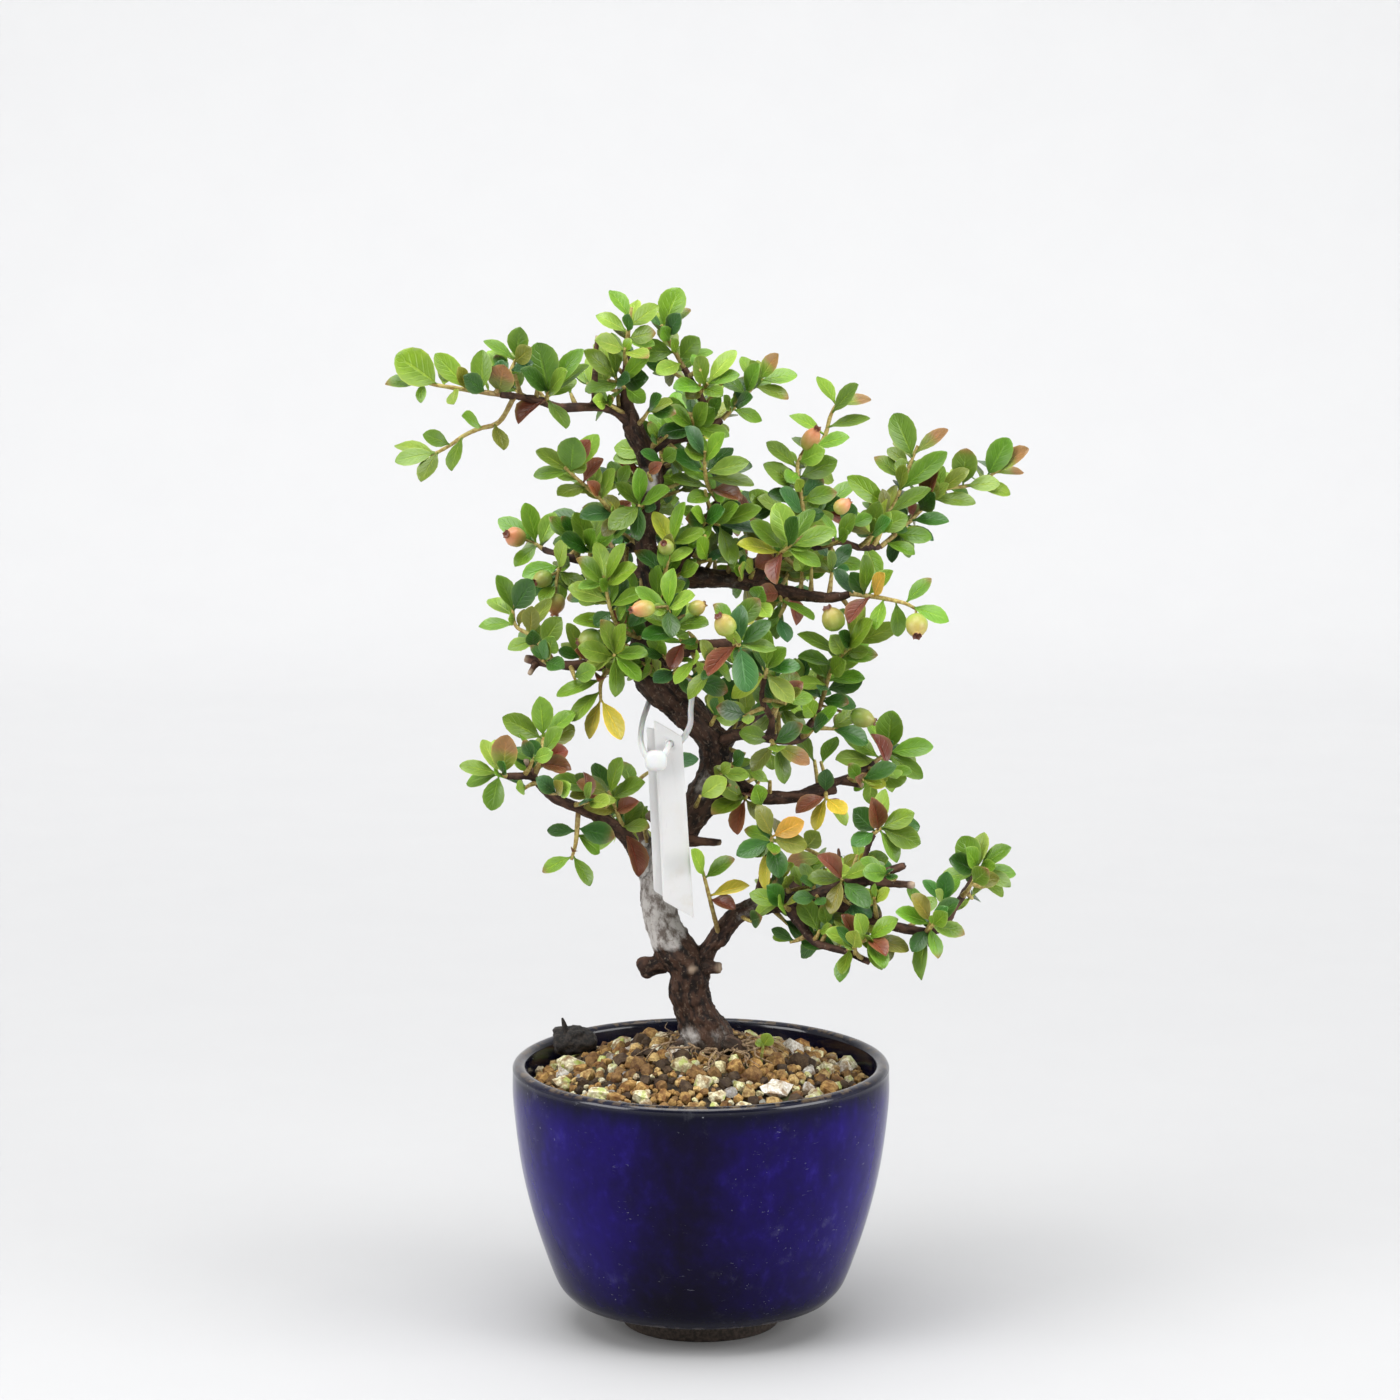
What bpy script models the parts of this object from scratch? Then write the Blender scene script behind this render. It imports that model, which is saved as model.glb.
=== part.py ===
"""A small cotoneaster bonsai in its round blue glazed pot.

Millimetres are used for every size and place, and MM turns them into metres where a mesh is made.
A place on the tree is given as it shows from in front: how far across and how high it is seen on
the upright plane through the pot's axis, and how far behind that plane it lies (less than nothing
is in front of it).
"""
import math
import random

import bmesh
import bpy
import numpy as np
from mathutils import Matrix, Vector
from mathutils.bvhtree import BVHTree

MM = 0.001
GAP = 0.3                     # left between two pieces that touch
FLAT_WITHIN = 0.4             # degrees between faces that are joined to one
EYE_BACK = 1039.0             # the eye that the places are seen from, in front of the axis
EYE_HEIGHT = 327.0
SEEN_FOOT = 1.6               # the height, as seen, of the surface that the pot stands on

# The pot
RIM_RADIUS = 45.0
RIM_HEIGHT = 64.0
WALL = 3.9
FLOOR_TOP = 9.0
DRAIN_RADIUS = 6.0
FOOT_OUTER = 19.6
FOOT_INNER = 14.8
FOOT_HEIGHT = 5.4
FOOT_SLOTS = 2
SLOT_WIDTH = 6.0
SLOT_HEIGHT = 1.8
POT_STEPS = 24
# Height and outer radius, from under the lip down to the foot
POT_SIDE = [(62.7, 45.0), (60.8, 45.0), (54.2, 44.9), (41.2, 43.4), (30.5, 41.2),
            (20.6, 38.3), (11.0, 34.7), (7.2, 31.6), (6.0, 27.0)]
INSIDE_HEIGHTS = (11.5, 24.0, 41.0, 62.6)
FLOOR_RADIUS = 26.0

# The soil
SOIL_EDGE = 58.6
SOIL_TOP = 67.4

# The tree
TRUNK_SIDES = 2               # bevel steps of the trunk, and of thinner wood below
BRANCH_SIDES = 1
TWIG_SIDES = 0
THICK_BRANCH = 2.1            # the radius at its root from which a branch has more sides
WOOD_STEP = 9.0               # between rings along the wood, at most
BLADE_THICKNESS = 0.66
ROOT_SUNK = 0.15              # of a leaf past its stem's axis
LAST_SHARE = 0.93             # of a stem, where the leaves at its end stand
STEM_RADIUS = 0.6
STEM_TIP_RADIUS = 0.45
WIDE_FROM = 6.0
LEAF_LEAST = 7.2              # lengths of a leaf that is drawn by the rule
LEAF_MOST = 10.5
LEAF_CLEAR = 0.35
LEAVES_PER_GAP = 3            # every so many of a shoot's leaves is left out, to keep it light

# The tag and its tie
TAG_THICKNESS = 0.7
TAG_HOLE = 1.15
TIE_RADIUS = 0.6
# Round runs that the tags and the tie hang in, kept free of leaves: top, foot, radius
TAG_ROOMS = [((-6.8, -10.6, 145.3), (-5.2, -10.6, 99.3), 4.4),
             ((-9, -8, 151.3), (-9, -8, 137.3), 5.2)]

# Each row is one piece of wood: across, height, depth, radius
TRUNK = [(0, 50, 0, 6.0), (1, 60, 0, 6.3), (2, 68, 0, 6.5), (1, 72, 0, 5.9), (-0.6, 76, 0, 5.2),
         (-2.5, 82, 0, 4.9), (-3, 87.5, 0, 5.2), (-6, 92.5, 0, 5.0), (-9, 98, 0, 4.4),
         (-10.4, 104, 0, 3.9), (-10.6, 111, 0, 3.7), (-8.5, 117.5, 0, 3.7), (-4, 123, 0, 3.8),
         (-0.2, 128.5, 0, 4.0), (3, 135, 0, 4.4), (3.2, 141.5, 0, 4.1), (-2, 149, 0, 4.1),
         (-8.5, 155, 0, 4.3), (-13, 160.5, 1, 4.0), (-12.6, 168, 2, 3.4), (-11, 176, 2, 3.1),
         (-11.5, 184, 2, 2.9), (-13, 191, 2, 2.7), (-12.3, 198, 2, 2.7), (-11.2, 204.5, 1, 2.6),
         (-13, 211, 0, 2.4), (-15.8, 217, 0, 2.2), (-17.1, 223, 0, 1.6), (-17.4, 229.5, 0, 1.1),
         (-17.2, 236, 0, 0.8)]
BRANCHES = [
    # upper left
    [(-16, 218, 0, 1.8), (-21, 221.5, -1, 1.3), (-27, 221.8, -2, 1.2), (-33, 221.7, -2, 1.1),
     (-37, 223.2, -3, 1.0), (-42, 224.2, -4, 0.9), (-47, 224.8, -5, 0.8)],
    # the long dark one across the middle
    [(-11, 179, 2, 2.6), (-5, 181.2, 2, 2.5), (1, 181.7, 3, 2.3), (9, 181, 4, 2.0),
     (18.5, 178.6, 5, 1.7), (30, 177, 6, 1.3), (35, 178, 6, 1.0)],
    [(-6, 181, 2, 1.9), (-2.6, 189.3, 2, 1.4), (0.9, 195, 3, 1.1), (4, 199.9, 3, 0.9)],
    # behind the crown, and up to the right of the apex
    [(-13.5, 211.5, 0, 1.9), (-8, 214, 3, 1.5), (-1, 215.5, 5, 1.3), (5, 219, 5, 1.0)],
    [(-1, 215.5, 5, 1.2), (1.4, 219.5, 5, 1.1), (-0.5, 225, 4, 0.9), (-4, 231, 3, 0.8)],
    # upper right
    [(11, 180.7, 4, 1.5), (17, 185.5, 4, 1.3), (21, 188.5, 4, 1.2), (28, 189.3, 4, 1.1),
     (32.5, 190.4, 5, 1.0), (37, 188.8, 6, 0.9), (42, 189, 7, 0.8)],
    # towards the front
    [(-11, 159, 0, 2.4), (-5, 163.5, -8, 1.8), (0, 165.5, -14, 1.6), (8, 166.2, -20, 1.2)],
    # the cut branch at the left
    [(-12, 159.5, 0, 2.0), (-19, 160.3, -2, 1.5), (-26, 161, -4, 1.3), (-33, 161, -5, 1.2),
     (-41.5, 162.5, -5, 1.1)],
    # left, in the middle
    [(-11.5, 183, 2, 1.8), (-18, 183.5, 4, 1.4), (-24, 185, 5, 1.2), (-31, 186.5, 5, 1.0),
     (-37, 188.5, 5, 0.8)],
    # right, below the middle
    [(2, 141, 0, 2.4), (8, 144.3, -3, 1.7), (16, 143.5, -5, 1.4), (23.2, 143.5, -3, 1.2),
     (26.7, 147.9, 0, 1.0), (27.8, 150.5, 0, 0.9)],
    [(16, 143.5, -5, 1.1), (16.8, 148, -7, 0.9), (14.3, 152.8, -12, 0.8), (15, 158, -14, 0.7)],
    [(2.5, 136, 0, 2.4), (8, 133, 0, 2.0), (13.8, 129.6, -1, 1.8), (20.8, 129.2, -1, 1.6),
     (26.7, 130.4, -1, 1.5), (32, 131.6, -2, 1.4)],
    [(24, 129.9, -1, 1.2), (28, 132, 0, 1.1), (32.5, 133.3, 1, 1.0), (37.2, 135.2, 2, 0.9),
     (40.7, 137.7, 2, 0.8)],
    # left, low
    [(-10.5, 109, 0, 2.8), (-14, 114.5, -1, 2.2), (-17.8, 120, -2, 1.9), (-22.5, 124, -3, 1.6),
     (-28.3, 126.5, -3, 1.4), (-34.2, 129, -3, 1.3), (-37.7, 132, -3, 1.1),
     (-40, 134.3, -3, 1.0), (-46, 134.5, -3, 0.8)],
    # the heavy low limb at the right, its upper and its lower fork
    [(-1.8, 87, 0, 2.9), (2, 92.6, -1, 2.3), (4.7, 96.4, -2, 2.3), (9.2, 101.4, -3, 2.4),
     (14, 103.2, -4, 2.6), (19, 104, -5, 2.6), (24, 104.6, -5, 2.3), (30.2, 106.5, -5, 2.0),
     (36, 108.5, -5, 1.8), (39.5, 109.6, -5, 1.5), (48.4, 113.1, -6, 0.9)],
    [(24, 104, -5, 2.0), (33.7, 103, -4, 1.7), (39.5, 100.4, -3, 1.5), (46.6, 98, -1, 1.3),
     (53.6, 96.8, 1, 1.2), (57.8, 98.5, 3, 1.1), (59.4, 101.7, 4, 1.0), (61.8, 105.3, 5, 0.9),
     (64.8, 110.5, 5, 0.8)],
    [(20.5, 103.5, -6, 1.8), (24.3, 98, -8, 1.4), (27, 94.4, -8, 1.1), (34.9, 91.9, -8, 0.9),
     (40.2, 89.5, -8, 0.9)],
    # to the back, hidden from in front
    [(-11, 206, 1, 1.8), (-8, 209, 10, 1.4), (-6, 212, 18, 1.0)],
    [(-12, 187, 2, 2.0), (-15, 189, 11, 1.6), (-20, 188, 19, 1.1)],
    [(9, 181, 4, 1.6), (14, 186, 11, 1.3), (19, 189, 17, 1.0)],
    [(3, 138.5, 0, 2.2), (9, 146, 10, 1.7), (16, 151, 18, 1.1)],
    [(-10.6, 112, 0, 2.2), (-13, 119, 9, 1.6), (-16, 126, 18, 1.1)],
    [(16, 104.6, -5, 2.2), (22, 108, 6, 1.6), (28, 109, 15, 1.1)],
]
TWIGS = [
    # dead and cut twigs
    [(-24.8, 221.6, -1.5, 0.9), (-24.6, 230, -1.5, 0.8), (-24.1, 238.7, -2, 0.6)],
    [(39.5, 109.4, -5, 1.3), (45, 108.6, -6, 1.1), (50.5, 108.2, -7, 1.0)],
    [(33, 133.3, 1, 0.9), (38.5, 132.2, 0, 0.8)],
    [(-1, 127, 0, 1.2), (6.2, 126.3, -3, 0.8)],
    [(-8, 119, 0, 1.3), (-1, 118.7, -4, 1.1), (5, 118.5, -4, 0.9)],
    [(-5, 90, 0, 2.8), (-14.2, 87.8, -1, 1.9)],
    [(-3, 88.5, 0, 2.4), (4.6, 88.2, -4, 1.4)],
    [(-7, 121, 0, 1.8), (-12.5, 125.5, -2, 1.2)],
    [(-38.9, 133.5, -3, 0.9), (-41.4, 138.4, -4, 0.8)],
    [(-33, 128.6, -3, 0.9), (-32, 133.2, -5, 0.8)],
    [(-38.5, 162, -5, 0.9), (-40.4, 158.8, -6, 0.8)],
    [(-3, 160.5, -4, 1.0), (-1, 161.4, -13, 0.8)],
    [(13, 103.5, -4.5, 1.2), (14.6, 111, -8, 0.9), (16.6, 118.4, -9, 0.7)],
    [(32, 107, -5, 0.9), (32.7, 113.5, -7, 0.7), (32.5, 117.3, -8, 0.6)],
    [(38, 109, -5, 1.0), (38.8, 115, -7, 0.8), (40.7, 120.6, -9, 0.7)],
    # roots that run into the soil
    [(3, 71, -2, 2.6), (8, 68.8, -4, 1.8), (12.5, 65.0, -6, 1.1)],
    [(-1, 71, 0, 2.7), (-5.5, 68.8, -2, 1.9), (-9.5, 65.2, -3.5, 1.2)],
    [(2.5, 71, 2, 2.6), (5, 69.4, 7, 1.8), (8, 66.0, 11, 1.1)],
]

# How far a limb's end sweeps back (or forwards, less than nothing) at each height
SWEEP_FROM = 12.0
SWEEP_TO = 62.0
LEFT_SWEEP = [(110, -22), (140, -24), (165, 8), (190, 26), (205, 4), (225, -26), (245, -20)]
RIGHT_SWEEP = [(85, -26), (105, -22), (125, -2), (142, 24), (160, 4), (176, -24), (190, 18),
               (210, 28), (240, 10)]

# Half widths of a leaf at shares of its length, as shares of its width
WIDE_BLADE = [(0.22, 0.36), (0.55, 0.5), (0.86, 0.3)]
NARROW_BLADE = [(0.34, 0.46), (0.78, 0.4)]

# Tones: g green, l light green, d dark green, b bluish, v olive, y yellow, o orange, r dead
# A shoot is its stem (across, height, depth) and its leaves: share along the stem, the tip's
# across and height, how far the tip lies behind the base, the width that shows, and the tone.
# A fruit is the share, its middle's across and height, depth from the base, width, length, tone.
SHOOTS = {
    "upper_left_tip": [
        ([(-47, 224.8, -5), (-54, 225.8, -5), (-61, 226.9, -5), (-66, 228, -5)],
         [(0.75, -70.9, 234, -2, 8.4, "g"), (1, -73.5, 227.2, -2, 2.4, "g"),
          (0.4, -61.8, 234.3, 2, 5, "g"), (0.22, -50.8, 235.2, 1, 5, "g"),
          (0.18, -55.2, 229.1, -7, 4.6, "d"), (0, -45.9, 231.5, -5, 6.4, "o"),
          (0.95, -65.5, 222.4, -6, 2.4, "g"), (0.55, -57.6, 222.5, -6, 2.4, "l"),
          (0.7, -58, 231, 7, 4.6, "l")], []),
        ([(-48, 225, -5), (-45, 229, -5), (-42.8, 233.5, -4)],
         [(1, -50.5, 237.3, 0, 2.1, "g"), (0.95, -41.9, 240.5, -2, 5, "g"),
          (0.6, -37.2, 232, 5, 4, "g")], [])],
    "upper_left_fan": [
        ([(-36, 222.8, -3), (-35.6, 225.6, -6)],
         [(1, -38, 236.9, -4, 7.6, "g"), (0.9, -27.4, 235.2, -3, 4.2, "g"),
          (0.5, -26, 231.6, -1, 2.3, "g"), (0.9, -41.8, 230.8, -8, 3.6, "d"),
          (0.4, -44.6, 221.5, -5, 2.1, "g"), (0.3, -42.5, 218.2, -4, 4.8, "r"),
          (0.6, -31, 230.5, -7, 3.3, "l"), (0.3, -31.4, 216.8, -6, 2.6, "g")], [])],
    "left_hanging": [
        ([(-43.5, 224.2, -4.5), (-47, 218.4, -8), (-51.7, 216.8, -10), (-55.2, 215.2, -11),
          (-58.7, 212.8, -12), (-63, 210.4, -12)],
         [(0.42, -55.7, 219.8, -6, 2.2, "g"), (0.75, -64.8, 215.5, -3, 3.8, "g"),
          (0.6, -58.2, 206.9, -4, 2.6, "g"), (1, -71.4, 209, -2, 3.8, "l"),
          (0.95, -71.6, 212.6, 3, 2, "g"), (0.9, -65.4, 204.4, -5, 3.8, "g"),
          (0.3, -46, 211.8, -5, 3, "v")], [])],
    "left_upper": [
        ([(-13, 195.5, 1), (-20.1, 197, -3), (-23.6, 200.4, -6), (-27.1, 203.4, -8),
          (-31.8, 207.7, -10)],
         [(0.92, -29.5, 214.8, -4, 7, "g"), (1, -38.6, 211.4, -3, 3, "g"),
          (0.95, -39.1, 205.7, -1, 2.8, "g"), (0.6, -26.4, 210.5, 4, 4.2, "g"),
          (0.5, -20.1, 207.4, -4, 2.8, "l"), (0.75, -22.8, 209.8, 1, 3.2, "r"),
          (0.3, -28.3, 196, -6, 3.8, "b"), (0.7, -33.6, 201.2, -6, 3, "g")], [])],
    "apex_left": [
        ([(-17.2, 226, 0), (-20, 228.8, -3)],
         [(1, -27.2, 235.2, -3, 4.2, "g"), (0.9, -20.8, 239.2, -1, 2.8, "g"),
          (0.8, -24.6, 236.8, 5, 3.3, "l"), (0.6, -12, 234, -6, 3.6, "g"),
          (0.4, -12.2, 228.6, -8, 5.2, "d"), (0.5, -26.8, 225.6, -5, 3, "g")], [])],
    "apex_top": [
        ([(-17.2, 236, 0), (-16.8, 240, -1), (-16.1, 245.1, -1)],
         [(0.2, -10.5, 239.2, -4, 4.4, "g"), (0.5, -9.8, 245.4, -1, 4.2, "g"),
          (0.35, -24.4, 243.2, 1, 3.2, "l"), (0.7, -21.2, 249, 3, 3, "g")], [])],
    "crown_tip": [
        ([(-4, 231, 3), (-7, 236.5, 2), (-9.2, 241, 1)],
         [(0.95, -4.9, 249.6, 1, 6.4, "g"), (1, -2.4, 244.6, 3, 2.4, "g"),
          (0.35, -14.6, 235, 1, 5.6, "g"), (0.2, -0.4, 238, -2, 5.2, "g"),
          (0.6, -11.5, 244.5, 6, 3, "l"), (0.15, 2.8, 234.6, -1, 2, "g"),
          (0.1, -10.5, 229.8, -6, 4, "l")], [])],
    "crown_right": [
        ([(-0.4, 225, 4), (1.6, 227.4, 1)],
         [(1, 8.2, 235, 3, 3.6, "l"), (0.9, 9, 229.3, -2, 2.8, "g"),
          (0.5, 5, 224.4, -7, 3.4, "g"), (0.6, -6.4, 226.2, -6, 3.4, "g"),
          (0.7, -1.2, 233.6, -7, 4, "g")], [])],
    "crown_low": [
        ([(-0.6, 216.2, 5), (-1.6, 217, 1)],
         [(1, -8, 221.6, -5, 3.8, "g"), (0.8, -9.4, 215.4, -5, 4.2, "d"),
          (0.9, 6.6, 215, -4, 3.4, "g"), (0.6, 0.8, 208.8, -6, 3.4, "g"),
          (0.9, 1.4, 222.8, -7, 3.8, "g")], [])],
    "crown_twig": [
        ([(5, 219, 5), (8, 222.2, 5), (10.3, 224.6, 5), (14.3, 228.6, 5)],
         [(0.6, 13.6, 232, -5, 3.3, "g"), (0.6, 4.4, 229, 2, 3.3, "g"),
          (0.8, 9.4, 233.6, 3, 3, "l"), (1, 18, 234.3, -2, 3.3, "o"),
          (1, 22.4, 229.3, 1, 3.3, "g"), (0.8, 20.4, 223.8, -2, 2.8, "g"),
          (0.25, 14.2, 218.6, 0, 3, "g"), (0.3, 12, 224.2, -7, 3, "d")], [])],
    "middle_top": [
        ([(4, 199.9, 3), (1.8, 203, 1), (0.9, 207, -2), (0.9, 211.5, -4)],
         [(0.3, -7.2, 205.3, -1, 2, "g"), (0.6, 11.2, 208.9, -2, 4.2, "l"),
          (0.5, 12.4, 203.6, -1, 2.6, "g"), (0.6, -6.8, 211.4, -3, 3.6, "d"),
          (0.15, -3.2, 199.8, -5, 3.5, "g"), (0.25, 9.6, 200.2, -5, 3.6, "r"),
          (0.8, 5.6, 215.6, -6, 3, "g"), (0.9, -3.8, 217.2, -3, 3, "b")], [])],
    "middle_hanging": [
        ([(0.9, 195.1, 3), (4.4, 194.2, 0)],
         [(1, 7.6, 184.6, -3, 4.2, "g"), (0.9, 14.2, 198.2, -2, 3.5, "g"),
          (0.8, 14, 192.6, -1, 2.2, "b"), (0.7, 8.8, 198.6, -6, 3, "g"),
          (0.6, -2.4, 188.4, -6, 3, "g")], [])],
    "right_upper": [
        ([(24.5, 189, 4), (23.9, 197.5, 5), (22.5, 207, 7), (23.2, 210.5, 8)],
         [(0.6, 14.6, 208.6, -1, 4.2, "g"), (0.85, 15.2, 213.6, 1, 3, "g"),
          (0.75, 31.8, 209.4, -2, 5.4, "g"), (0.95, 31, 204.6, 6, 4, "l"),
          (0.5, 31.8, 201.8, -2, 4.4, "g"), (0.5, 15.6, 201.6, -2, 3.2, "d"),
          (0.35, 18.4, 202.6, -6, 3, "b")],
         [(1, 25.6, 214.4, -3, 4.2, 6.6, "o")]),
        ([(23.2, 210.2, 8), (28.3, 214, 9), (30.2, 219.9, 10), (32.1, 223.4, 10)],
         [(0.5, 20.6, 219.9, 1, 2.1, "g"), (0.6, 39.4, 219.2, 0, 2.1, "g"),
          (1, 39.6, 223.6, 2, 2.2, "o"), (0.95, 27, 229, 3, 2.6, "g"),
          (0.8, 36.6, 227.2, -4, 3, "g"), (0.25, 34.6, 214.8, -3, 3, "g")], [])],
    "right_top": [
        ([(37.5, 188.9, 6), (42, 194.2, 7), (45.4, 199.9, 7), (47.3, 204.6, 7), (50.5, 212.8, 7)],
         [(0.45, 34.1, 205.6, -2, 5, "g"), (0.9, 44.9, 220.4, -1, 6.6, "g"),
          (1, 57.6, 216.6, 0, 2.4, "o"), (0.62, 57.4, 211.4, -1, 5, "g"),
          (0.72, 40.4, 210.2, 2, 3.3, "g"), (0.3, 37.4, 197.2, -2, 2.8, "g"),
          (0.4, 53.6, 203.2, 2, 2.8, "g"), (0.15, 36, 193.6, -1, 3.3, "d"),
          (0.25, 40, 202.6, 6, 3.4, "l"), (0.05, 41.4, 181.8, -2, 4.4, "g")], [])],
    "right_outer": [
        ([(42, 189, 7.5), (47.7, 194, 8), (51.2, 197.5, 8), (55.9, 202.2, 8), (64.1, 203.9, 8),
          (70.7, 207.9, 8)],
         [(0.72, 62, 212.2, -1, 6.2, "o"), (0.45, 55.6, 207.6, -5, 3.4, "r"),
          (0.5, 64.2, 199.4, -2, 3, "g"), (0.88, 71.8, 214.6, -1, 6, "g"),
          (1, 76.4, 212.2, -3, 3, "y"), (1, 77.5, 206.5, 2, 2.1, "o"),
          (0.8, 72.3, 201.4, -1, 2.8, "g"), (0.3, 58, 195, -1, 2.8, "d"),
          (0.15, 54, 191.2, -1, 4, "g"), (0.05, 50.1, 187.3, -2, 2.4, "g"),
          (0.4, 48.8, 203.4, -5, 3, "g"), (0.62, 63.2, 208.6, 6, 3.2, "l")], [])],
    "middle_fan": [
        ([(17.4, 185.7, 4), (18.5, 187.4, 0), (21, 189.4, -4)],
         [(1, 17.6, 199.4, -2, 6.2, "l"), (0.7, 11.6, 195, -3, 4, "g"),
          (1, 26.4, 197.4, 1, 3.5, "g"), (1, 31.6, 192.6, -2, 4.2, "g"),
          (0.8, 28, 184.4, -3, 2.8, "g"), (0.5, 8.4, 189.6, -5, 2.8, "y"),
          (0.6, 17.6, 180.2, -7, 3, "r"), (0.9, 22.6, 196, -8, 3, "d")],
         [(1, 33, 198.6, 1, 3.6, 4.2, "o")])],
    "middle_tip": [
        ([(35, 178, 6), (42, 177, 7), (47.5, 175.8, 7), (50.4, 174.4, 7)],
         [(0.85, 54, 181.6, 1, 3, "g"), (0.7, 46.2, 167.8, 1, 3.8, "g"),
          (1, 58.2, 171.4, -1, 3.2, "g"), (0.25, 45, 183.4, -2, 2.6, "g"),
          (0.05, 31, 183.6, -3, 3, "b"), (0.2, 38.2, 187.2, -6, 3, "g"),
          (0.3, 34.6, 170.8, -3, 3, "r"), (0.5, 41, 169.4, -4, 3, "g")],
         [(1, 50.6, 170.4, -4, 5.2, 5.8, "y")])],
    "middle_low": [
        ([(18.5, 178.4, 5), (18.8, 176, 3)],
         [(1, 17.6, 167.2, 1, 3.2, "g"), (0.9, 11, 171.6, -2, 3.6, "v"),
          (0.8, 26.4, 172.4, -2, 3, "g")], [])],
    "left_tip": [
        ([(-37, 188.5, 5), (-39, 190, 4)],
         [(0.8, -41.2, 199.4, 1, 4.2, "g"), (1, -47.4, 195.6, 3, 4.2, "g"),
          (0.4, -34, 197.4, 3, 4.6, "l"), (0.6, -43.6, 184.4, -4, 3.4, "g")],
         [(1, -43.5, 191.4, -4, 4.8, 5.2, "o")])],
    "left_middle": [
        ([(-26, 185.4, 5), (-26, 188.6, 2)],
         [(1, -29.6, 197.2, 1, 4.2, "g"), (0.9, -22.6, 197, 2, 2.8, "g"),
          (0.7, -19.4, 192.6, -4, 3, "g"), (0.8, -32.6, 191.8, -5, 3.4, "d"),
          (0.6, -24.8, 193, -8, 3, "g")], [])],
    "left_low": [
        ([(-32, 186.4, 5), (-33.5, 183, 2), (-34, 179.5, 0)],
         [(0.3, -41.9, 182, -2, 4.2, "g"), (0.7, -42.2, 176.8, -1, 3, "d"),
          (0.5, -27.2, 179, -4, 3.4, "g"), (0.4, -31.4, 190.6, -7, 3, "y")],
         [(0.5, -37.2, 181.4, -4, 4.2, 5, "g"), (1, -34.2, 175.6, 0, 4.8, 5, "o")])],
    "left_front": [
        ([(-34, 161, -5), (-36.5, 164.5, -7), (-40, 168.1, -8), (-43.5, 170.4, -9),
          (-44.2, 175.1, -9)],
         [(0.95, -39.4, 181.2, -4, 6, "d"), (1, -47.8, 182.4, 1, 3.3, "g"),
          (0.75, -52.2, 170.2, 0, 2.4, "g"), (0.3, -32.8, 172.4, -3, 5.4, "g"),
          (0.55, -35, 176.8, 2, 3, "l"), (0.4, -45.4, 164.8, -2, 3, "g"),
          (0.85, -50, 176.6, 5, 3, "l")], [])],
    "trunk_left": [
        ([(-13, 167, 1), (-18, 169, -6), (-20.8, 172.8, -10), (-22.9, 182.2, -12)],
         [(0.45, -30, 171.6, -2, 2.8, "g"), (0.75, -31.2, 179.4, -1, 4.2, "l"),
          (1, -24.6, 190, 2, 3, "y"), (1, -17.8, 189.8, -3, 2.2, "g"),
          (0.9, -15, 184.4, -5, 3.6, "g"), (0.7, -13, 178.2, -5, 2.8, "g"),
          (0.9, -29.2, 186.2, -4, 3.2, "g")],
         [(0.35, -26, 167, -2, 5.4, 5.6, "g")])],
    "trunk_front": [
        ([(-11, 174, 2), (-10, 176, -5)],
         [(1, -9.8, 184.6, -4, 2.6, "g"), (0.9, -3.6, 180.6, -3, 3.3, "g"),
          (0.8, -16.6, 170.4, -3, 3, "d")], []),
        ([(-10, 176, -5), (-8.2, 184, -7), (-6.6, 190.6, -6)],
         [(1, -3.8, 199.6, -1, 2.2, "g"), (0.95, 1, 192.8, -2, 2.8, "g")],
         [(0.8, -8.2, 189, -3, 3.8, 4.2, "g")])],
    "trunk_upper": [
        ([(-12.5, 198.5, 2), (-14.5, 198.8, -4)],
         [(1, -7.2, 202.4, -5, 2.8, "g"), (0.8, -20, 204, -1, 2.8, "g"),
          (1, -14.8, 207.6, -3, 3, "g"), (0.9, -14.6, 190.4, -4, 3.4, "d"),
          (0.8, -21.4, 193.6, -2, 3.6, "g")], [])],
    "front_up": [
        ([(-3, 164.6, -11), (-6, 169.6, -17), (-8, 175, -21)],
         [(0.95, -6.8, 167.6, -6, 4.2, "d"), (0.8, -15.4, 179.4, -1, 3, "g"),
          (1, -1.4, 177.6, -5, 2.8, "l"), (1, -6.4, 184, -1, 3, "g"),
          (0.6, 1.8, 170.8, -5, 2.4, "g"), (0.4, -14, 167.6, -5, 3, "d")],
         [(1, -13.6, 174.4, -3, 4, 5.8, "o"), (0.7, -0.9, 174.6, 0, 3.6, 4, "y")])],
    "front_tip": [
        ([(7, 166.1, -19.5), (9.4, 165.6, -22)],
         [(0.8, 9.4, 175.4, 1, 4.2, "b"), (1, 17.8, 164.8, 0, 2.4, "g"),
          (1, 10.8, 154.6, -2, 6.2, "b"), (0.9, 16.4, 171.4, 1, 3.8, "d"),
          (0.6, 1.6, 158.4, -4, 3.6, "r")],
         [(0.9, 5.6, 170.6, -3, 5, 5.4, "y")])],
    "front_left": [
        ([(-20.5, 160.4, -2.5), (-20, 162.8, -9), (-20.4, 163.4, -14)],
         [(0.6, -28.8, 165.8, -3, 3.5, "l"), (1, -23.6, 171.8, -2, 2.8, "l"),
          (0.9, -17.6, 170.6, -5, 2.8, "g"), (1, -12.4, 163.6, -4, 2.8, "g"),
          (0.8, -28.6, 158, -2, 2.2, "l"), (1, -20.2, 153.4, -3, 3, "g"),
          (1, -14.4, 157.2, -5, 3, "g")], []),
        ([(-20.1, 162.2, -7), (-23.4, 157.4, -8), (-23.6, 152.2, -9)],
         [(0.5, -34, 153.7, -3, 2.4, "g"), (0.75, -30.6, 147.6, -2, 3, "g"),
          (1, -18.8, 143.2, -1, 4, "y"), (1, -26.4, 143.4, -1, 2.6, "y")], [])],
    "right_middle": [
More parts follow.
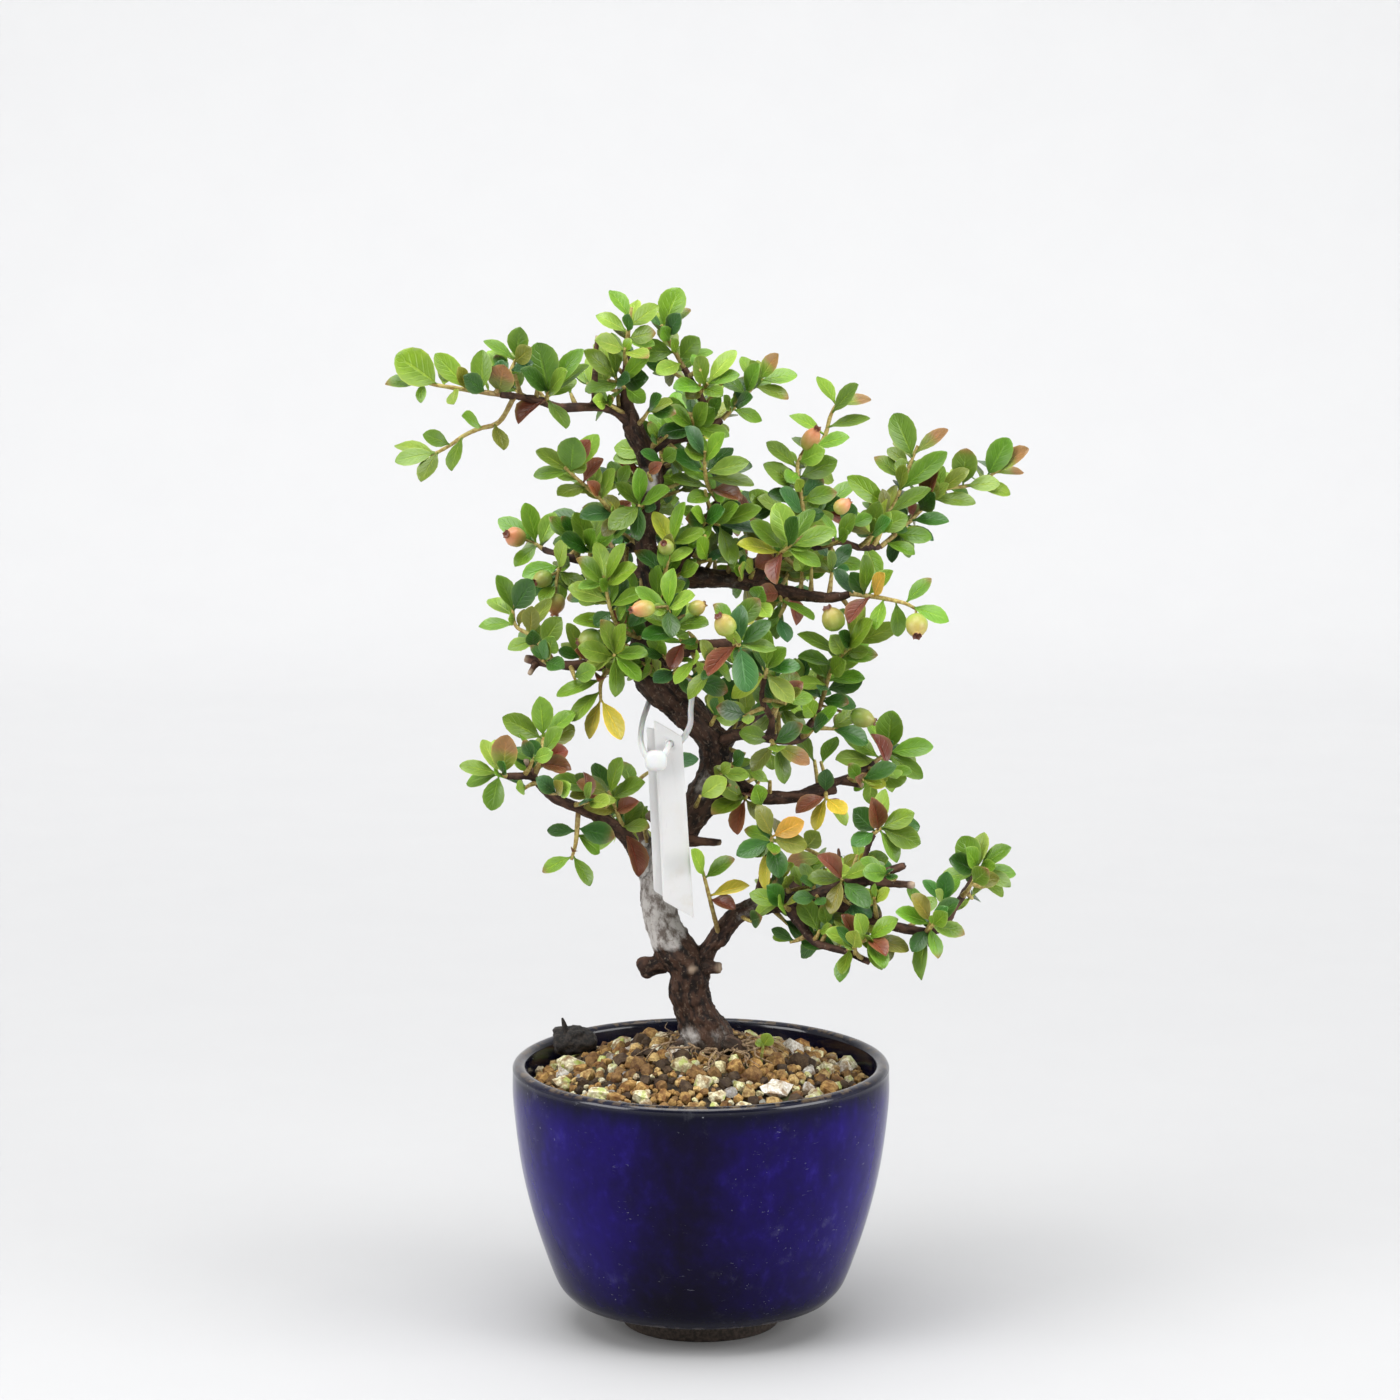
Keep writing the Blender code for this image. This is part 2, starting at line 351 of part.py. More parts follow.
        ([(27.8, 150.5, 0), (29.2, 155, 0), (30.2, 158.7, 0), (32.1, 162.2, 0), (36.7, 166.9, 0)],
         [(1, 37.7, 176.6, 1, 3.8, "l"), (1, 46.6, 170.4, -2, 4.4, "g"),
          (0.72, 22.6, 168.4, -2, 2.4, "g"), (0.55, 22.8, 163.2, -1, 2.4, "g"),
          (0.65, 41.6, 163.4, -2, 3.4, "g"), (0.35, 38.6, 157.8, -2, 2.6, "g"),
          (0.3, 22.4, 156.6, -2, 3, "l"), (0.1, 34.8, 152, -4, 3.4, "d"),
          (0.8, 40, 172.4, -6, 3, "g")],
         [(0.85, 31, 172, -2, 5.4, 5.8, "y"), (0.05, 38, 148.4, -2, 4.6, 5.8, "g")])],
    "front_right": [
        ([(15, 158, -14), (15.6, 160.4, -15)],
         [(1, 15.8, 169.4, 0, 3.3, "g"), (0.3, 7.2, 153.2, -1, 3.6, "y"),
          (0.4, 21.6, 152, -3, 4.4, "l"), (0.8, 23.4, 160.6, -1, 3, "d")], [])],
    "right_inner": [
        ([(16.2, 143.4, -5), (17.6, 141.8, -9)],
         [(1, 19.8, 132.6, -1, 3.3, "g"), (0.8, 12, 135.6, -2, 3.2, "v"),
          (0.9, 25.6, 137.4, -2, 3.6, "o"), (0.7, 24, 146.8, -4, 4, "d")], [])],
    "right_cluster": [
        ([(40.7, 137.7, 2), (43, 139.4, 1), (44.4, 140.4, 0)],
         [(0.4, 33.4, 144.2, -3, 3.5, "g"), (0.2, 31.6, 139.2, -3, 3.6, "l"),
          (1, 45, 150.2, -2, 6.6, "o"), (1, 54.8, 141.6, -1, 4.4, "g"),
          (0.8, 52.4, 134, -2, 4.2, "g"), (0.5, 45.2, 130.6, -2, 3, "g"),
          (0.3, 37.4, 131.2, -6, 3, "r"), (0.7, 39.4, 148, 4, 3, "g")], [])],
    "right_below": [
        ([(11, 131, -0.5), (10.4, 128.8, -4)],
         [(1, 3.4, 132.6, -4, 4.2, "g"), (0.9, 8.6, 120.4, -2, 3.6, "r"),
          (1, 15.4, 123.4, -3, 3.6, "v"), (0.8, 2.6, 125.2, -6, 3, "g")], [])],
    "right_thin": [
        ([(29.4, 131, -1.5), (29.6, 129, -4)],
         [(1, 34.4, 122.6, -2, 2.2, "l"), (0.8, 27, 121.4, -2, 2.6, "y"),
          (0.7, 22.4, 125.6, -3, 3.4, "r")], [])],
    "low_twig": [
        ([(16.6, 118.4, -9), (16.8, 120, -9.4)],
         [(1, 13, 127.4, -2, 4, "v"), (1, 24.4, 123.6, -1, 4.8, "o"),
          (0.6, 25.2, 117.4, -2, 4.8, "v"), (0.3, 8.4, 115.4, -3, 4.4, "d"),
          (0.2, 18.6, 109.8, -5, 5, "d")], [])],
    "low_left_tip": [
        ([(-46, 134.5, -3), (-48, 135, -3)],
         [(0.4, -45.6, 144.4, -2, 6.2, "o"), (1, -57, 137, -1, 2.8, "g"),
          (1, -55.4, 132.6, 2, 2.8, "g"), (0.8, -49.6, 126.2, -1, 5.2, "g"),
          (0.9, -51.6, 143.2, 3, 3, "l")], [])],
    "low_left_up": [
        ([(-39.5, 134, -3), (-37.7, 138.7, -3), (-37.2, 144.5, -3)],
         [(0.9, -46.8, 148.6, -2, 5.4, "g"), (1, -38, 153.6, -2, 5, "g"),
          (1, -29.7, 149.8, 1, 3.3, "g"), (0.5, -32.6, 145.8, -4, 2.8, "g"),
          (0.35, -44.6, 139.8, -1, 2.4, "g"), (0.45, -31.4, 140.2, -1, 4.2, "r"),
          (0.3, -30.6, 136, -4, 3.6, "r")], [])],
    "low_left_twig": [
        ([(-17.1, 119, -2), (-19, 123.6, -4), (-21.8, 130.9, -6)],
         [(1, -29.4, 133, -1, 3, "o"), (1, -18.8, 139, -1, 2.8, "g"),
          (0.85, -13.2, 133, -3, 3, "g"), (0.6, -27.6, 127.8, -1, 3.2, "v"),
          (0.6, -14.6, 128.4, -5, 3.6, "r"), (0.3, -12.2, 122, -5, 2.6, "l")], [])],
    "low_left_hanging": [
        ([(-29, 126, -3), (-29.6, 118.7, -4), (-30.7, 114.3, -4)],
         [(1, -37.6, 111.4, -1, 3, "g"), (0.9, -26.2, 108, -2, 2.6, "g"),
          (0.4, -36.4, 121.4, 1, 3, "d"), (0.45, -24, 116, 3, 3, "g")], [])],
    "low_right_tip": [
        ([(64.8, 110.5, 5), (65.6, 112.2, 5)],
         [(0.6, 61.6, 120, 0, 6.2, "g"), (1, 67, 121, 3, 3.5, "y"),
          (1, 73.4, 117.4, -2, 2.6, "g"), (0.8, 74.6, 110.8, 0, 3, "g"),
          (0.3, 71.6, 105.4, -1, 2.2, "g"), (0.2, 56.6, 109.6, -1, 2.4, "g"),
          (0.5, 58.8, 114.6, -6, 4.6, "d")], [])],
    "low_right_fork": [
        ([(53.6, 97, 1), (54.6, 99.4, -1)],
         [(1, 61.2, 104.6, -5, 3.4, "d"), (1, 50, 106, -2, 3.4, "v"),
          (0.7, 62.6, 96.2, -4, 3.3, "g"), (0.5, 56.4, 90.4, -3, 2.8, "g"),
          (0.7, 46.2, 101.8, -3, 3, "g")], [])],
    "low_right_upper": [
        ([(34, 107.8, -5), (33.4, 109.8, -9)],
         [(1, 41.2, 112.8, -2, 2.6, "g"), (0.8, 25.2, 109.8, -1, 2.8, "g"),
          (0.9, 30.8, 101.2, -3, 3.4, "v"), (0.7, 39.8, 103.6, -4, 3.3, "d"),
          (0.7, 27.6, 115.4, -2, 3.4, "r")], [])],
    "low_right_hanging": [
        ([(34.5, 92, -8), (37.4, 94.2, -9), (40, 95.2, -9)],
         [(1, 46.8, 100, -2, 3.2, "g"), (1, 49.4, 92.4, -1, 3, "v"),
          (0.9, 43, 87.6, -4, 3.4, "g"), (0.4, 33.4, 101.2, -2, 3, "r"),
          (0.2, 33, 84.6, -3, 2.8, "g"), (0.5, 29.6, 96.8, -3, 3.2, "l")], [])],
    "low_right_twig": [
        ([(40.7, 120.6, -9), (42.6, 122, -9)],
         [(0.3, 36, 126.6, -3, 5.6, "d"), (1, 52, 118.2, -2, 5.6, "g"),
          (1, 50.4, 126, 0, 4.4, "g"), (0.8, 43.6, 131.4, 0, 3, "l"),
          (0.6, 40.2, 129.8, -6, 4.6, "r"), (0.8, 46.4, 113.6, -2, 3, "g"),
          (0.2, 35.6, 117.8, -5, 3.6, "d")], [])],
    "low_middle_twig": [
        ([(4.2, 96.4, -3.2), (2.8, 102, -7.4), (1.4, 107.7, -9), (0.4, 111.6, -9)],
         [(1, -2.6, 119, -2, 2.8, "l"), (0.6, 8.2, 102.4, -3, 3, "r"),
          (0.9, 8, 114.6, -2, 3, "g"), (0.5, -5.8, 106.2, -3, 2.8, "g")], [])],
}

# The shoots at the back grow by a rule: the wood's end that each starts from, and where it ends
BACK_SHOOTS = {
    "back_crown": ((-6, 212, 18), [(-2, 222, 32), (-15, 207, 33), (3, 207, 24)]),
    "back_left": ((-20, 188, 19), [(-27, 195, 36), (-22, 177, 32), (-11, 196, 30)]),
    "back_right": ((19, 189, 17), [(29, 198, 28), (20, 177, 36), (9, 198, 30)]),
    "back_middle": ((16, 151, 18), [(28, 157, 26), (16, 139, 34), (4, 161, 28)]),
    "back_low_left": ((-16, 126, 18), [(-26, 131, 28), (-9, 137, 34), (-18, 121, 32)]),
    "back_low_right": ((28, 109, 15), [(38, 113, 26), (30, 96, 32), (17, 119, 28)]),
}
BACK_LEAF_STEP = 14.0         # between leaves along a stem that grows by the rule
BACK_DROOP = 0.35

# The ways a union or a cut is made, until its result is closed: solver, weld, flat faces joined
COMBINE_TRIES = [("EXACT", 0.004, True), ("EXACT", 0.004, False), ("EXACT", 0.0004, False),
                 ("MANIFOLD", 0.004, True), ("MANIFOLD", 0.0004, False)]


def seen(across, height, depth):
    """The point at a depth on the sight line that passes the upright plane at across, height."""
    stretch = 1 + depth / EYE_BACK
    rise = (height - EYE_HEIGHT) * stretch
    return Vector((across * stretch, depth, EYE_HEIGHT + rise - SEEN_FOOT))


def on_tree(across, height, depth):
    """A point of the wood or a stem, on a limb that sweeps forwards or back away from the trunk."""
    heights, sweeps = zip(*(LEFT_SWEEP if across < 0 else RIGHT_SWEEP))
    out = min(1, max(0, (abs(across) - SWEEP_FROM) / (SWEEP_TO - SWEEP_FROM)))
    sweep = float(np.interp(height, heights, sweeps)) * out * out * (3 - 2 * out)
    return seen(across, height, depth + sweep)


def smooth_route(route, step):
    """Points about a step apart on a smooth curve through the route, each with its radius."""
    knots = [on_tree(*row[:3]) for row in route]
    radii = [row[3] for row in route]
    knots = [knots[0] * 2 - knots[1]] + knots + [knots[-1] * 2 - knots[-2]]
    points = []
    widths = []
    for i in range(1, len(knots) - 2):
        before, here, there, after = knots[i - 1:i + 3]
        pieces = max(1, round((there - here).length / step))
        for j in range(pieces):
            t = j / pieces
            bend = (2 * here + (there - before) * t
                    + (2 * before - 5 * here + 4 * there - after) * t ** 2
                    + (3 * here - before - 3 * there + after) * t ** 3)
            points.append(bend / 2)
            widths.append(radii[i - 1] * (1 - t) + radii[i] * t)
    points.append(knots[-2])
    widths.append(radii[-1])
    return points, widths


def nearest_on_lines(points, starts, ends):
    """Distance of each point to each straight run, as an array of points by runs."""
    along = ends - starts
    length = np.maximum((along ** 2).sum(axis=1), 1e-9)
    offset = points[:, None, :] - starts[None, :, :]
    share = np.clip((offset * along[None]).sum(axis=2) / length[None], 0, 1)
    return np.linalg.norm(offset - share[..., None] * along[None], axis=2)


class Obstacles:
    """Round runs that leaves keep clear of, each with the name of the shoot that it belongs to."""

    def __init__(self):
        self.starts, self.ends, self.radii, self.owners = [], [], [], []

    def add_route(self, points, radii, owner):
        for i in range(len(points) - 1):
            self.starts.append(tuple(points[i]))
            self.ends.append(tuple(points[i + 1]))
            self.radii.append(max(radii[i], radii[i + 1]))
            self.owners.append(owner)

    def clear(self, points, owner, margin):
        """Whether the points keep the margin from all runs that aren't the owner's own."""
        others = [i for i, name in enumerate(self.owners) if name != owner]
        away = nearest_on_lines(np.array(points), np.array(self.starts)[others],
                                np.array(self.ends)[others])
        return bool((away > np.array(self.radii)[others] + margin).all())


def blade_shape(leaf, grow=0.0):
    """Rim points of a leaf: a pointed oval, folded along its midrib and arched back.

    The rim runs from the base up the right side to the tip and down the left side. The half
    width at each share of the length comes from the leaf's own list, the fold lifts the rim by a
    share of the half width, and the arch lifts the middle above the line from base to tip.
    """
    stations = WIDE_BLADE if leaf["wide"] else NARROW_BLADE
    length = leaf["length"] + grow
    width = leaf["width"] + grow

    def place(share, half):
        lift = leaf["fold"] * abs(half) * width + leaf["arch"] * share * (1 - share) * length
        return (leaf["base"] + leaf["along"] * share * length + leaf["side"] * half * width
                + leaf["up"] * lift)

    rim = [place(0, 0)]
    rim += [place(share, half) for share, half in stations]
    rim.append(place(1, 0))
    rim += [place(share, -half) for share, half in reversed(stations)]
    return rim


def blade_faces(count):
    """The faces of a blade on one side: its foot, its middle, and a fan from the tip each side.

    Point 0 is the base and point count / 2 the tip.
    """
    tip = count // 2
    right = [(tip, i, i + 1) for i in range(1, tip - 1)]
    left = [(tip, i, i + 1) for i in range(tip + 1, count - 1)]
    return [(0, 1, count - 1), (1, tip, count - 1)] + right + left


def leaf_tree(leaf, grow, thickness):
    """A search tree of a leaf's faces, grown and thickened by what it is to stay clear by."""
    rim = blade_shape(leaf, grow)
    half = leaf["up"] * thickness / 2
    points = [p + half for p in rim] + [p - half for p in rim]
    count = len(rim)
    faces = blade_faces(count)
    faces += [tuple(count + i for i in reversed(face)) for face in faces]
    faces += [(i, count + i, count + (i + 1) % count, (i + 1) % count) for i in range(count)]
    return BVHTree.FromPolygons([tuple(p) for p in points], faces)


def aim_leaf(base, tip, width, tone, draw, turn):
    """A leaf from base to tip whose width is turned away from the eye until it shows as width."""
    lean, roll, size = turn
    reach = tip + Vector((0, lean, 0)) - base
    length = reach.length
    along = reach / length
    length *= size
    true_width = max(width * 1.04, (0.5 + 0.1 * draw[0]) * min(length, 9.5)) * size
    sight = Vector((0, -1, 0.16)).normalized()
    side = along.cross(sight).normalized()
    turned = math.acos(min(1, width * size / true_width)) * 0.8 + roll
    front = side.cross(along)
    options = []
    for sign in (1, -1):
        across = side * math.cos(sign * turned) + front * math.sin(sign * turned)
        upward = across.cross(along).normalized()
        options.append((upward.z, across, upward))
    upward, across = max(options, key=lambda option: option[0])[2:0:-1]
    dead = tone == "r"
    return {"base": base, "along": along, "side": across, "up": upward, "length": length,
            "width": true_width, "tone": tone, "fold": 0.75 if dead else 0.16 + 0.2 * draw[1],
            "arch": 0.3 if dead else 0.06 + 0.1 * draw[2], "wide": width >= WIDE_FROM}


def point_along(route, share):
    """The point at a share of a route's length."""
    lengths = [(b - a).length for a, b in zip(route, route[1:])]
    left = share * sum(lengths)
    for i, length in enumerate(lengths):
        if left <= length or i == len(lengths) - 1:
            return route[i].lerp(route[i + 1], min(1, left / length))
        left -= length


def back_stems(name):
    """The stems of a shoot that grows by the rule, with its leaves, from seeded draws.

    The first stem runs from the wood's end to the first tip, and the others leave it near its
    start. Leaves stand on alternate sides, about a step apart, and turn outwards and up.
    """
    start, tips = BACK_SHOOTS[name]
    draws = random.Random(name)
    root = on_tree(*start)
    stems = []
    for order, tip in enumerate(tips):
        end = on_tree(*tip)
        first = root if order == 0 else point_along(stems[0][0], 0.12 + 0.2 * order)
        middle = first.lerp(end, 0.5) + Vector((draws.uniform(-1, 1), draws.uniform(-1, 1), 1.6))
        route = [first, middle, end]
        length = (end - first).length
        leaves = []
        count = int(length / BACK_LEAF_STEP) + 2
        for i in range(count):
            share = 1.0 if i >= count - 2 else 0.25 + 0.7 * i / count
            base = point_along(route, share)
            run = (end - first).normalized()
            flank = run.cross(Vector((0, 0, 1))).normalized() * (1 if i % 2 else -1)
            heading = run * draws.uniform(0.3, 1) + flank * draws.uniform(0.5, 1)
            heading.z += draws.uniform(-BACK_DROOP, BACK_DROOP + 0.35)
            heading.normalize()
            size = draws.uniform(LEAF_LEAST, LEAF_MOST)
            leaves.append((share, base + heading * size, draws.choice("ggggddlbvo")))
        stems.append((route, leaves))
    return stems


def plan_shoots():
    """Every shoot's stems, fruit and leaves, each leaf at the first turn that clears the rest.

    A leaf that crosses wood, a tag, a stem, a fruit or another leaf is leaned, rolled and at last
    made smaller, by a fixed list of turns, and left out if none of them clears it.
    """
    obstacles = Obstacles()
    for row in [TRUNK] + BRANCHES + TWIGS:
        obstacles.add_route(*smooth_route(row, WOOD_STEP), "wood")
    for top, foot, radius in TAG_ROOMS:
        obstacles.add_route([Vector(top), Vector(foot)], [radius, radius], "tag")
    plan = {}
    for name, stems in SHOOTS.items():
        plan[name] = {"stems": [], "fruit": [], "leaves": [], "wanted": []}
        order = 0
        for route, leaves, fruit in stems:
            points = [on_tree(*row) for row in route]
            plan[name]["stems"].append(points)
            for share, across, height, lean, width, length, tone in fruit:
                base = point_along(points, share)
                middle = seen(across, height, base.y + lean)
                plan[name]["fruit"].append((base, middle, width, length, tone))
            for share, across, height, lean, width, tone in leaves:
                order += 1
                if order % LEAVES_PER_GAP == 0:
                    continue
                base = point_along(points, min(share, LAST_SHARE))
                tip = seen(across, height, base.y + lean)
                plan[name]["wanted"].append((base, tip, width, tone))
    for name in BACK_SHOOTS:
        plan[name] = {"stems": [], "fruit": [], "leaves": [], "wanted": []}
        for route, leaves in back_stems(name):
            plan[name]["stems"].append(route)
            for share, tip, tone in leaves:
                base = point_along(route, min(share, LAST_SHARE))
                plan[name]["wanted"].append((base, tip, 3.2, tone))
    for name, shoot in plan.items():
        for points in shoot["stems"]:
            obstacles.add_route(points, [STEM_RADIUS] * len(points), name)
        for base, middle, width, length, tone in shoot["fruit"]:
            obstacles.add_route([base, middle, middle], [0.5, width / 2, width / 2], name)
    turns = [(0, 0, 1)]
    turns += [(lean, roll, 1) for roll in (0, 0.35, -0.35, 0.7) for lean in (-2, 2, -4, 4)]
    turns += [(lean, roll, size) for size in (0.88, 0.76) for roll in (0, 0.5, -0.5)
              for lean in (0, -3, 3, -6, 6)]
    placed = []
    for name, shoot in plan.items():
        draws = random.Random(name + " leaves")
        for base, tip, width, tone in shoot["wanted"]:
            draw = [draws.random() for _ in range(3)]
            for turn in turns:
                leaf = aim_leaf(base, tip, width, tone, draw, turn)
                if leaf_is_clear(leaf, name, obstacles, placed):
                    placed.append((name, leaf, leaf_tree(leaf, 0, BLADE_THICKNESS)))
                    shoot["leaves"].append(leaf)
                    break
    return plan


def leaf_is_clear(leaf, name, obstacles, placed):
    """Whether a leaf clears the wood and the other shoots, and its outer part its own shoot's."""
    rim = blade_shape(leaf)
    tip = rim[len(rim) // 2]
    points = rim[1:] + [(p + tip) / 2 for p in rim[1:]] + [(rim[0] + tip) / 2]
    if min(p.z for p in points) < SOIL_TOP + 3:
        return False
    if not obstacles.clear(points, name, LEAF_CLEAR + BLADE_THICKNESS / 2 + 0.15):
        return False
    whole = leaf_tree(leaf, 2 * LEAF_CLEAR, BLADE_THICKNESS + 2 * LEAF_CLEAR)
    outer = dict(leaf)
    outer["base"] = leaf["base"] + leaf["along"] * 0.3 * leaf["length"]
    outer["length"] = 0.7 * leaf["length"]
    outer_tree = leaf_tree(outer, 0, BLADE_THICKNESS)
    for owner, other, tree in placed:
        reach = leaf["length"] + other["length"] + 1
        if (other["base"] - leaf["base"]).length > reach:
            continue
        if owner == name and outer_tree.overlap(tree):
            return False
        if owner != name and whole.overlap(tree):
            return False
    return True


def clear_scene():
    for item in list(bpy.data.objects):
        bpy.data.objects.remove(item, do_unlink=True)


def material(name, colour, roughness, metallic=0.0):
    finish = bpy.data.materials.new(name)
    finish.use_nodes = True
    shader = finish.node_tree.nodes["Principled BSDF"]
    shader.inputs["Base Color"].default_value = (*colour, 1)
    shader.inputs["Roughness"].default_value = roughness
    shader.inputs["Metallic"].default_value = metallic
    return finish


def collection(name):
    group = bpy.data.collections.new(name)
    bpy.context.scene.collection.children.link(group)
    return group


def drop(item):
    bpy.data.objects.remove(item, do_unlink=True)


def make_object(name, mesh, group, finish=None):
    item = bpy.data.objects.new(name, mesh)
    group.objects.link(item)
    if finish:
        mesh.materials.clear()
        mesh.materials.append(finish)
    return item


def evaluated_mesh(item, name, weld=0.002):
    """A mesh of the object as its modifiers leave it, with points closer than weld made one."""
    bpy.context.view_layer.update()
    graph = bpy.context.evaluated_depsgraph_get()
    mesh = bpy.data.meshes.new_from_object(item.evaluated_get(graph))
    mesh.name = name
    bm = bmesh.new()
    bm.from_mesh(mesh)
    bmesh.ops.remove_doubles(bm, verts=bm.verts[:], dist=weld * MM)
    bm.to_mesh(mesh)
    bm.free()
    return mesh


def tube(name, points, radii, sides, group, grow=0.0, closed=False):
    """A round run through points in millimetres, as a mesh object made from a bevelled curve."""
    data = bpy.data.curves.new(name, "CURVE")
    data.dimensions = "3D"
    data.bevel_depth = MM
    data.bevel_resolution = sides
    data.use_fill_caps = not closed
    points = [Vector(p) for p in points]
    if grow and not closed:
        points[-1] = points[-1] + (points[-1] - points[-2]).normalized() * grow
        points[0] = points[0] + (points[0] - points[1]).normalized() * grow
    spline = data.splines.new("POLY")
    spline.points.add(len(points) - 1)
    for slot, point, radius in zip(spline.points, points, radii):
        slot.co = (*(point * MM), 1)
        slot.radius = radius + grow
    spline.use_cyclic_u = closed
    curve = bpy.data.objects.new(name + ".route", data)
    group.objects.link(curve)
    mesh = evaluated_mesh(curve, name)
    drop(curve)
    bpy.data.curves.remove(data)
    bm = bmesh.new()
    bm.from_mesh(mesh)
    bmesh.ops.recalc_face_normals(bm, faces=bm.faces[:])
    bm.to_mesh(mesh)
    bm.free()
    return make_object(name, mesh, group)


def keep_biggest_body(mesh, flatten):
    """Drops loose scraps and sealed hollows: only the body with the most faces is kept."""
    bm = bmesh.new()
    bm.from_mesh(mesh)
    left = set(bm.faces)
    bodies = []
    while left:
        front = [left.pop()]
        body = list(front)
        while front:
            face = front.pop()
            for edge in face.edges:
                for other in edge.link_faces:
                    if other in left:
                        left.discard(other)
                        body.append(other)
                        front.append(other)
        bodies.append(body)
    bodies.sort(key=len, reverse=True)
    for body in bodies[1:]:
        bmesh.ops.delete(bm, geom=body, context="FACES")
    bmesh.ops.delete(bm, geom=[v for v in bm.verts if not v.link_faces], context="VERTS")
    if flatten:
        bmesh.ops.dissolve_limit(bm, angle_limit=math.radians(FLAT_WITHIN), verts=bm.verts[:],
                                 edges=bm.edges[:], use_dissolve_boundaries=False, delimit=set())
    bmesh.ops.triangulate(bm, faces=bm.faces[:])
    bm.to_mesh(mesh)
    bm.free()


def is_closed(mesh):
    """Whether every edge of a mesh joins two faces and the mesh holds something."""
    bm = bmesh.new()
    bm.from_mesh(mesh)
    closed = bool(bm.faces) and all(len(edge.link_faces) == 2 for edge in bm.edges)
    closed = closed and bm.calc_volume() > 0
    bm.free()
    return closed


def combine(base, operation, name, group, other=None, repeats=None):
    """The base with another object, or with all repeats of a collection, as a new plain object."""
    result = None
    for solver, weld, flatten in COMBINE_TRIES:
        step = base.modifiers.new(operation.lower(), "BOOLEAN")
        step.operation = operation
        step.solver = solver
        if repeats:
            step.operand_type = "COLLECTION"
            step.collection = repeats
        else:
            step.object = other
        result = evaluated_mesh(base, name, weld)
        base.modifiers.remove(step)
        keep_biggest_body(result, flatten)
        if is_closed(result):
            break
    drop(base)
    if repeats:
        for item in list(repeats.objects):
            drop(item)
    return make_object(name, result, group)


def blade_object(name, leaf, group):
    """A leaf's solid: its folded blade, thickened to both sides."""
    half = leaf["up"] * BLADE_THICKNESS / 2
    rim = blade_shape(leaf)
    rim[0] = rim[0] - leaf["along"] * ROOT_SUNK
    bm = bmesh.new()
    corners = [bm.verts.new((p + half) * MM) for p in rim]
    for face in blade_faces(len(corners)):
        bm.faces.new([corners[i] for i in face])
    lower = bmesh.ops.extrude_face_region(bm, geom=bm.faces[:])
    moved = [item for item in lower["geom"] if isinstance(item, bmesh.types.BMVert)]
    bmesh.ops.translate(bm, verts=moved, vec=leaf["up"] * -BLADE_THICKNESS * MM)
    bmesh.ops.recalc_face_normals(bm, faces=bm.faces[:])
    mesh = bpy.data.meshes.new(name)
    bm.to_mesh(mesh)
    bm.free()
    return make_object(name, mesh, group)


def ball(name, middle, axis, width, length, group, segments=5, rings=4):
    """An oval body about its middle, with its long axis along axis."""
    bm = bmesh.new()
    bmesh.ops.create_uvsphere(bm, u_segments=segments, v_segments=rings, radius=1)
    turn = Vector(axis).to_track_quat("Z", "Y").to_matrix().to_4x4()
    stretch = Matrix.Diagonal((width / 2, width / 2, length / 2, 1))
    bmesh.ops.transform(bm, matrix=Matrix.Translation(middle * MM) @ turn @ stretch
                        @ Matrix.Scale(MM, 4), verts=bm.verts[:])
    mesh = bpy.data.meshes.new(name)
    bm.to_mesh(mesh)
    bm.free()
    return make_object(name, mesh, group)


def turned(name, profile, steps, group):
    """A turned piece: a profile of radius and height, top of the outer side first."""
    mesh = bpy.data.meshes.new(name + ".profile")
    points = [(radius * MM, 0, height * MM) for radius, height in profile]
    edges = [(i, i + 1) for i in range(len(points) - 1)]
    if profile[0][0] > 0:
        edges.append((len(points) - 1, 0))
    mesh.from_pydata(points, edges, [])
    item = bpy.data.objects.new(name + ".profile", mesh)
    group.objects.link(item)
    screw = item.modifiers.new("turn", "SCREW")
    screw.axis = "Z"
    screw.angle = math.tau
    screw.steps = steps
    screw.render_steps = steps
    screw.use_merge_vertices = True
    screw.merge_threshold = 0.00005
    result = evaluated_mesh(item, name)
    drop(item)
    return make_object(name, result, group)


def flat_plate(name, outline, holes, thickness, place, group):
    """A flat plate: a filled outline with holes, half its thickness to each side of its middle."""
    data = bpy.data.curves.new(name, "CURVE")
    data.dimensions = "2D"
    data.fill_mode = "BOTH"
    data.extrude = thickness / 2 * MM
    for ring in [outline] + holes:
        spline = data.splines.new("POLY")
        spline.points.add(len(ring) - 1)
        for slot, (x, y) in zip(spline.points, ring):
            slot.co = (x * MM, y * MM, 0, 1)
        spline.use_cyclic_u = True
    curve = bpy.data.objects.new(name + ".outline", data)
    group.objects.link(curve)
    mesh = evaluated_mesh(curve, name)
    drop(curve)
    mesh.transform(place)
    bm = bmesh.new()
    bm.from_mesh(mesh)
    bmesh.ops.recalc_face_normals(bm, faces=bm.faces[:])
    bm.to_mesh(mesh)
    bm.free()
    return make_object(name, mesh, group)


def ring_points(across, height, radius, count):
    return [(across + radius * math.cos(i * math.tau / count),
             height + radius * math.sin(i * math.tau / count)) for i in range(count)]


def side_radius(height):
    """The pot's outer radius at a height, along its side's list."""
    heights = [row[0] for row in reversed(POT_SIDE)]
    radii = [row[1] for row in reversed(POT_SIDE)]
    return float(np.interp(height, heights, radii))


def inner_radius(height):
    """The radius of the pot's inside at a height, along the points that its profile has."""
    heights = (FLOOR_TOP,) + INSIDE_HEIGHTS
    radii = (FLOOR_RADIUS,) + tuple(side_radius(z) - WALL for z in INSIDE_HEIGHTS)
    return float(np.interp(height, heights, radii))


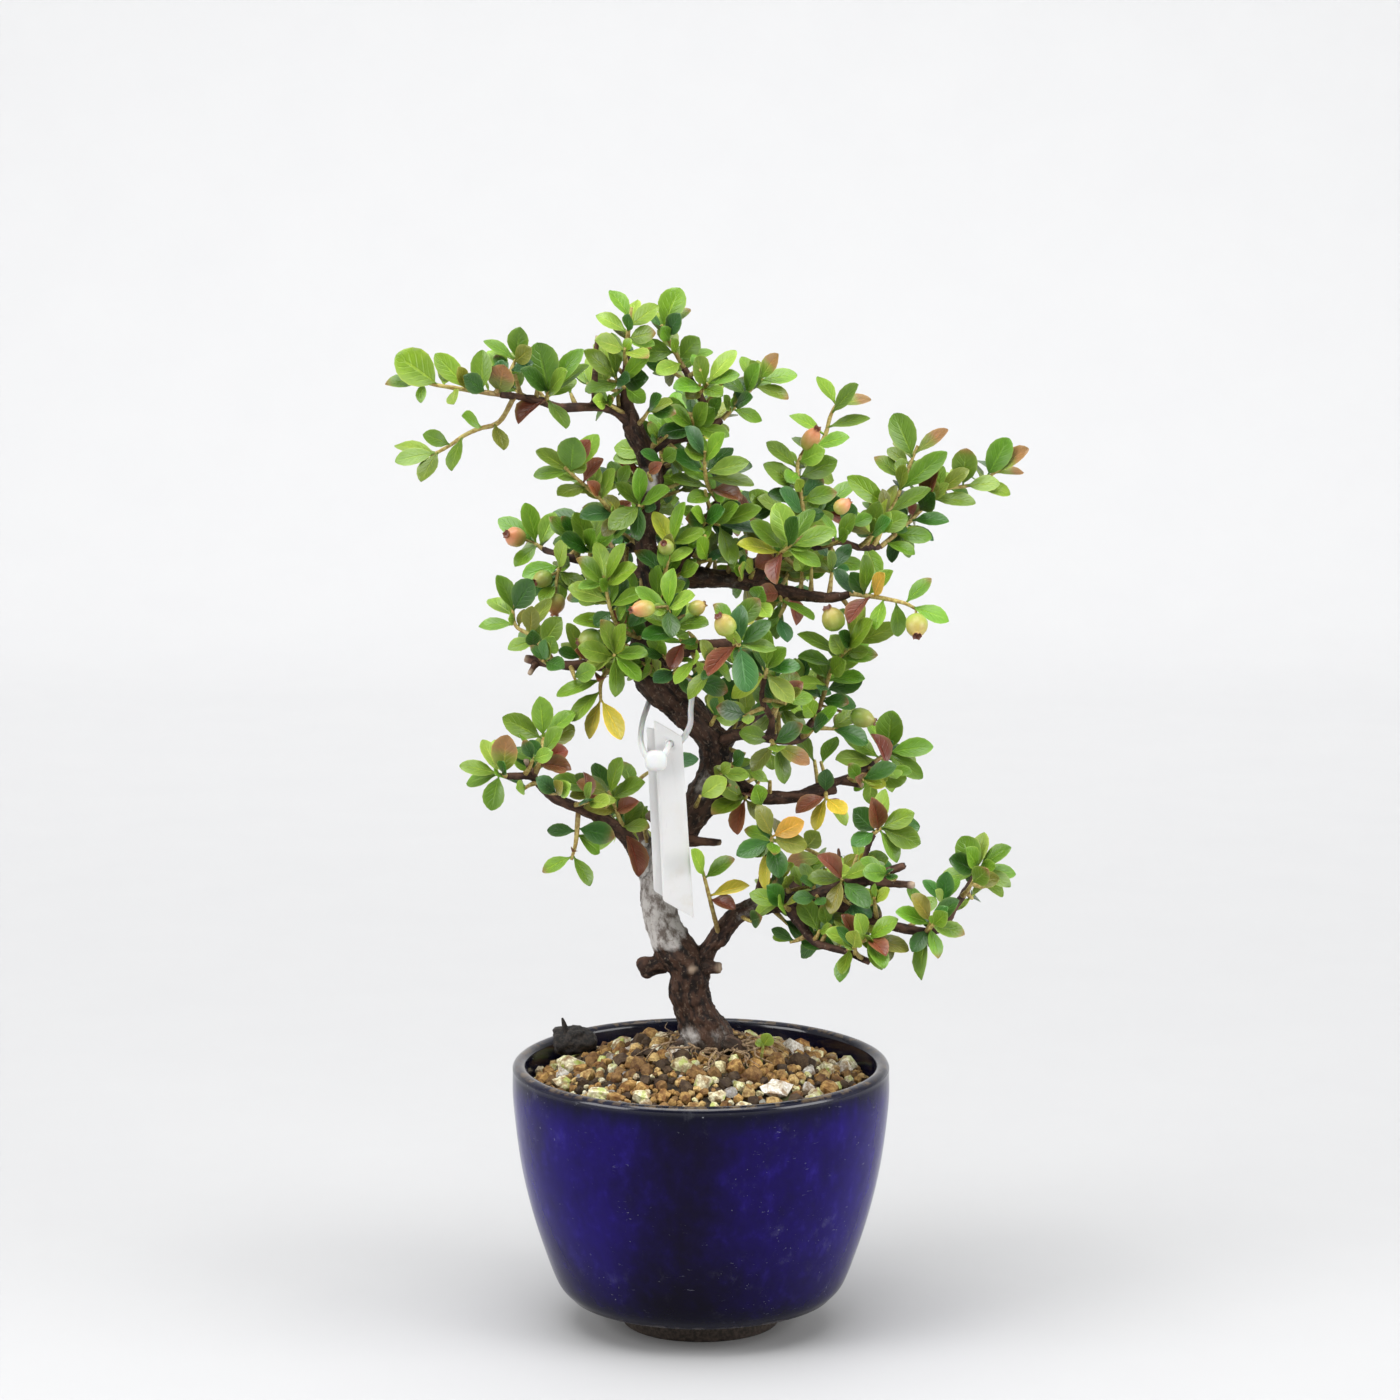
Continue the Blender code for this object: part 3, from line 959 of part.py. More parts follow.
def make_pot(group, cutters):
    outer = [(43.7, RIM_HEIGHT - 0.2), (44.7, RIM_HEIGHT - 0.6)]
    outer += [(radius, height) for height, radius in POT_SIDE]
    foot = [(FOOT_OUTER, FOOT_HEIGHT), (FOOT_OUTER - 0.8, 0), (FOOT_INNER + 0.6, 0),
            (FOOT_INNER, FOOT_HEIGHT), (DRAIN_RADIUS, FOOT_HEIGHT + 0.4)]
    inner = [(DRAIN_RADIUS, FLOOR_TOP), (FLOOR_RADIUS, FLOOR_TOP)]
    inner += [(inner_radius(height), height) for height in INSIDE_HEIGHTS]
    inner += [(42.2, RIM_HEIGHT - 0.1)]
    pot = turned("pot", outer + foot + inner, POT_STEPS, group)
    for i in range(FOOT_SLOTS):
        angle = math.radians(360 * i / FOOT_SLOTS)
        bm = bmesh.new()
        bmesh.ops.create_cube(bm, size=1)
        mesh = bpy.data.meshes.new(f"foot_slot_{i + 1}")
        bm.to_mesh(mesh)
        bm.free()
        depth = FOOT_OUTER - FOOT_INNER + 4
        reach = (FOOT_OUTER + FOOT_INNER) / 2
        mesh.transform(Matrix.Rotation(angle, 4, "Z") @ Matrix.Translation((reach * MM, 0, 0))
                       @ Matrix.Diagonal((depth * MM, SLOT_WIDTH * MM, 2 * SLOT_HEIGHT * MM, 1)))
        slot = make_object(f"foot_slot_{i + 1}", mesh, cutters)
        pot = combine(pot, "DIFFERENCE", "pot", group, other=slot)
        drop(slot)
    return pot


def soil_height(radius):
    """The soil's mound: highest at the trunk, falling to its edge at the wall."""
    share = min(1, radius / (RIM_RADIUS - WALL))
    return SOIL_EDGE + (SOIL_TOP - SOIL_EDGE) * (1 - share ** 2) ** 1.3


# Larger stones that show: across, how far back, half length, half height
STONES = [(17.7, -23, 4.0, 2.4), (-31, 3, 3.9, 2.4), (-33, -9, 2.5, 1.7), (0.5, -23, 2.4, 2.3),
          (22, 10, 3.2, 2.5), (30, -1.5, 2.3, 1.8), (34.4, 5, 2.2, 1.8), (3.6, -29, 2.5, 1.8),
          (-24, -22, 2.6, 1.9), (-14, -27, 2.2, 1.7), (10, -33, 2.4, 1.6), (-19, 14, 2.7, 2.0)]
CAKE_PLACE = (-30.6, 13.5)
CAKE_HALVES = (6.3, 4.4, 4.0)
SEEDLING_PLACE = (14.3, -8.6)


def stone_object(name, across, back, half_length, half_height, draws, group):
    bm = bmesh.new()
    bmesh.ops.create_icosphere(bm, subdivisions=1, radius=1)
    for v in bm.verts:
        v.co *= draws.uniform(0.84, 1.1)
    mesh = bpy.data.meshes.new(name)
    height = soil_height(math.hypot(across, back)) + 0.12 * half_height
    place = Matrix.Translation((across * MM, back * MM, height * MM))
    turn = Matrix.Rotation(draws.uniform(0, math.tau), 4, "Z")
    halves = (half_length * MM, half_length * draws.uniform(0.6, 0.85) * MM, half_height * MM, 1)
    bmesh.ops.transform(bm, matrix=place @ turn @ Matrix.Diagonal(halves), verts=bm.verts[:])
    bm.to_mesh(mesh)
    bm.free()
    return make_object(name, mesh, group)


def make_soil(group, cutters, wood_room):
    """The soil: a mound that fills the pot, with its stones fused, and holes for what stands in it."""
    room = GAP + 0.05
    top = [(radius, soil_height(radius)) for radius in (0.0, 12.0, 22.0, 32.0)]
    heights = (SOIL_EDGE,) + INSIDE_HEIGHTS[-2::-1]
    side = [(inner_radius(height) - room, height) for height in heights]
    floor = FLOOR_TOP + 2 * GAP + NET_THICKNESS
    under = [(inner_radius(floor) - 2 * room, floor), (0.0, floor)]
    soil = turned("soil", top + side + under, POT_STEPS, group)
    draws = random.Random(31)
    for i, (across, back, half, height) in enumerate(STONES):
        stone_object(f"stone_{i}", across, back, half, height, draws, cutters)
    soil = combine(soil, "UNION", "soil", group, repeats=cutters)
    soil = combine(soil, "DIFFERENCE", "soil", group, other=wood_room)
    room = seedling_stem("seedling_room", cutters, GAP)
    soil = combine(soil, "DIFFERENCE", "soil", group, other=room)
    drop(room)
    return soil


def seedling_stem(name, group, grow=0.0):
    across, back = SEEDLING_PLACE
    ground = soil_height(math.hypot(across, back))
    points = [(across, back, ground - 3), (across, back, ground + 1),
              (across + 0.5, back - 0.3, ground + 4.4)]
    return tube(name, points, (0.5, 0.5, 0.4), TWIG_SIDES, group, grow)


def make_seedling(group, repeats):
    across, back = SEEDLING_PLACE
    ground = soil_height(math.hypot(across, back))
    stem = seedling_stem("seedling", group)
    top = Vector((across + 0.45, back - 0.25, ground + 4.0))
    for i, (dx, dy, dz, width) in enumerate([(1.6, -1.2, 3.2, 3.6), (-1.9, -0.8, 1.7, 2.0)]):
        reach = Vector((dx, dy, dz))
        side = reach.cross(Vector((0, -1, 0.5))).normalized()
        leaf = {"base": top, "along": reach.normalized(), "side": side,
                "up": side.cross(reach).normalized(), "length": reach.length, "width": width,
                "fold": 0.15, "arch": 0.06, "wide": i == 0}
        if leaf["up"].z < 0:
            leaf["up"] = -leaf["up"]
            leaf["side"] = -leaf["side"]
        blade_object(f"seedling_leaf_{i}", leaf, repeats)
    return combine(stem, "UNION", "seedling", group, repeats=repeats)


def make_cake(group):
    """A crumbling block of pressed plant feed, let down onto the soil until it all but touches."""
    draws = random.Random(5)
    bm = bmesh.new()
    bmesh.ops.create_icosphere(bm, subdivisions=2, radius=1)
    for v in bm.verts:
        blocky = max(abs(v.co.x), abs(v.co.y), abs(v.co.z)) ** 0.45
        v.co = v.co / blocky * draws.uniform(0.9, 1.06)
        v.co = Vector(v.co[i] * CAKE_HALVES[i] for i in range(3))
    rest = max(soil_height(math.hypot(v.co.x + CAKE_PLACE[0], v.co.y + CAKE_PLACE[1])) - v.co.z
               for v in bm.verts) + GAP + 0.05
    place = Vector((*CAKE_PLACE, rest))
    bmesh.ops.translate(bm, vec=place, verts=bm.verts[:])
    bmesh.ops.scale(bm, vec=(MM, MM, MM), verts=bm.verts[:])
    mesh = bpy.data.meshes.new("fertiliser_cake")
    bm.to_mesh(mesh)
    bm.free()
    return make_object("fertiliser_cake", mesh, group)


NET_SIDE = 22.0
NET_THICKNESS = 0.9
NET_HOLES = 3
NET_BAR = 1.6


def make_net(group):
    """The plastic net over the drain hole: a square plate with square holes."""
    half = NET_SIDE / 2
    outline = [(-half, -half), (half, -half), (half, half), (-half, half)]
    pitch = (NET_SIDE - NET_BAR) / NET_HOLES
    holes = []
    for row in range(NET_HOLES):
        for column in range(NET_HOLES):
            x = -half + NET_BAR + column * pitch
            y = -half + NET_BAR + row * pitch
            far = pitch - NET_BAR
            holes.append([(x, y), (x + far, y), (x + far, y + far), (x, y + far)])
    place = Matrix.Translation((0, 0, (FLOOR_TOP + GAP + NET_THICKNESS / 2) * MM))
    return flat_plate("drain_net", outline, holes, NET_THICKNESS, place, group)


# Corners of the two tags as they show from in front, and the depth of the middle of each
TAG_FRONT = [(-10.8, 148.0), (-4.8, 144.6), (-2.0, 100.2), (-8.7, 104.0)]
TAG_FRONT_DEPTH = -11.4
TAG_BACK = [(-12.6, 146.4), (-6.2, 145.2), (-4.0, 102.0), (-10.9, 106.4)]
TAG_BACK_DEPTH = -9.9
TAG_HOLE_PLACE = (-7.5, 142.2)
TIE_ROUTE = [(-2.3, 156.7, 0.5), (-2.0, 155.4, -4.6), (-2.4, 150.6, -7.0), (-2.6, 146.7, -7.6),
             (-4.8, 142.9, -8.0), (-7.5, 142.2, -8.8),
             (-7.6, 141.8, -12.6), (-8.6, 139.8, -14.2), (-10.6, 138.2, -14.2),
             (-13.0, 139.6, -12.4), (-14.2, 143.0, -8.6), (-13.8, 147.4, -4.4),
             (-12.6, 151.2, 0.5), (-11.6, 153.6, 5.4), (-7.8, 157.6, 6.4), (-4.0, 159.0, 4.4)]


def make_tag(name, corners, depth, group):
    """A tag strip hung at its hole, upright and square to the view from in front."""
    outline = [(seen(x, z, depth).x, seen(x, z, depth).z) for x, z in corners]
    hole = seen(*TAG_HOLE_PLACE, depth)
    place = Matrix.Translation((0, depth * MM, 0)) @ Matrix.Rotation(math.pi / 2, 4, "X")
    return flat_plate(name, outline, [ring_points(hole.x, hole.z, TAG_HOLE, 10)],
                      TAG_THICKNESS, place, group)


def make_tie(group, repeats):
    points = [seen(*row) for row in TIE_ROUTE]
    tie = tube("tag_tie", points, [TIE_RADIUS] * len(points), TWIG_SIDES, group, closed=True)
    head = seen(-10.6, 138.2, -14.4)
    ball("lock_head", head, (0, 1, 0), 5.4, 3.2, repeats, segments=6, rings=4)
    return combine(tie, "UNION", "tag_tie", group, repeats=repeats)


def make_wood(name, group, repeats, grow=0.0):
    """Trunk, branches, twigs and roots as one body, grown by a gap where it cuts its room."""
    trunk = tube(name, *smooth_route(TRUNK, WOOD_STEP), TRUNK_SIDES, group, grow)
    for i, route in enumerate(BRANCHES):
        points, radii = smooth_route(route, WOOD_STEP)
        sides = BRANCH_SIDES if max(radii) >= THICK_BRANCH else TWIG_SIDES
        tube(f"{name}_branch_{i}", points, radii, sides, repeats, grow)
    for i, route in enumerate(TWIGS):
        points, radii = smooth_route(route, WOOD_STEP)
        tube(f"{name}_twig_{i}", points, radii, TWIG_SIDES, repeats, grow)
    return combine(trunk, "UNION", name, group, repeats=repeats)


def make_shoot(name, shoot, group, repeats, wood_room):
    """A leafy shoot: its stems, fruit and leaves as one body, cut off a gap from the wood."""
    node = f"shoot_{name}"
    first, *others = shoot["stems"]
    radii = np.linspace(STEM_RADIUS, STEM_TIP_RADIUS, len(first))
    stem = tube(node, first, radii, TWIG_SIDES, group)
    for i, points in enumerate(others):
        radii = np.linspace(STEM_RADIUS, STEM_TIP_RADIUS, len(points))
        tube(f"{node}_stem_{i}", points, radii, TWIG_SIDES, repeats)
    for i, (base, middle, width, length, _) in enumerate(shoot["fruit"]):
        ball(f"{node}_fruit_{i}", middle, middle - base, width, length, repeats)
        tube(f"{node}_stalk_{i}", [base, middle], (0.45, 0.45), TWIG_SIDES, repeats)
    for i, leaf in enumerate(shoot["leaves"]):
        blade_object(f"{node}_leaf_{i}", leaf, repeats)
    joined = combine(stem, "UNION", node, group, repeats=repeats)
    return combine(joined, "DIFFERENCE", node, group, other=wood_room)


def centre_on_box(group):
    """Moves every piece so that the middle of the model's box stands over the origin."""
    corners = np.array([v.co[:] for item in group.objects for v in item.data.vertices])
    low, high = corners.min(axis=0), corners.max(axis=0)
    shift = Matrix.Translation((-(low[0] + high[0]) / 2, -(low[1] + high[1]) / 2, 0))
    for item in group.objects:
        item.data.transform(shift)


def main():
    clear_scene()
    group = collection("cotoneaster_bonsai")
    cutters = collection("cutters")
    finishes = {
        "pot": material("blue_glaze", (0.02, 0.02, 0.16), 0.18),
        "soil": material("soil", (0.22, 0.14, 0.07), 0.95),
        "wood": material("bark", (0.09, 0.065, 0.045), 0.85),
        "tag": material("white_plastic", (0.8, 0.8, 0.78), 0.45),
        "cake": material("dark_feed", (0.02, 0.018, 0.015), 0.9),
        "net": material("black_plastic", (0.02, 0.02, 0.02), 0.5),
        "leaf": material("leaf", (0.15, 0.3, 0.05), 0.5),
    }
    plan = plan_shoots()
    wood = make_wood("wood", group, cutters)
    wood_room = make_wood("wood_room", group, cutters, GAP)
    group.objects.unlink(wood_room)
    rooms = collection("rooms")
    rooms.objects.link(wood_room)
    wood_room.hide_render = True
    wood_room.display_type = "WIRE"
    pieces = {
        "wood": wood,
        "pot": make_pot(group, cutters),
        "soil": make_soil(group, cutters, wood_room),
        "cake": make_cake(group),
        "net": make_net(group),
    }
    for key, item in pieces.items():
        item.data.materials.append(finishes[key])
    tags = [make_tag("tag_front", TAG_FRONT, TAG_FRONT_DEPTH, group),
            make_tag("tag_back", TAG_BACK, TAG_BACK_DEPTH, group), make_tie(group, cutters)]
    for item in tags:
        item.data.materials.append(finishes["tag"])
    leafy = [make_seedling(group, cutters)]
    for name, shoot in plan.items():
        leafy.append(make_shoot(name, shoot, group, cutters, wood_room))
    for item in leafy:
        item.data.materials.append(finishes["leaf"])
    drop(wood_room)
    centre_on_box(group)
    for item in group.objects:
        item.data.set_sharp_from_angle(angle=math.radians(40))


if __name__ == "__main__":
    main()
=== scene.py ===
"""The look of a small cotoneaster bonsai in its round blue glazed pot.

Every size is in millimetres from the middle of the pot's foot until a piece is made, when it is
moved to the pot's axis and turned into metres. A place on the tree is given as it shows from in
front: how far across and how high it is seen on the upright plane through the pot's axis, and how
far behind that plane it lies (less than nothing is in front of it).
"""
import math
import random

import bpy
import numpy as np
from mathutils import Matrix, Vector
from mathutils.bvhtree import BVHTree


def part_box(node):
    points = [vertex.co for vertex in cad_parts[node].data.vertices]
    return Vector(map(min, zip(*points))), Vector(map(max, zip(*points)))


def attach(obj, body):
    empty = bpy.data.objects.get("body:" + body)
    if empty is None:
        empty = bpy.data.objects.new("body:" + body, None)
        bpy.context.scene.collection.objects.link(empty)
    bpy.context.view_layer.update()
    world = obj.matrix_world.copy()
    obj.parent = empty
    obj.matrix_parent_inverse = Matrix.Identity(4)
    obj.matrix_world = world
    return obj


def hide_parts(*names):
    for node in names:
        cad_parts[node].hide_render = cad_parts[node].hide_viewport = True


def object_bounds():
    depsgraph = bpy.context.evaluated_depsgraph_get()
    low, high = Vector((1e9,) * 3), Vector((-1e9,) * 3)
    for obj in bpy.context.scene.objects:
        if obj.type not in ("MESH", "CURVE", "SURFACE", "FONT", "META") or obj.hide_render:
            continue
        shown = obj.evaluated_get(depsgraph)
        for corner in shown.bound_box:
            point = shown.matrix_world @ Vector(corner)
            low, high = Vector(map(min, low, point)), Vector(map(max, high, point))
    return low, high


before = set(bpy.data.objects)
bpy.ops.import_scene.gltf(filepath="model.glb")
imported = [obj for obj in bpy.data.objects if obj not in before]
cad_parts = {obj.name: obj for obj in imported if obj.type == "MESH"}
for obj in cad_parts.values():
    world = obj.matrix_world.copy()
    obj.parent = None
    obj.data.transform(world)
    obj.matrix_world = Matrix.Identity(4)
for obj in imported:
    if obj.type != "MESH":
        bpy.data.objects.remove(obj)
cad_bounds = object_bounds()

MM = 0.001
POT_LOW, POT_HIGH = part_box("pot")
POT_AXIS = np.array([(POT_LOW[0] + POT_HIGH[0]) / 2, (POT_LOW[1] + POT_HIGH[1]) / 2, 0.0])
BOX_LOW, BOX_HIGH = ((np.array(corner) - POT_AXIS) / MM for corner in cad_bounds)

# The eye that the places are seen from, in front of the pot's axis, and the camera there
EYE_BACK = 1039.0
EYE_HEIGHT = 327.0
SEEN_FOOT = 1.6               # the height, as seen, of the surface that the pot stands on
CAMERA_ACROSS = -0.23
CAMERA_DOWN = 9.523
CAMERA_SENSOR = 36
CAMERA_LENS = 115.1

# The pot
RIM_RADIUS = 45.0
RIM_HEIGHT = 64.0
WALL = 3.9
FLOOR_TOP = 9.0
DRAIN_RADIUS = 6.0
FOOT_OUTER = 19.6
FOOT_INNER = 14.8
FOOT_HEIGHT = 5.4
FOOT_SLOTS = 2
SLOT_WIDTH = 6.0
SLOT_HEIGHT = 1.8
FLOOR_RADIUS = 26.0
POT_SIDE = [(62.7, 45.0), (60.8, 45.0), (54.2, 44.9), (41.2, 43.4), (30.5, 41.2),
            (20.6, 38.3), (11.0, 34.7), (7.2, 31.6), (6.0, 27.0)]

# The soil
SOIL_EDGE = 58.6
SOIL_TOP = 67.4
STONES = [(17.7, -23, 4.0, 2.4), (-31, 3, 3.9, 2.4), (-33, -9, 2.5, 1.7), (0.5, -23, 2.4, 2.3),
          (22, 10, 3.2, 2.5), (30, -1.5, 2.3, 1.8), (34.4, 5, 2.2, 1.8), (3.6, -29, 2.5, 1.8),
          (-24, -22, 2.6, 1.9), (-14, -27, 2.2, 1.7), (10, -33, 2.4, 1.6), (-19, 14, 2.7, 2.0)]
CAKE_PLACE = (-30.6, 13.5)
SEEDLING_PLACE = (14.3, -8.6)

# The tree
WOOD_STEP = 9.0               # between rings of the wood that leaves keep clear of, at most
BLADE_THICKNESS = 0.66        # of a leaf in the frame's solids, which the clearances allow for
LAST_SHARE = 0.93             # of a stem, where the leaves at its end stand
STEM_RADIUS = 0.6
CORE_RADIUS = 0.5             # of a berry, at its stalk
WIDE_FROM = 6.0               # a leaf that shows this wide is broad past its middle
LEAF_LEAST = 7.2
LEAF_MOST = 10.5
LEAF_CLEAR = 0.35
INNER_SHARE = 0.3             # of a leaf's length, which may touch its own shoot's leaves
SOIL_ROOM = 3                 # between a leaf and the top of the soil
BOX_ROOM = 0.5                # between a finer leaf and the frame's box
LEAVES_PER_GAP = 3            # every so many of a shoot's leaves is left out of the frame's solids
TAG_ROOMS = [((-6.8, -10.6, 145.3), (-5.2, -10.6, 99.3), 4.4),
             ((-9, -8, 151.3), (-9, -8, 137.3), 5.2)]


# Each row is one piece of wood: across, height, depth, radius
TRUNK = [(0, 50, 0, 6.0), (1, 60, 0, 6.3), (2, 68, 0, 6.5), (1, 72, 0, 5.9), (-0.6, 76, 0, 5.2),
         (-2.5, 82, 0, 4.9), (-3, 87.5, 0, 5.2), (-6, 92.5, 0, 5.0), (-9, 98, 0, 4.4),
         (-10.4, 104, 0, 3.9), (-10.6, 111, 0, 3.7), (-8.5, 117.5, 0, 3.7), (-4, 123, 0, 3.8),
         (-0.2, 128.5, 0, 4.0), (3, 135, 0, 4.4), (3.2, 141.5, 0, 4.1), (-2, 149, 0, 4.1),
         (-8.5, 155, 0, 4.3), (-13, 160.5, 1, 4.0), (-12.6, 168, 2, 3.4), (-11, 176, 2, 3.1),
         (-11.5, 184, 2, 2.9), (-13, 191, 2, 2.7), (-12.3, 198, 2, 2.7), (-11.2, 204.5, 1, 2.6),
         (-13, 211, 0, 2.4), (-15.8, 217, 0, 2.2), (-17.1, 223, 0, 1.6), (-17.4, 229.5, 0, 1.1),
         (-17.2, 236, 0, 0.8)]
BRANCHES = [
    # upper left
    [(-16, 218, 0, 1.8), (-21, 221.5, -1, 1.3), (-27, 221.8, -2, 1.2), (-33, 221.7, -2, 1.1),
     (-37, 223.2, -3, 1.0), (-42, 224.2, -4, 0.9), (-47, 224.8, -5, 0.8)],
    # the long dark one across the middle
    [(-11, 179, 2, 2.6), (-5, 181.2, 2, 2.5), (1, 181.7, 3, 2.3), (9, 181, 4, 2.0),
     (18.5, 178.6, 5, 1.7), (30, 177, 6, 1.3), (35, 178, 6, 1.0)],
    [(-6, 181, 2, 1.9), (-2.6, 189.3, 2, 1.4), (0.9, 195, 3, 1.1), (4, 199.9, 3, 0.9)],
    # behind the crown, and up to the right of the apex
    [(-13.5, 211.5, 0, 1.9), (-8, 214, 3, 1.5), (-1, 215.5, 5, 1.3), (5, 219, 5, 1.0)],
    [(-1, 215.5, 5, 1.2), (1.4, 219.5, 5, 1.1), (-0.5, 225, 4, 0.9), (-4, 231, 3, 0.8)],
    # upper right
    [(11, 180.7, 4, 1.5), (17, 185.5, 4, 1.3), (21, 188.5, 4, 1.2), (28, 189.3, 4, 1.1),
     (32.5, 190.4, 5, 1.0), (37, 188.8, 6, 0.9), (42, 189, 7, 0.8)],
    # towards the front
    [(-11, 159, 0, 2.4), (-5, 163.5, -8, 1.8), (0, 165.5, -14, 1.6), (8, 166.2, -20, 1.2)],
    # the cut branch at the left
    [(-12, 159.5, 0, 2.0), (-19, 160.3, -2, 1.5), (-26, 161, -4, 1.3), (-33, 161, -5, 1.2),
     (-41.5, 162.5, -5, 1.1)],
    # left, in the middle
    [(-11.5, 183, 2, 1.8), (-18, 183.5, 4, 1.4), (-24, 185, 5, 1.2), (-31, 186.5, 5, 1.0),
     (-37, 188.5, 5, 0.8)],
    # right, below the middle
    [(2, 141, 0, 2.4), (8, 144.3, -3, 1.7), (16, 143.5, -5, 1.4), (23.2, 143.5, -3, 1.2),
     (26.7, 147.9, 0, 1.0), (27.8, 150.5, 0, 0.9)],
    [(16, 143.5, -5, 1.1), (16.8, 148, -7, 0.9), (14.3, 152.8, -12, 0.8), (15, 158, -14, 0.7)],
    [(2.5, 136, 0, 2.4), (8, 133, 0, 2.0), (13.8, 129.6, -1, 1.8), (20.8, 129.2, -1, 1.6),
     (26.7, 130.4, -1, 1.5), (32, 131.6, -2, 1.4)],
    [(24, 129.9, -1, 1.2), (28, 132, 0, 1.1), (32.5, 133.3, 1, 1.0), (37.2, 135.2, 2, 0.9),
     (40.7, 137.7, 2, 0.8)],
    # left, low
    [(-10.5, 109, 0, 2.8), (-14, 114.5, -1, 2.2), (-17.8, 120, -2, 1.9), (-22.5, 124, -3, 1.6),
     (-28.3, 126.5, -3, 1.4), (-34.2, 129, -3, 1.3), (-37.7, 132, -3, 1.1),
     (-40, 134.3, -3, 1.0), (-46, 134.5, -3, 0.8)],
    # the heavy low limb at the right, its upper and its lower fork
    [(-1.8, 87, 0, 2.9), (2, 92.6, -1, 2.3), (4.7, 96.4, -2, 2.3), (9.2, 101.4, -3, 2.4),
     (14, 103.2, -4, 2.6), (19, 104, -5, 2.6), (24, 104.6, -5, 2.3), (30.2, 106.5, -5, 2.0),
     (36, 108.5, -5, 1.8), (39.5, 109.6, -5, 1.5), (48.4, 113.1, -6, 0.9)],
    [(24, 104, -5, 2.0), (33.7, 103, -4, 1.7), (39.5, 100.4, -3, 1.5), (46.6, 98, -1, 1.3),
     (53.6, 96.8, 1, 1.2), (57.8, 98.5, 3, 1.1), (59.4, 101.7, 4, 1.0), (61.8, 105.3, 5, 0.9),
     (64.8, 110.5, 5, 0.8)],
    [(20.5, 103.5, -6, 1.8), (24.3, 98, -8, 1.4), (27, 94.4, -8, 1.1), (34.9, 91.9, -8, 0.9),
     (40.2, 89.5, -8, 0.9)],
    # to the back, hidden from in front
    [(-11, 206, 1, 1.8), (-8, 209, 10, 1.4), (-6, 212, 18, 1.0)],
    [(-12, 187, 2, 2.0), (-15, 189, 11, 1.6), (-20, 188, 19, 1.1)],
    [(9, 181, 4, 1.6), (14, 186, 11, 1.3), (19, 189, 17, 1.0)],
    [(3, 138.5, 0, 2.2), (9, 146, 10, 1.7), (16, 151, 18, 1.1)],
    [(-10.6, 112, 0, 2.2), (-13, 119, 9, 1.6), (-16, 126, 18, 1.1)],
    [(16, 104.6, -5, 2.2), (22, 108, 6, 1.6), (28, 109, 15, 1.1)],
]
TWIGS = [
    # dead and cut twigs
    [(-24.8, 221.6, -1.5, 0.9), (-24.6, 230, -1.5, 0.8), (-24.1, 238.7, -2, 0.6)],
    [(39.5, 109.4, -5, 1.3), (45, 108.6, -6, 1.1), (50.5, 108.2, -7, 1.0)],
    [(33, 133.3, 1, 0.9), (38.5, 132.2, 0, 0.8)],
    [(-1, 127, 0, 1.2), (6.2, 126.3, -3, 0.8)],
    [(-8, 119, 0, 1.3), (-1, 118.7, -4, 1.1), (5, 118.5, -4, 0.9)],
    [(-5, 90, 0, 2.8), (-14.2, 87.8, -1, 1.9)],
    [(-3, 88.5, 0, 2.4), (4.6, 88.2, -4, 1.4)],
    [(-7, 121, 0, 1.8), (-12.5, 125.5, -2, 1.2)],
    [(-38.9, 133.5, -3, 0.9), (-41.4, 138.4, -4, 0.8)],
    [(-33, 128.6, -3, 0.9), (-32, 133.2, -5, 0.8)],
    [(-38.5, 162, -5, 0.9), (-40.4, 158.8, -6, 0.8)],
    [(-3, 160.5, -4, 1.0), (-1, 161.4, -13, 0.8)],
    [(13, 103.5, -4.5, 1.2), (14.6, 111, -8, 0.9), (16.6, 118.4, -9, 0.7)],
    [(32, 107, -5, 0.9), (32.7, 113.5, -7, 0.7), (32.5, 117.3, -8, 0.6)],
    [(38, 109, -5, 1.0), (38.8, 115, -7, 0.8), (40.7, 120.6, -9, 0.7)],
    # roots that run into the soil
    [(3, 71, -2, 2.6), (8, 68.8, -4, 1.8), (12.5, 65.0, -6, 1.1)],
    [(-1, 71, 0, 2.7), (-5.5, 68.8, -2, 1.9), (-9.5, 65.2, -3.5, 1.2)],
    [(2.5, 71, 2, 2.6), (5, 69.4, 7, 1.8), (8, 66.0, 11, 1.1)],
]

# How far a limb's end sweeps back (or forwards, less than nothing) at each height
SWEEP_FROM = 12.0
SWEEP_TO = 62.0
LEFT_SWEEP = [(110, -22), (140, -24), (165, 8), (190, 26), (205, 4), (225, -26), (245, -20)]
RIGHT_SWEEP = [(85, -26), (105, -22), (125, -2), (142, 24), (160, 4), (176, -24), (190, 18),
               (210, 28), (240, 10)]

# Half widths of a leaf at shares of its length, as shares of its width
WIDE_BLADE = [(0.22, 0.36), (0.55, 0.5), (0.86, 0.3)]
NARROW_BLADE = [(0.34, 0.46), (0.78, 0.4)]

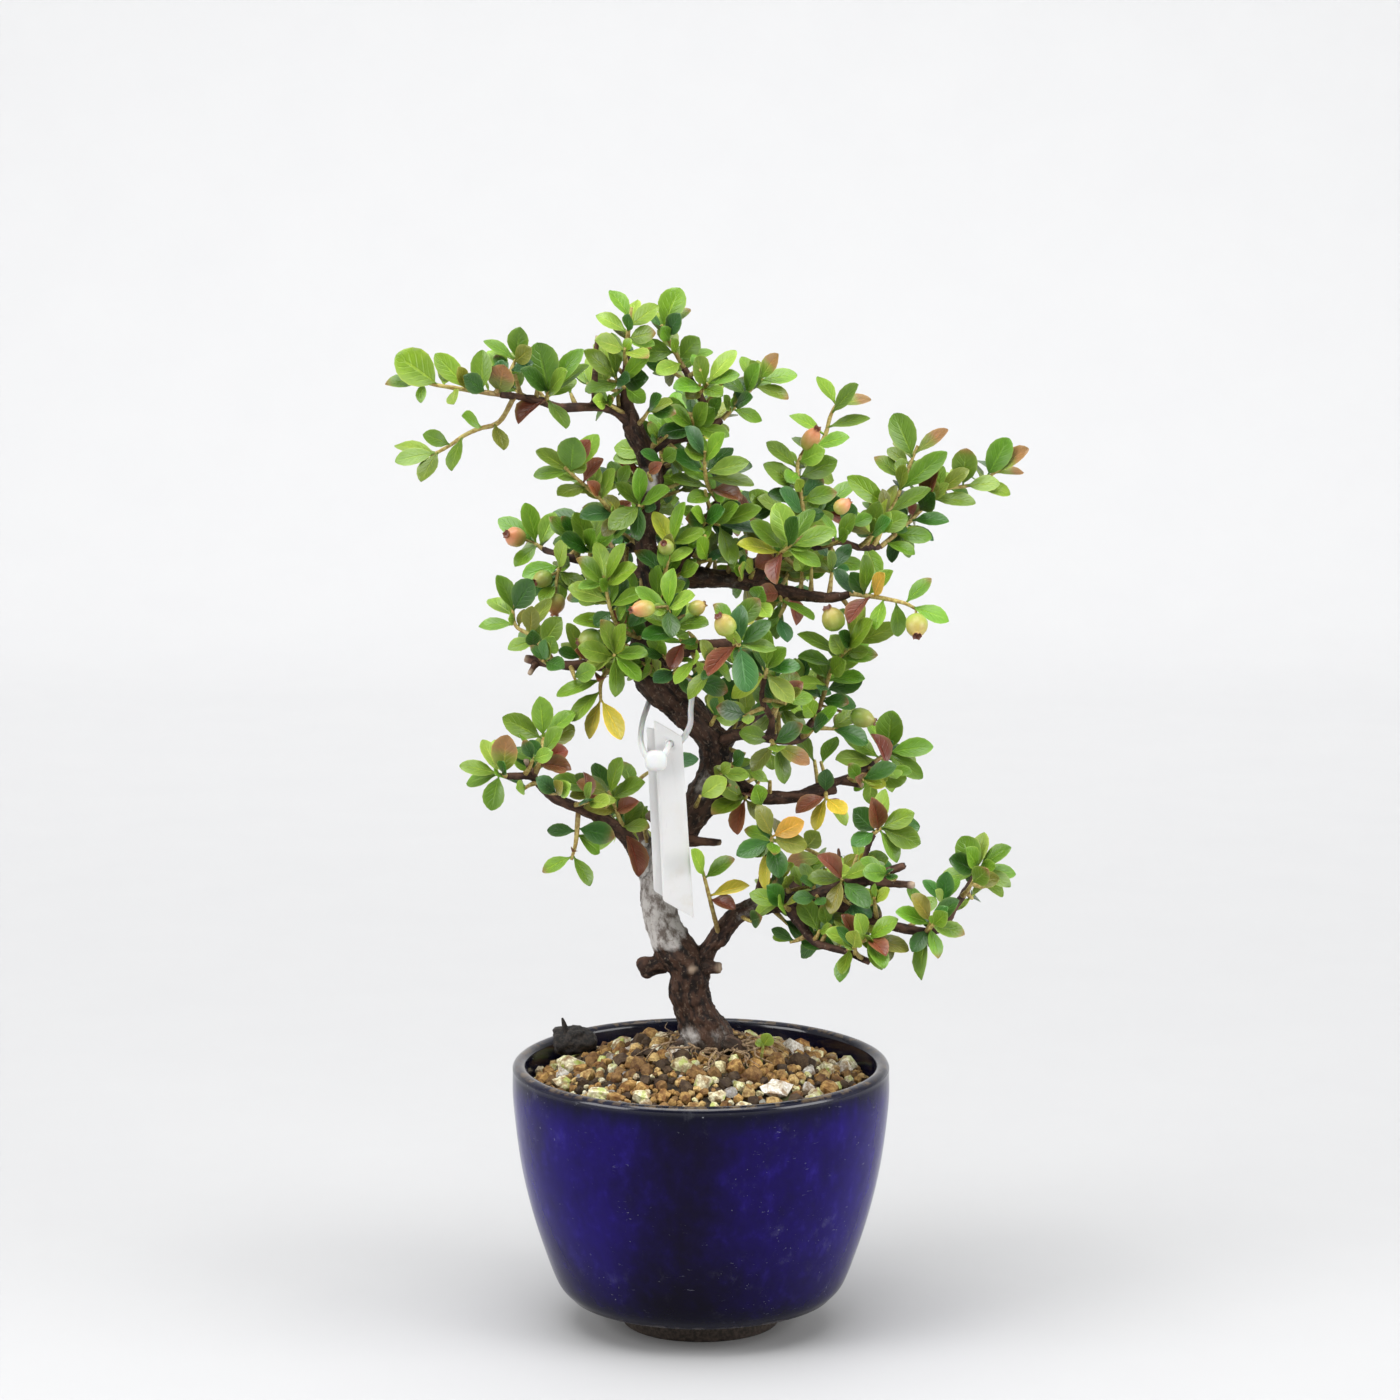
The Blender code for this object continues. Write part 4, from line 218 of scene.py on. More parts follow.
# Tones: g green, l light green, d dark green, b bluish, v olive, k lime, y yellow, a amber,
# o turning brown at its tip, r dead
# A shoot is its stem (across, height, depth) and its leaves: share along the stem, the tip's
# across and height, how far the tip lies behind the base, the width that shows, and the tone.
# A fruit is the share, its middle's across and height, depth from the base, width, length, tone.
SHOOTS = {
    "upper_left_tip": [
        ([(-47, 224.8, -5), (-54, 225.8, -5), (-61, 226.9, -5), (-66, 228, -5)],
         [(0.75, -70.9, 234, -2, 8.4, "g"), (1, -73.5, 227.2, -2, 2.4, "g"),
          (0.4, -61.8, 234.3, 2, 5, "g"), (0.22, -50.8, 235.2, 1, 5, "g"),
          (0.18, -55.2, 229.1, -7, 4.6, "d"), (0, -45.9, 231.5, -5, 6.4, "o"),
          (0.95, -65.5, 222.4, -6, 2.4, "g"), (0.55, -57.6, 222.5, -6, 2.4, "l"),
          (0.7, -58, 231, 7, 4.6, "l")], []),
        ([(-48, 225, -5), (-45, 229, -5), (-42.8, 233.5, -4)],
         [(1, -50.5, 237.3, 0, 2.1, "g"), (0.95, -41.9, 240.5, -2, 5, "g"),
          (0.6, -37.2, 232, 5, 4, "g")], [])],
    "upper_left_fan": [
        ([(-36, 222.8, -3), (-35.6, 225.6, -6)],
         [(1, -38, 236.9, -4, 7.6, "g"), (0.9, -27.4, 235.2, -3, 4.2, "g"),
          (0.5, -26, 231.6, -1, 2.3, "g"), (0.9, -41.8, 230.8, -8, 3.6, "d"),
          (0.4, -44.6, 221.5, -5, 2.1, "g"), (0.3, -42.5, 218.2, -4, 4.8, "r"),
          (0.6, -31, 230.5, -7, 3.3, "l"), (0.3, -31.4, 216.8, -6, 2.6, "g")], [])],
    "left_hanging": [
        ([(-43.5, 224.2, -4.5), (-47, 218.4, -8), (-51.7, 216.8, -10), (-55.2, 215.2, -11),
          (-58.7, 212.8, -12), (-63, 210.4, -12)],
         [(0.42, -55.7, 219.8, -6, 2.2, "g"), (0.75, -64.8, 215.5, -3, 3.8, "g"),
          (0.6, -58.2, 206.9, -4, 2.6, "g"), (1, -71.4, 209, -2, 3.8, "l"),
          (0.95, -71.6, 212.6, 3, 2, "g"), (0.9, -65.4, 204.4, -5, 3.8, "g"),
          (0.3, -46, 211.8, -5, 3, "v")], [])],
    "left_upper": [
        ([(-13, 195.5, 1), (-20.1, 197, -3), (-23.6, 200.4, -6), (-27.1, 203.4, -8),
          (-31.8, 207.7, -10)],
         [(0.92, -29.5, 214.8, -4, 7, "g"), (1, -38.6, 211.4, -3, 3, "g"),
          (0.95, -39.1, 205.7, -1, 2.8, "g"), (0.6, -26.4, 210.5, 4, 4.2, "g"),
          (0.5, -20.1, 207.4, -4, 2.8, "l"), (0.75, -22.8, 209.8, 1, 3.2, "r"),
          (0.3, -28.3, 196, -6, 3.8, "b"), (0.7, -33.6, 201.2, -6, 3, "g")], [])],
    "apex_left": [
        ([(-17.2, 226, 0), (-20, 228.8, -3)],
         [(1, -27.2, 235.2, -3, 4.2, "g"), (0.9, -20.8, 239.2, -1, 2.8, "g"),
          (0.8, -24.6, 236.8, 5, 3.3, "l"), (0.6, -12, 234, -6, 3.6, "g"),
          (0.4, -12.2, 228.6, -8, 5.2, "d"), (0.5, -26.8, 225.6, -5, 3, "g")], [])],
    "apex_top": [
        ([(-17.2, 236, 0), (-16.8, 240, -1), (-16.1, 245.1, -1)],
         [(0.2, -10.5, 239.2, -4, 4.4, "g"), (0.5, -9.8, 245.4, -1, 4.2, "g"),
          (0.35, -24.4, 243.2, 1, 3.2, "l"), (0.7, -21.2, 249, 3, 3, "g")], [])],
    "crown_tip": [
        ([(-4, 231, 3), (-7, 236.5, 2), (-9.2, 241, 1)],
         [(0.95, -4.9, 249.6, 1, 6.4, "g"), (1, -2.4, 244.6, 3, 2.4, "g"),
          (0.35, -14.6, 235, 1, 5.6, "g"), (0.2, -0.4, 238, -2, 5.2, "g"),
          (0.6, -11.5, 244.5, 6, 3, "l"), (0.15, 2.8, 234.6, -1, 2, "g"),
          (0.1, -10.5, 229.8, -6, 4, "l")], [])],
    "crown_right": [
        ([(-0.4, 225, 4), (1.6, 227.4, 1)],
         [(1, 8.2, 235, 3, 3.6, "l"), (0.9, 9, 229.3, -2, 2.8, "g"),
          (0.5, 5, 224.4, -7, 3.4, "g"), (0.6, -6.4, 226.2, -6, 3.4, "g"),
          (0.7, -1.2, 233.6, -7, 4, "g")], [])],
    "crown_low": [
        ([(-0.6, 216.2, 5), (-1.6, 217, 1)],
         [(1, -8, 221.6, -5, 3.8, "g"), (0.8, -9.4, 215.4, -5, 4.2, "d"),
          (0.9, 6.6, 215, -4, 3.4, "g"), (0.6, 0.8, 208.8, -6, 3.4, "g"),
          (0.9, 1.4, 222.8, -7, 3.8, "g")], [])],
    "crown_twig": [
        ([(5, 219, 5), (8, 222.2, 5), (10.3, 224.6, 5), (14.3, 228.6, 5)],
         [(0.6, 13.6, 232, -5, 3.3, "g"), (0.6, 4.4, 229, 2, 3.3, "g"),
          (0.8, 9.4, 233.6, 3, 3, "l"), (1, 18, 234.3, -2, 3.3, "o"),
          (1, 22.4, 229.3, 1, 3.3, "g"), (0.8, 20.4, 223.8, -2, 2.8, "g"),
          (0.25, 14.2, 218.6, 0, 3, "g"), (0.3, 12, 224.2, -7, 3, "d")], [])],
    "middle_top": [
        ([(4, 199.9, 3), (1.8, 203, 1), (0.9, 207, -2), (0.9, 211.5, -4)],
         [(0.3, -7.2, 205.3, -1, 2, "g"), (0.6, 11.2, 208.9, -2, 4.2, "l"),
          (0.5, 12.4, 203.6, -1, 2.6, "g"), (0.6, -6.8, 211.4, -3, 3.6, "d"),
          (0.15, -3.2, 199.8, -5, 3.5, "g"), (0.25, 9.6, 200.2, -5, 3.6, "r"),
          (0.8, 5.6, 215.6, -6, 3, "g"), (0.9, -3.8, 217.2, -3, 3, "b")], [])],
    "middle_hanging": [
        ([(0.9, 195.1, 3), (4.4, 194.2, 0)],
         [(1, 7.6, 184.6, -3, 4.2, "g"), (0.9, 14.2, 198.2, -2, 3.5, "g"),
          (0.8, 14, 192.6, -1, 2.2, "b"), (0.7, 8.8, 198.6, -6, 3, "g"),
          (0.6, -2.4, 188.4, -6, 3, "g")], [])],
    "right_upper": [
        ([(24.5, 189, 4), (23.9, 197.5, 5), (22.5, 207, 7), (23.2, 210.5, 8)],
         [(0.6, 14.6, 208.6, -1, 4.2, "g"), (0.85, 15.2, 213.6, 1, 3, "g"),
          (0.75, 31.8, 209.4, -2, 5.4, "g"), (0.95, 31, 204.6, 6, 4, "l"),
          (0.5, 31.8, 201.8, -2, 4.4, "g"), (0.5, 15.6, 201.6, -2, 3.2, "d"),
          (0.35, 18.4, 202.6, -6, 3, "b")],
         [(1, 25.6, 214.4, -3, 4.2, 6.6, "o")]),
        ([(23.2, 210.2, 8), (28.3, 214, 9), (30.2, 219.9, 10), (32.1, 223.4, 10)],
         [(0.5, 20.6, 219.9, 1, 2.1, "g"), (0.6, 39.4, 219.2, 0, 2.1, "g"),
          (1, 39.6, 223.6, 2, 2.2, "o"), (0.95, 27, 229, 3, 2.6, "g"),
          (0.8, 36.6, 227.2, -4, 3, "g"), (0.25, 34.6, 214.8, -3, 3, "g")], [])],
    "right_top": [
        ([(37.5, 188.9, 6), (42, 194.2, 7), (45.4, 199.9, 7), (47.3, 204.6, 7), (50.5, 212.8, 7)],
         [(0.45, 34.1, 205.6, -2, 5, "g"), (0.9, 44.9, 220.4, -1, 6.6, "g"),
          (1, 57.6, 216.6, 0, 2.4, "o"), (0.62, 57.4, 211.4, -1, 5, "g"),
          (0.72, 40.4, 210.2, 2, 3.3, "g"), (0.3, 37.4, 197.2, -2, 2.8, "g"),
          (0.4, 53.6, 203.2, 2, 2.8, "g"), (0.15, 36, 193.6, -1, 3.3, "d"),
          (0.25, 40, 202.6, 6, 3.4, "l"), (0.05, 41.4, 181.8, -2, 4.4, "g")], [])],
    "right_outer": [
        ([(42, 189, 7.5), (47.7, 194, 8), (51.2, 197.5, 8), (55.9, 202.2, 8), (64.1, 203.9, 8),
          (70.7, 207.9, 8)],
         [(0.72, 62, 212.2, -1, 6.2, "g"), (0.45, 55.6, 207.6, -5, 3.4, "r"),
          (0.5, 64.2, 199.4, -2, 3, "g"), (0.88, 71.8, 214.6, -1, 6, "g"),
          (1, 76.4, 212.2, -3, 3, "o"), (1, 77.5, 206.5, 2, 2.1, "o"),
          (0.8, 72.3, 201.4, -1, 2.8, "g"), (0.3, 58, 195, -1, 2.8, "d"),
          (0.15, 54, 191.2, -1, 4, "g"), (0.05, 50.1, 187.3, -2, 2.4, "g"),
          (0.4, 48.8, 203.4, -5, 3, "g"), (0.62, 63.2, 208.6, 6, 3.2, "l")], [])],
    "middle_fan": [
        ([(17.4, 185.7, 4), (18.5, 187.4, 0), (21, 189.4, -4)],
         [(1, 17.6, 199.4, -2, 6.2, "l"), (0.7, 11.6, 195, -3, 4, "g"),
          (1, 26.4, 197.4, 1, 3.5, "g"), (1, 31.6, 192.6, -2, 4.2, "g"),
          (0.8, 28, 184.4, -3, 2.8, "g"), (0.5, 8.4, 189.6, -5, 2.8, "k"),
          (0.6, 17.6, 180.2, -7, 3, "r"), (0.9, 22.6, 196, -8, 3, "d")],
         [(1, 33, 198.6, 1, 3.6, 4.2, "o")])],
    "middle_tip": [
        ([(35, 178, 6), (42, 177, 7), (47.5, 175.8, 7), (50.4, 174.4, 7)],
         [(0.85, 54, 181.6, 1, 3, "g"), (0.7, 46.2, 167.8, 1, 3.8, "g"),
          (1, 58.2, 171.4, -1, 3.2, "g"), (0.25, 45, 183.4, -2, 2.6, "g"),
          (0.05, 31, 183.6, -3, 3, "b"), (0.2, 38.2, 187.2, -6, 3, "g"),
          (0.3, 34.6, 170.8, -3, 3, "r"), (0.5, 41, 169.4, -4, 3, "g")],
         [(1, 50.6, 170.4, -4, 5.2, 5.8, "y")])],
    "middle_low": [
        ([(18.5, 178.4, 5), (18.8, 176, 3)],
         [(1, 17.6, 167.2, 1, 3.2, "g"), (0.9, 11, 171.6, -2, 3.6, "v"),
          (0.8, 26.4, 172.4, -2, 3, "g")], [])],
    "left_tip": [
        ([(-37, 188.5, 5), (-39, 190, 4)],
         [(0.8, -41.2, 199.4, 1, 4.2, "g"), (1, -47.4, 195.6, 3, 4.2, "g"),
          (0.4, -34, 197.4, 3, 4.6, "l"), (0.6, -43.6, 184.4, -4, 3.4, "g")],
         [(1, -43.5, 191.4, -4, 4.8, 5.2, "o")])],
    "left_middle": [
        ([(-26, 185.4, 5), (-26, 188.6, 2)],
         [(1, -29.6, 197.2, 1, 4.2, "g"), (0.9, -22.6, 197, 2, 2.8, "g"),
          (0.7, -19.4, 192.6, -4, 3, "g"), (0.8, -32.6, 191.8, -5, 3.4, "d"),
          (0.6, -24.8, 193, -8, 3, "g")], [])],
    "left_low": [
        ([(-32, 186.4, 5), (-33.5, 183, 2), (-34, 179.5, 0)],
         [(0.3, -41.9, 182, -2, 4.2, "g"), (0.7, -42.2, 176.8, -1, 3, "d"),
          (0.5, -27.2, 179, -4, 3.4, "g"), (0.4, -31.4, 190.6, -7, 3, "l")],
         [(0.5, -37.2, 181.4, -4, 4.2, 5, "g"), (1, -34.2, 175.6, 0, 4.8, 5, "o")])],
    "left_front": [
        ([(-34, 161, -5), (-36.5, 164.5, -7), (-40, 168.1, -8), (-43.5, 170.4, -9),
          (-44.2, 175.1, -9)],
         [(0.95, -39.4, 181.2, -4, 6, "d"), (1, -47.8, 182.4, 1, 3.3, "g"),
          (0.75, -52.2, 170.2, 0, 2.4, "g"), (0.3, -32.8, 172.4, -3, 5.4, "g"),
          (0.55, -35, 176.8, 2, 3, "l"), (0.4, -45.4, 164.8, -2, 3, "g"),
          (0.85, -50, 176.6, 5, 3, "l")], [])],
    "trunk_left": [
        ([(-13, 167, 1), (-18, 169, -6), (-20.8, 172.8, -10), (-22.9, 182.2, -12)],
         [(0.45, -30, 171.6, -2, 2.8, "g"), (0.75, -31.2, 179.4, -1, 4.2, "l"),
          (1, -24.6, 190, 2, 3, "l"), (1, -17.8, 189.8, -3, 2.2, "g"),
          (0.9, -15, 184.4, -5, 3.6, "g"), (0.7, -13, 178.2, -5, 2.8, "g"),
          (0.9, -29.2, 186.2, -4, 3.2, "g")],
         [(0.35, -26, 167, -2, 5.4, 5.6, "g")])],
    "trunk_front": [
        ([(-11, 174, 2), (-10, 176, -5)],
         [(1, -9.8, 184.6, -4, 2.6, "g"), (0.9, -3.6, 180.6, -3, 3.3, "g"),
          (0.8, -16.6, 170.4, -3, 3, "d")], []),
        ([(-10, 176, -5), (-8.2, 184, -7), (-6.6, 190.6, -6)],
         [(1, -3.8, 199.6, -1, 2.2, "g"), (0.95, 1, 192.8, -2, 2.8, "g")],
         [(0.8, -8.2, 189, -3, 3.8, 4.2, "g")])],
    "trunk_upper": [
        ([(-12.5, 198.5, 2), (-14.5, 198.8, -4)],
         [(1, -7.2, 202.4, -5, 2.8, "g"), (0.8, -20, 204, -1, 2.8, "g"),
          (1, -14.8, 207.6, -3, 3, "g"), (0.9, -14.6, 190.4, -4, 3.4, "d"),
          (0.8, -21.4, 193.6, -2, 3.6, "g")], [])],
    "front_up": [
        ([(-3, 164.6, -11), (-6, 169.6, -17), (-8, 175, -21)],
         [(0.95, -6.8, 167.6, -6, 4.2, "d"), (0.8, -15.4, 179.4, -1, 3, "g"),
          (1, -1.4, 177.6, -5, 2.8, "l"), (1, -6.4, 184, -1, 3, "g"),
          (0.6, 1.8, 170.8, -5, 2.4, "g"), (0.4, -14, 167.6, -5, 3, "d")],
         [(1, -13.6, 174.4, -3, 4, 5.8, "o"), (0.7, -0.9, 174.6, 0, 3.6, 4, "y")])],
    "front_tip": [
        ([(7, 166.1, -19.5), (9.4, 165.6, -22)],
         [(0.8, 9.4, 175.4, 1, 4.2, "b"), (1, 17.8, 164.8, 0, 2.4, "g"),
          (1, 10.8, 154.6, -2, 6.2, "b"), (0.9, 16.4, 171.4, 1, 3.8, "d"),
          (0.6, 1.6, 158.4, -4, 3.6, "r")],
         [(0.9, 5.6, 170.6, -3, 5, 5.4, "y")])],
    "front_left": [
        ([(-20.5, 160.4, -2.5), (-20, 162.8, -9), (-20.4, 163.4, -14)],
         [(0.6, -28.8, 165.8, -3, 3.5, "l"), (1, -23.6, 171.8, -2, 2.8, "l"),
          (0.9, -17.6, 170.6, -5, 2.8, "g"), (1, -12.4, 163.6, -4, 2.8, "g"),
          (0.8, -28.6, 158, -2, 2.2, "l"), (1, -20.2, 153.4, -3, 3, "g"),
          (1, -14.4, 157.2, -5, 3, "g")], []),
        ([(-20.1, 162.2, -7), (-23.4, 157.4, -8), (-23.6, 152.2, -9)],
         [(0.5, -34, 153.7, -3, 2.4, "g"), (0.75, -30.6, 147.6, -2, 3, "g"),
          (1, -18.8, 143.2, -1, 4, "y"), (1, -26.4, 143.4, -1, 2.6, "y")], [])],
    "right_middle": [
        ([(27.8, 150.5, 0), (29.2, 155, 0), (30.2, 158.7, 0), (32.1, 162.2, 0), (36.7, 166.9, 0)],
         [(1, 37.7, 176.6, 1, 3.8, "l"), (1, 46.6, 170.4, -2, 4.4, "g"),
          (0.72, 22.6, 168.4, -2, 2.4, "g"), (0.55, 22.8, 163.2, -1, 2.4, "g"),
          (0.65, 41.6, 163.4, -2, 3.4, "g"), (0.35, 38.6, 157.8, -2, 2.6, "g"),
          (0.3, 22.4, 156.6, -2, 3, "l"), (0.1, 34.8, 152, -4, 3.4, "d"),
          (0.8, 40, 172.4, -6, 3, "g")],
         [(0.85, 31, 172, -2, 5.4, 5.8, "y"), (0.05, 38, 148.4, -2, 4.6, 5.8, "g")])],
    "front_right": [
        ([(15, 158, -14), (15.6, 160.4, -15)],
         [(1, 15.8, 169.4, 0, 3.3, "g"), (0.3, 7.2, 153.2, -1, 3.6, "k"),
          (0.4, 21.6, 152, -3, 4.4, "l"), (0.8, 23.4, 160.6, -1, 3, "d")], [])],
    "right_inner": [
        ([(16.2, 143.4, -5), (17.6, 141.8, -9)],
         [(1, 19.8, 132.6, -1, 3.3, "g"), (0.8, 12, 135.6, -2, 3.2, "v"),
          (0.9, 25.6, 137.4, -2, 3.6, "o"), (0.7, 24, 146.8, -4, 4, "d")], [])],
    "right_cluster": [
        ([(40.7, 137.7, 2), (43, 139.4, 1), (44.4, 140.4, 0)],
         [(0.4, 33.4, 144.2, -3, 3.5, "g"), (0.2, 31.6, 139.2, -3, 3.6, "l"),
          (1, 45, 150.2, -2, 6.6, "g"), (1, 54.8, 141.6, -1, 4.4, "g"),
          (0.8, 52.4, 134, -2, 4.2, "g"), (0.5, 45.2, 130.6, -2, 3, "g"),
          (0.3, 37.4, 131.2, -6, 3, "r"), (0.7, 39.4, 148, 4, 3, "g")], [])],
    "right_below": [
        ([(11, 131, -0.5), (10.4, 128.8, -4)],
         [(1, 3.4, 132.6, -4, 4.2, "g"), (0.9, 8.6, 120.4, -2, 3.6, "r"),
          (1, 15.4, 123.4, -3, 3.6, "v"), (0.8, 2.6, 125.2, -6, 3, "g")], [])],
    "right_thin": [
        ([(29.4, 131, -1.5), (29.6, 129, -4)],
         [(1, 34.4, 122.6, -2, 2.2, "l"), (0.8, 27, 121.4, -2, 2.6, "y"),
          (0.7, 22.4, 125.6, -3, 3.4, "r")], [])],
    "low_twig": [
        ([(16.6, 118.4, -9), (16.8, 120, -9.4)],
         [(1, 13, 127.4, -2, 4, "v"), (1, 24.4, 123.6, -1, 4.8, "a"),
          (0.6, 25.2, 117.4, -2, 4.8, "v"), (0.3, 8.4, 115.4, -3, 4.4, "d"),
          (0.2, 18.6, 109.8, -5, 5, "d")], [])],
    "low_left_tip": [
        ([(-46, 134.5, -3), (-48, 135, -3)],
         [(0.4, -45.6, 144.4, -2, 6.2, "o"), (1, -57, 137, -1, 2.8, "g"),
          (1, -55.4, 132.6, 2, 2.8, "g"), (0.8, -49.6, 126.2, -1, 5.2, "g"),
          (0.9, -51.6, 143.2, 3, 3, "l")], [])],
    "low_left_up": [
        ([(-39.5, 134, -3), (-37.7, 138.7, -3), (-37.2, 144.5, -3)],
         [(0.9, -46.8, 148.6, -2, 5.4, "g"), (1, -38, 153.6, -2, 5, "g"),
          (1, -29.7, 149.8, 1, 3.3, "g"), (0.5, -32.6, 145.8, -4, 2.8, "g"),
          (0.35, -44.6, 139.8, -1, 2.4, "g"), (0.45, -31.4, 140.2, -1, 4.2, "r"),
          (0.3, -30.6, 136, -4, 3.6, "r")], [])],
    "low_left_twig": [
        ([(-17.1, 119, -2), (-19, 123.6, -4), (-21.8, 130.9, -6)],
         [(1, -29.4, 133, -1, 3, "o"), (1, -18.8, 139, -1, 2.8, "g"),
          (0.85, -13.2, 133, -3, 3, "g"), (0.6, -27.6, 127.8, -1, 3.2, "v"),
          (0.6, -14.6, 128.4, -5, 3.6, "r"), (0.3, -12.2, 122, -5, 2.6, "l")], [])],
    "low_left_hanging": [
        ([(-29, 126, -3), (-29.6, 118.7, -4), (-30.7, 114.3, -4)],
         [(1, -37.6, 111.4, -1, 3, "g"), (0.9, -26.2, 108, -2, 2.6, "g"),
          (0.4, -36.4, 121.4, 1, 3, "d"), (0.45, -24, 116, 3, 3, "g")], [])],
    "low_right_tip": [
        ([(64.8, 110.5, 5), (65.6, 112.2, 5)],
         [(0.6, 61.6, 120, 0, 6.2, "g"), (1, 67, 121, 3, 3.5, "l"),
          (1, 73.4, 117.4, -2, 2.6, "g"), (0.8, 74.6, 110.8, 0, 3, "g"),
          (0.3, 71.6, 105.4, -1, 2.2, "g"), (0.2, 56.6, 109.6, -1, 2.4, "g"),
          (0.5, 58.8, 114.6, -6, 4.6, "d")], [])],
    "low_right_fork": [
        ([(53.6, 97, 1), (54.6, 99.4, -1)],
         [(1, 61.2, 104.6, -5, 3.4, "d"), (1, 50, 106, -2, 3.4, "v"),
          (0.7, 62.6, 96.2, -4, 3.3, "g"), (0.5, 56.4, 90.4, -3, 2.8, "g"),
          (0.7, 46.2, 101.8, -3, 3, "g")], [])],
    "low_right_upper": [
        ([(34, 107.8, -5), (33.4, 109.8, -9)],
         [(1, 41.2, 112.8, -2, 2.6, "g"), (0.8, 25.2, 109.8, -1, 2.8, "g"),
          (0.9, 30.8, 101.2, -3, 3.4, "v"), (0.7, 39.8, 103.6, -4, 3.3, "d"),
          (0.7, 27.6, 115.4, -2, 3.4, "r")], [])],
    "low_right_hanging": [
        ([(34.5, 92, -8), (37.4, 94.2, -9), (40, 95.2, -9)],
         [(1, 46.8, 100, -2, 3.2, "g"), (1, 49.4, 92.4, -1, 3, "v"),
          (0.9, 43, 87.6, -4, 3.4, "g"), (0.4, 33.4, 101.2, -2, 3, "r"),
          (0.2, 33, 84.6, -3, 2.8, "g"), (0.5, 29.6, 96.8, -3, 3.2, "l")], [])],
    "low_right_twig": [
        ([(40.7, 120.6, -9), (42.6, 122, -9)],
         [(0.3, 36, 126.6, -3, 5.6, "d"), (1, 52, 118.2, -2, 5.6, "g"),
          (1, 50.4, 126, 0, 4.4, "g"), (0.8, 43.6, 131.4, 0, 3, "l"),
          (0.6, 40.2, 129.8, -6, 4.6, "r"), (0.8, 46.4, 113.6, -2, 3, "g"),
          (0.2, 35.6, 117.8, -5, 3.6, "d")], [])],
    "low_middle_twig": [
        ([(4.2, 96.4, -3.2), (2.8, 102, -7.4), (1.4, 107.7, -9), (0.4, 111.6, -9)],
         [(1, -2.6, 119, -2, 2.8, "l"), (0.6, 8.2, 102.4, -3, 3, "r"),
          (0.9, 8, 114.6, -2, 3, "g"), (0.5, -5.8, 106.2, -3, 2.8, "g")], [])],
}

# The shoots at the back grow by a rule: the wood's end that each starts from, and where it ends
BACK_SHOOTS = {
    "back_crown": ((-6, 212, 18), [(-2, 222, 32), (-15, 207, 33), (3, 207, 24)]),
    "back_left": ((-20, 188, 19), [(-27, 195, 36), (-22, 177, 32), (-11, 196, 30)]),
    "back_right": ((19, 189, 17), [(29, 198, 28), (20, 177, 36), (9, 198, 30)]),
    "back_middle": ((16, 151, 18), [(28, 157, 26), (16, 139, 34), (4, 161, 28)]),
    "back_low_left": ((-16, 126, 18), [(-26, 131, 28), (-9, 137, 34), (-18, 121, 32)]),
    "back_low_right": ((28, 109, 15), [(38, 113, 26), (30, 96, 32), (17, 119, 28)]),
}
BACK_LEAF_STEP = 14.0         # between leaves along a stem that grows by the rule
BACK_LEAF_WIDTH = 3.2
BACK_DROOP = 0.35

# Single leaves that show beside the shoots above: the tip's across and height, width and tone
LOOSE_TIPS = [(-24.6, 218.2, 4, "g"), (11.5, 232.8, 3, "g"), (13.1, 232.4, 3, "l"),
              (7.5, 203, 3.5, "b"), (43, 184.5, 3, "a"), (44.7, 185.3, 2.4, "b"),
              (48.9, 186.2, 3.3, "g"), (12.6, 184.5, 5, "r"), (26.7, 199.2, 4, "d"),
              (32.5, 200.6, 4, "d"), (-30.7, 185, 4, "g"), (-37.7, 176.3, 3, "g"),
              (-45.2, 172, 3, "l"), (-26.7, 188.1, 2.8, "g"), (-12.4, 197, 2.8, "g"),
              (-4.9, 198, 3, "g"), (-25, 170.4, 4, "d"), (-7.2, 160, 4, "r"),
              (18, 141, 4.2, "l"), (29.7, 136.2, 4, "b"), (13, 130, 4, "r"), (12.6, 115, 3, "g"),
              (17.3, 116.3, 3, "g"), (11.5, 107.7, 1.6, "y"), (15.4, 107, 1.6, "y"),
              (39, 115.8, 1, "y"), (32, 124.8, 4, "r"), (-31.4, 135.7, 4, "r"),
              (-31, 129.6, 3, "v"), (-23.6, 125.5, 3.5, "g"), (-16.6, 133.8, 3, "d"),
              (-14.7, 110.2, 4, "r"), (-30.4, 116.3, 2, "r"), (45.9, 90, 6.5, "v"),
              (40, 96.3, 3, "l"), (37.2, 93.9, 5, "r"), (43.8, 91.9, 3, "r"), (25, 106.5, 3, "r"),
              (17.5, 102.2, 1.9, "k"), (55.9, 91.9, 2.8, "g"), (52.4, 85.1, 1.9, "g"),
              (33.2, 87.1, 2.8, "g"), (41.9, 123, 3, "g"), (-26, 214, 4.5, "r"),
              (-20, 207, 4.5, "r"), (-16, 204, 4, "r"), (0.5, 192, 3.5, "r"),
              (12.5, 178, 4.5, "r"), (-3, 213, 3, "r"),
              (-27, 209, 4.5, "g"), (-24, 215, 4, "l"), (-13, 223, 4, "g"), (6, 201, 4.5, "g"),
              (12, 208, 4, "d"), (20, 204.5, 4.5, "g"), (16, 200, 4, "l"), (30.5, 190, 4.5, "g"),
              (35, 183, 4, "d"), (40, 188, 4, "g"), (45, 208.5, 4, "g"), (9, 145, 4.5, "g"),
              (17, 136, 4, "l"), (8, 133, 4, "g"), (13, 148, 4, "d"), (58, 141, 4, "g"),
              (51, 137, 4, "l"), (62, 119, 4, "g"), (52, 121.5, 4, "d"), (20.5, 122, 4.5, "y"),
              (34, 126, 4.5, "y"), (28, 121, 5, "l"), (70, 114, 4, "g"), (74, 108.5, 3.5, "g"),
              (44, 88.5, 4, "g"), (50, 92.5, 4, "d")]
LOOSE_REACH = 13              # from the nearest stem to a loose leaf's tip, at most

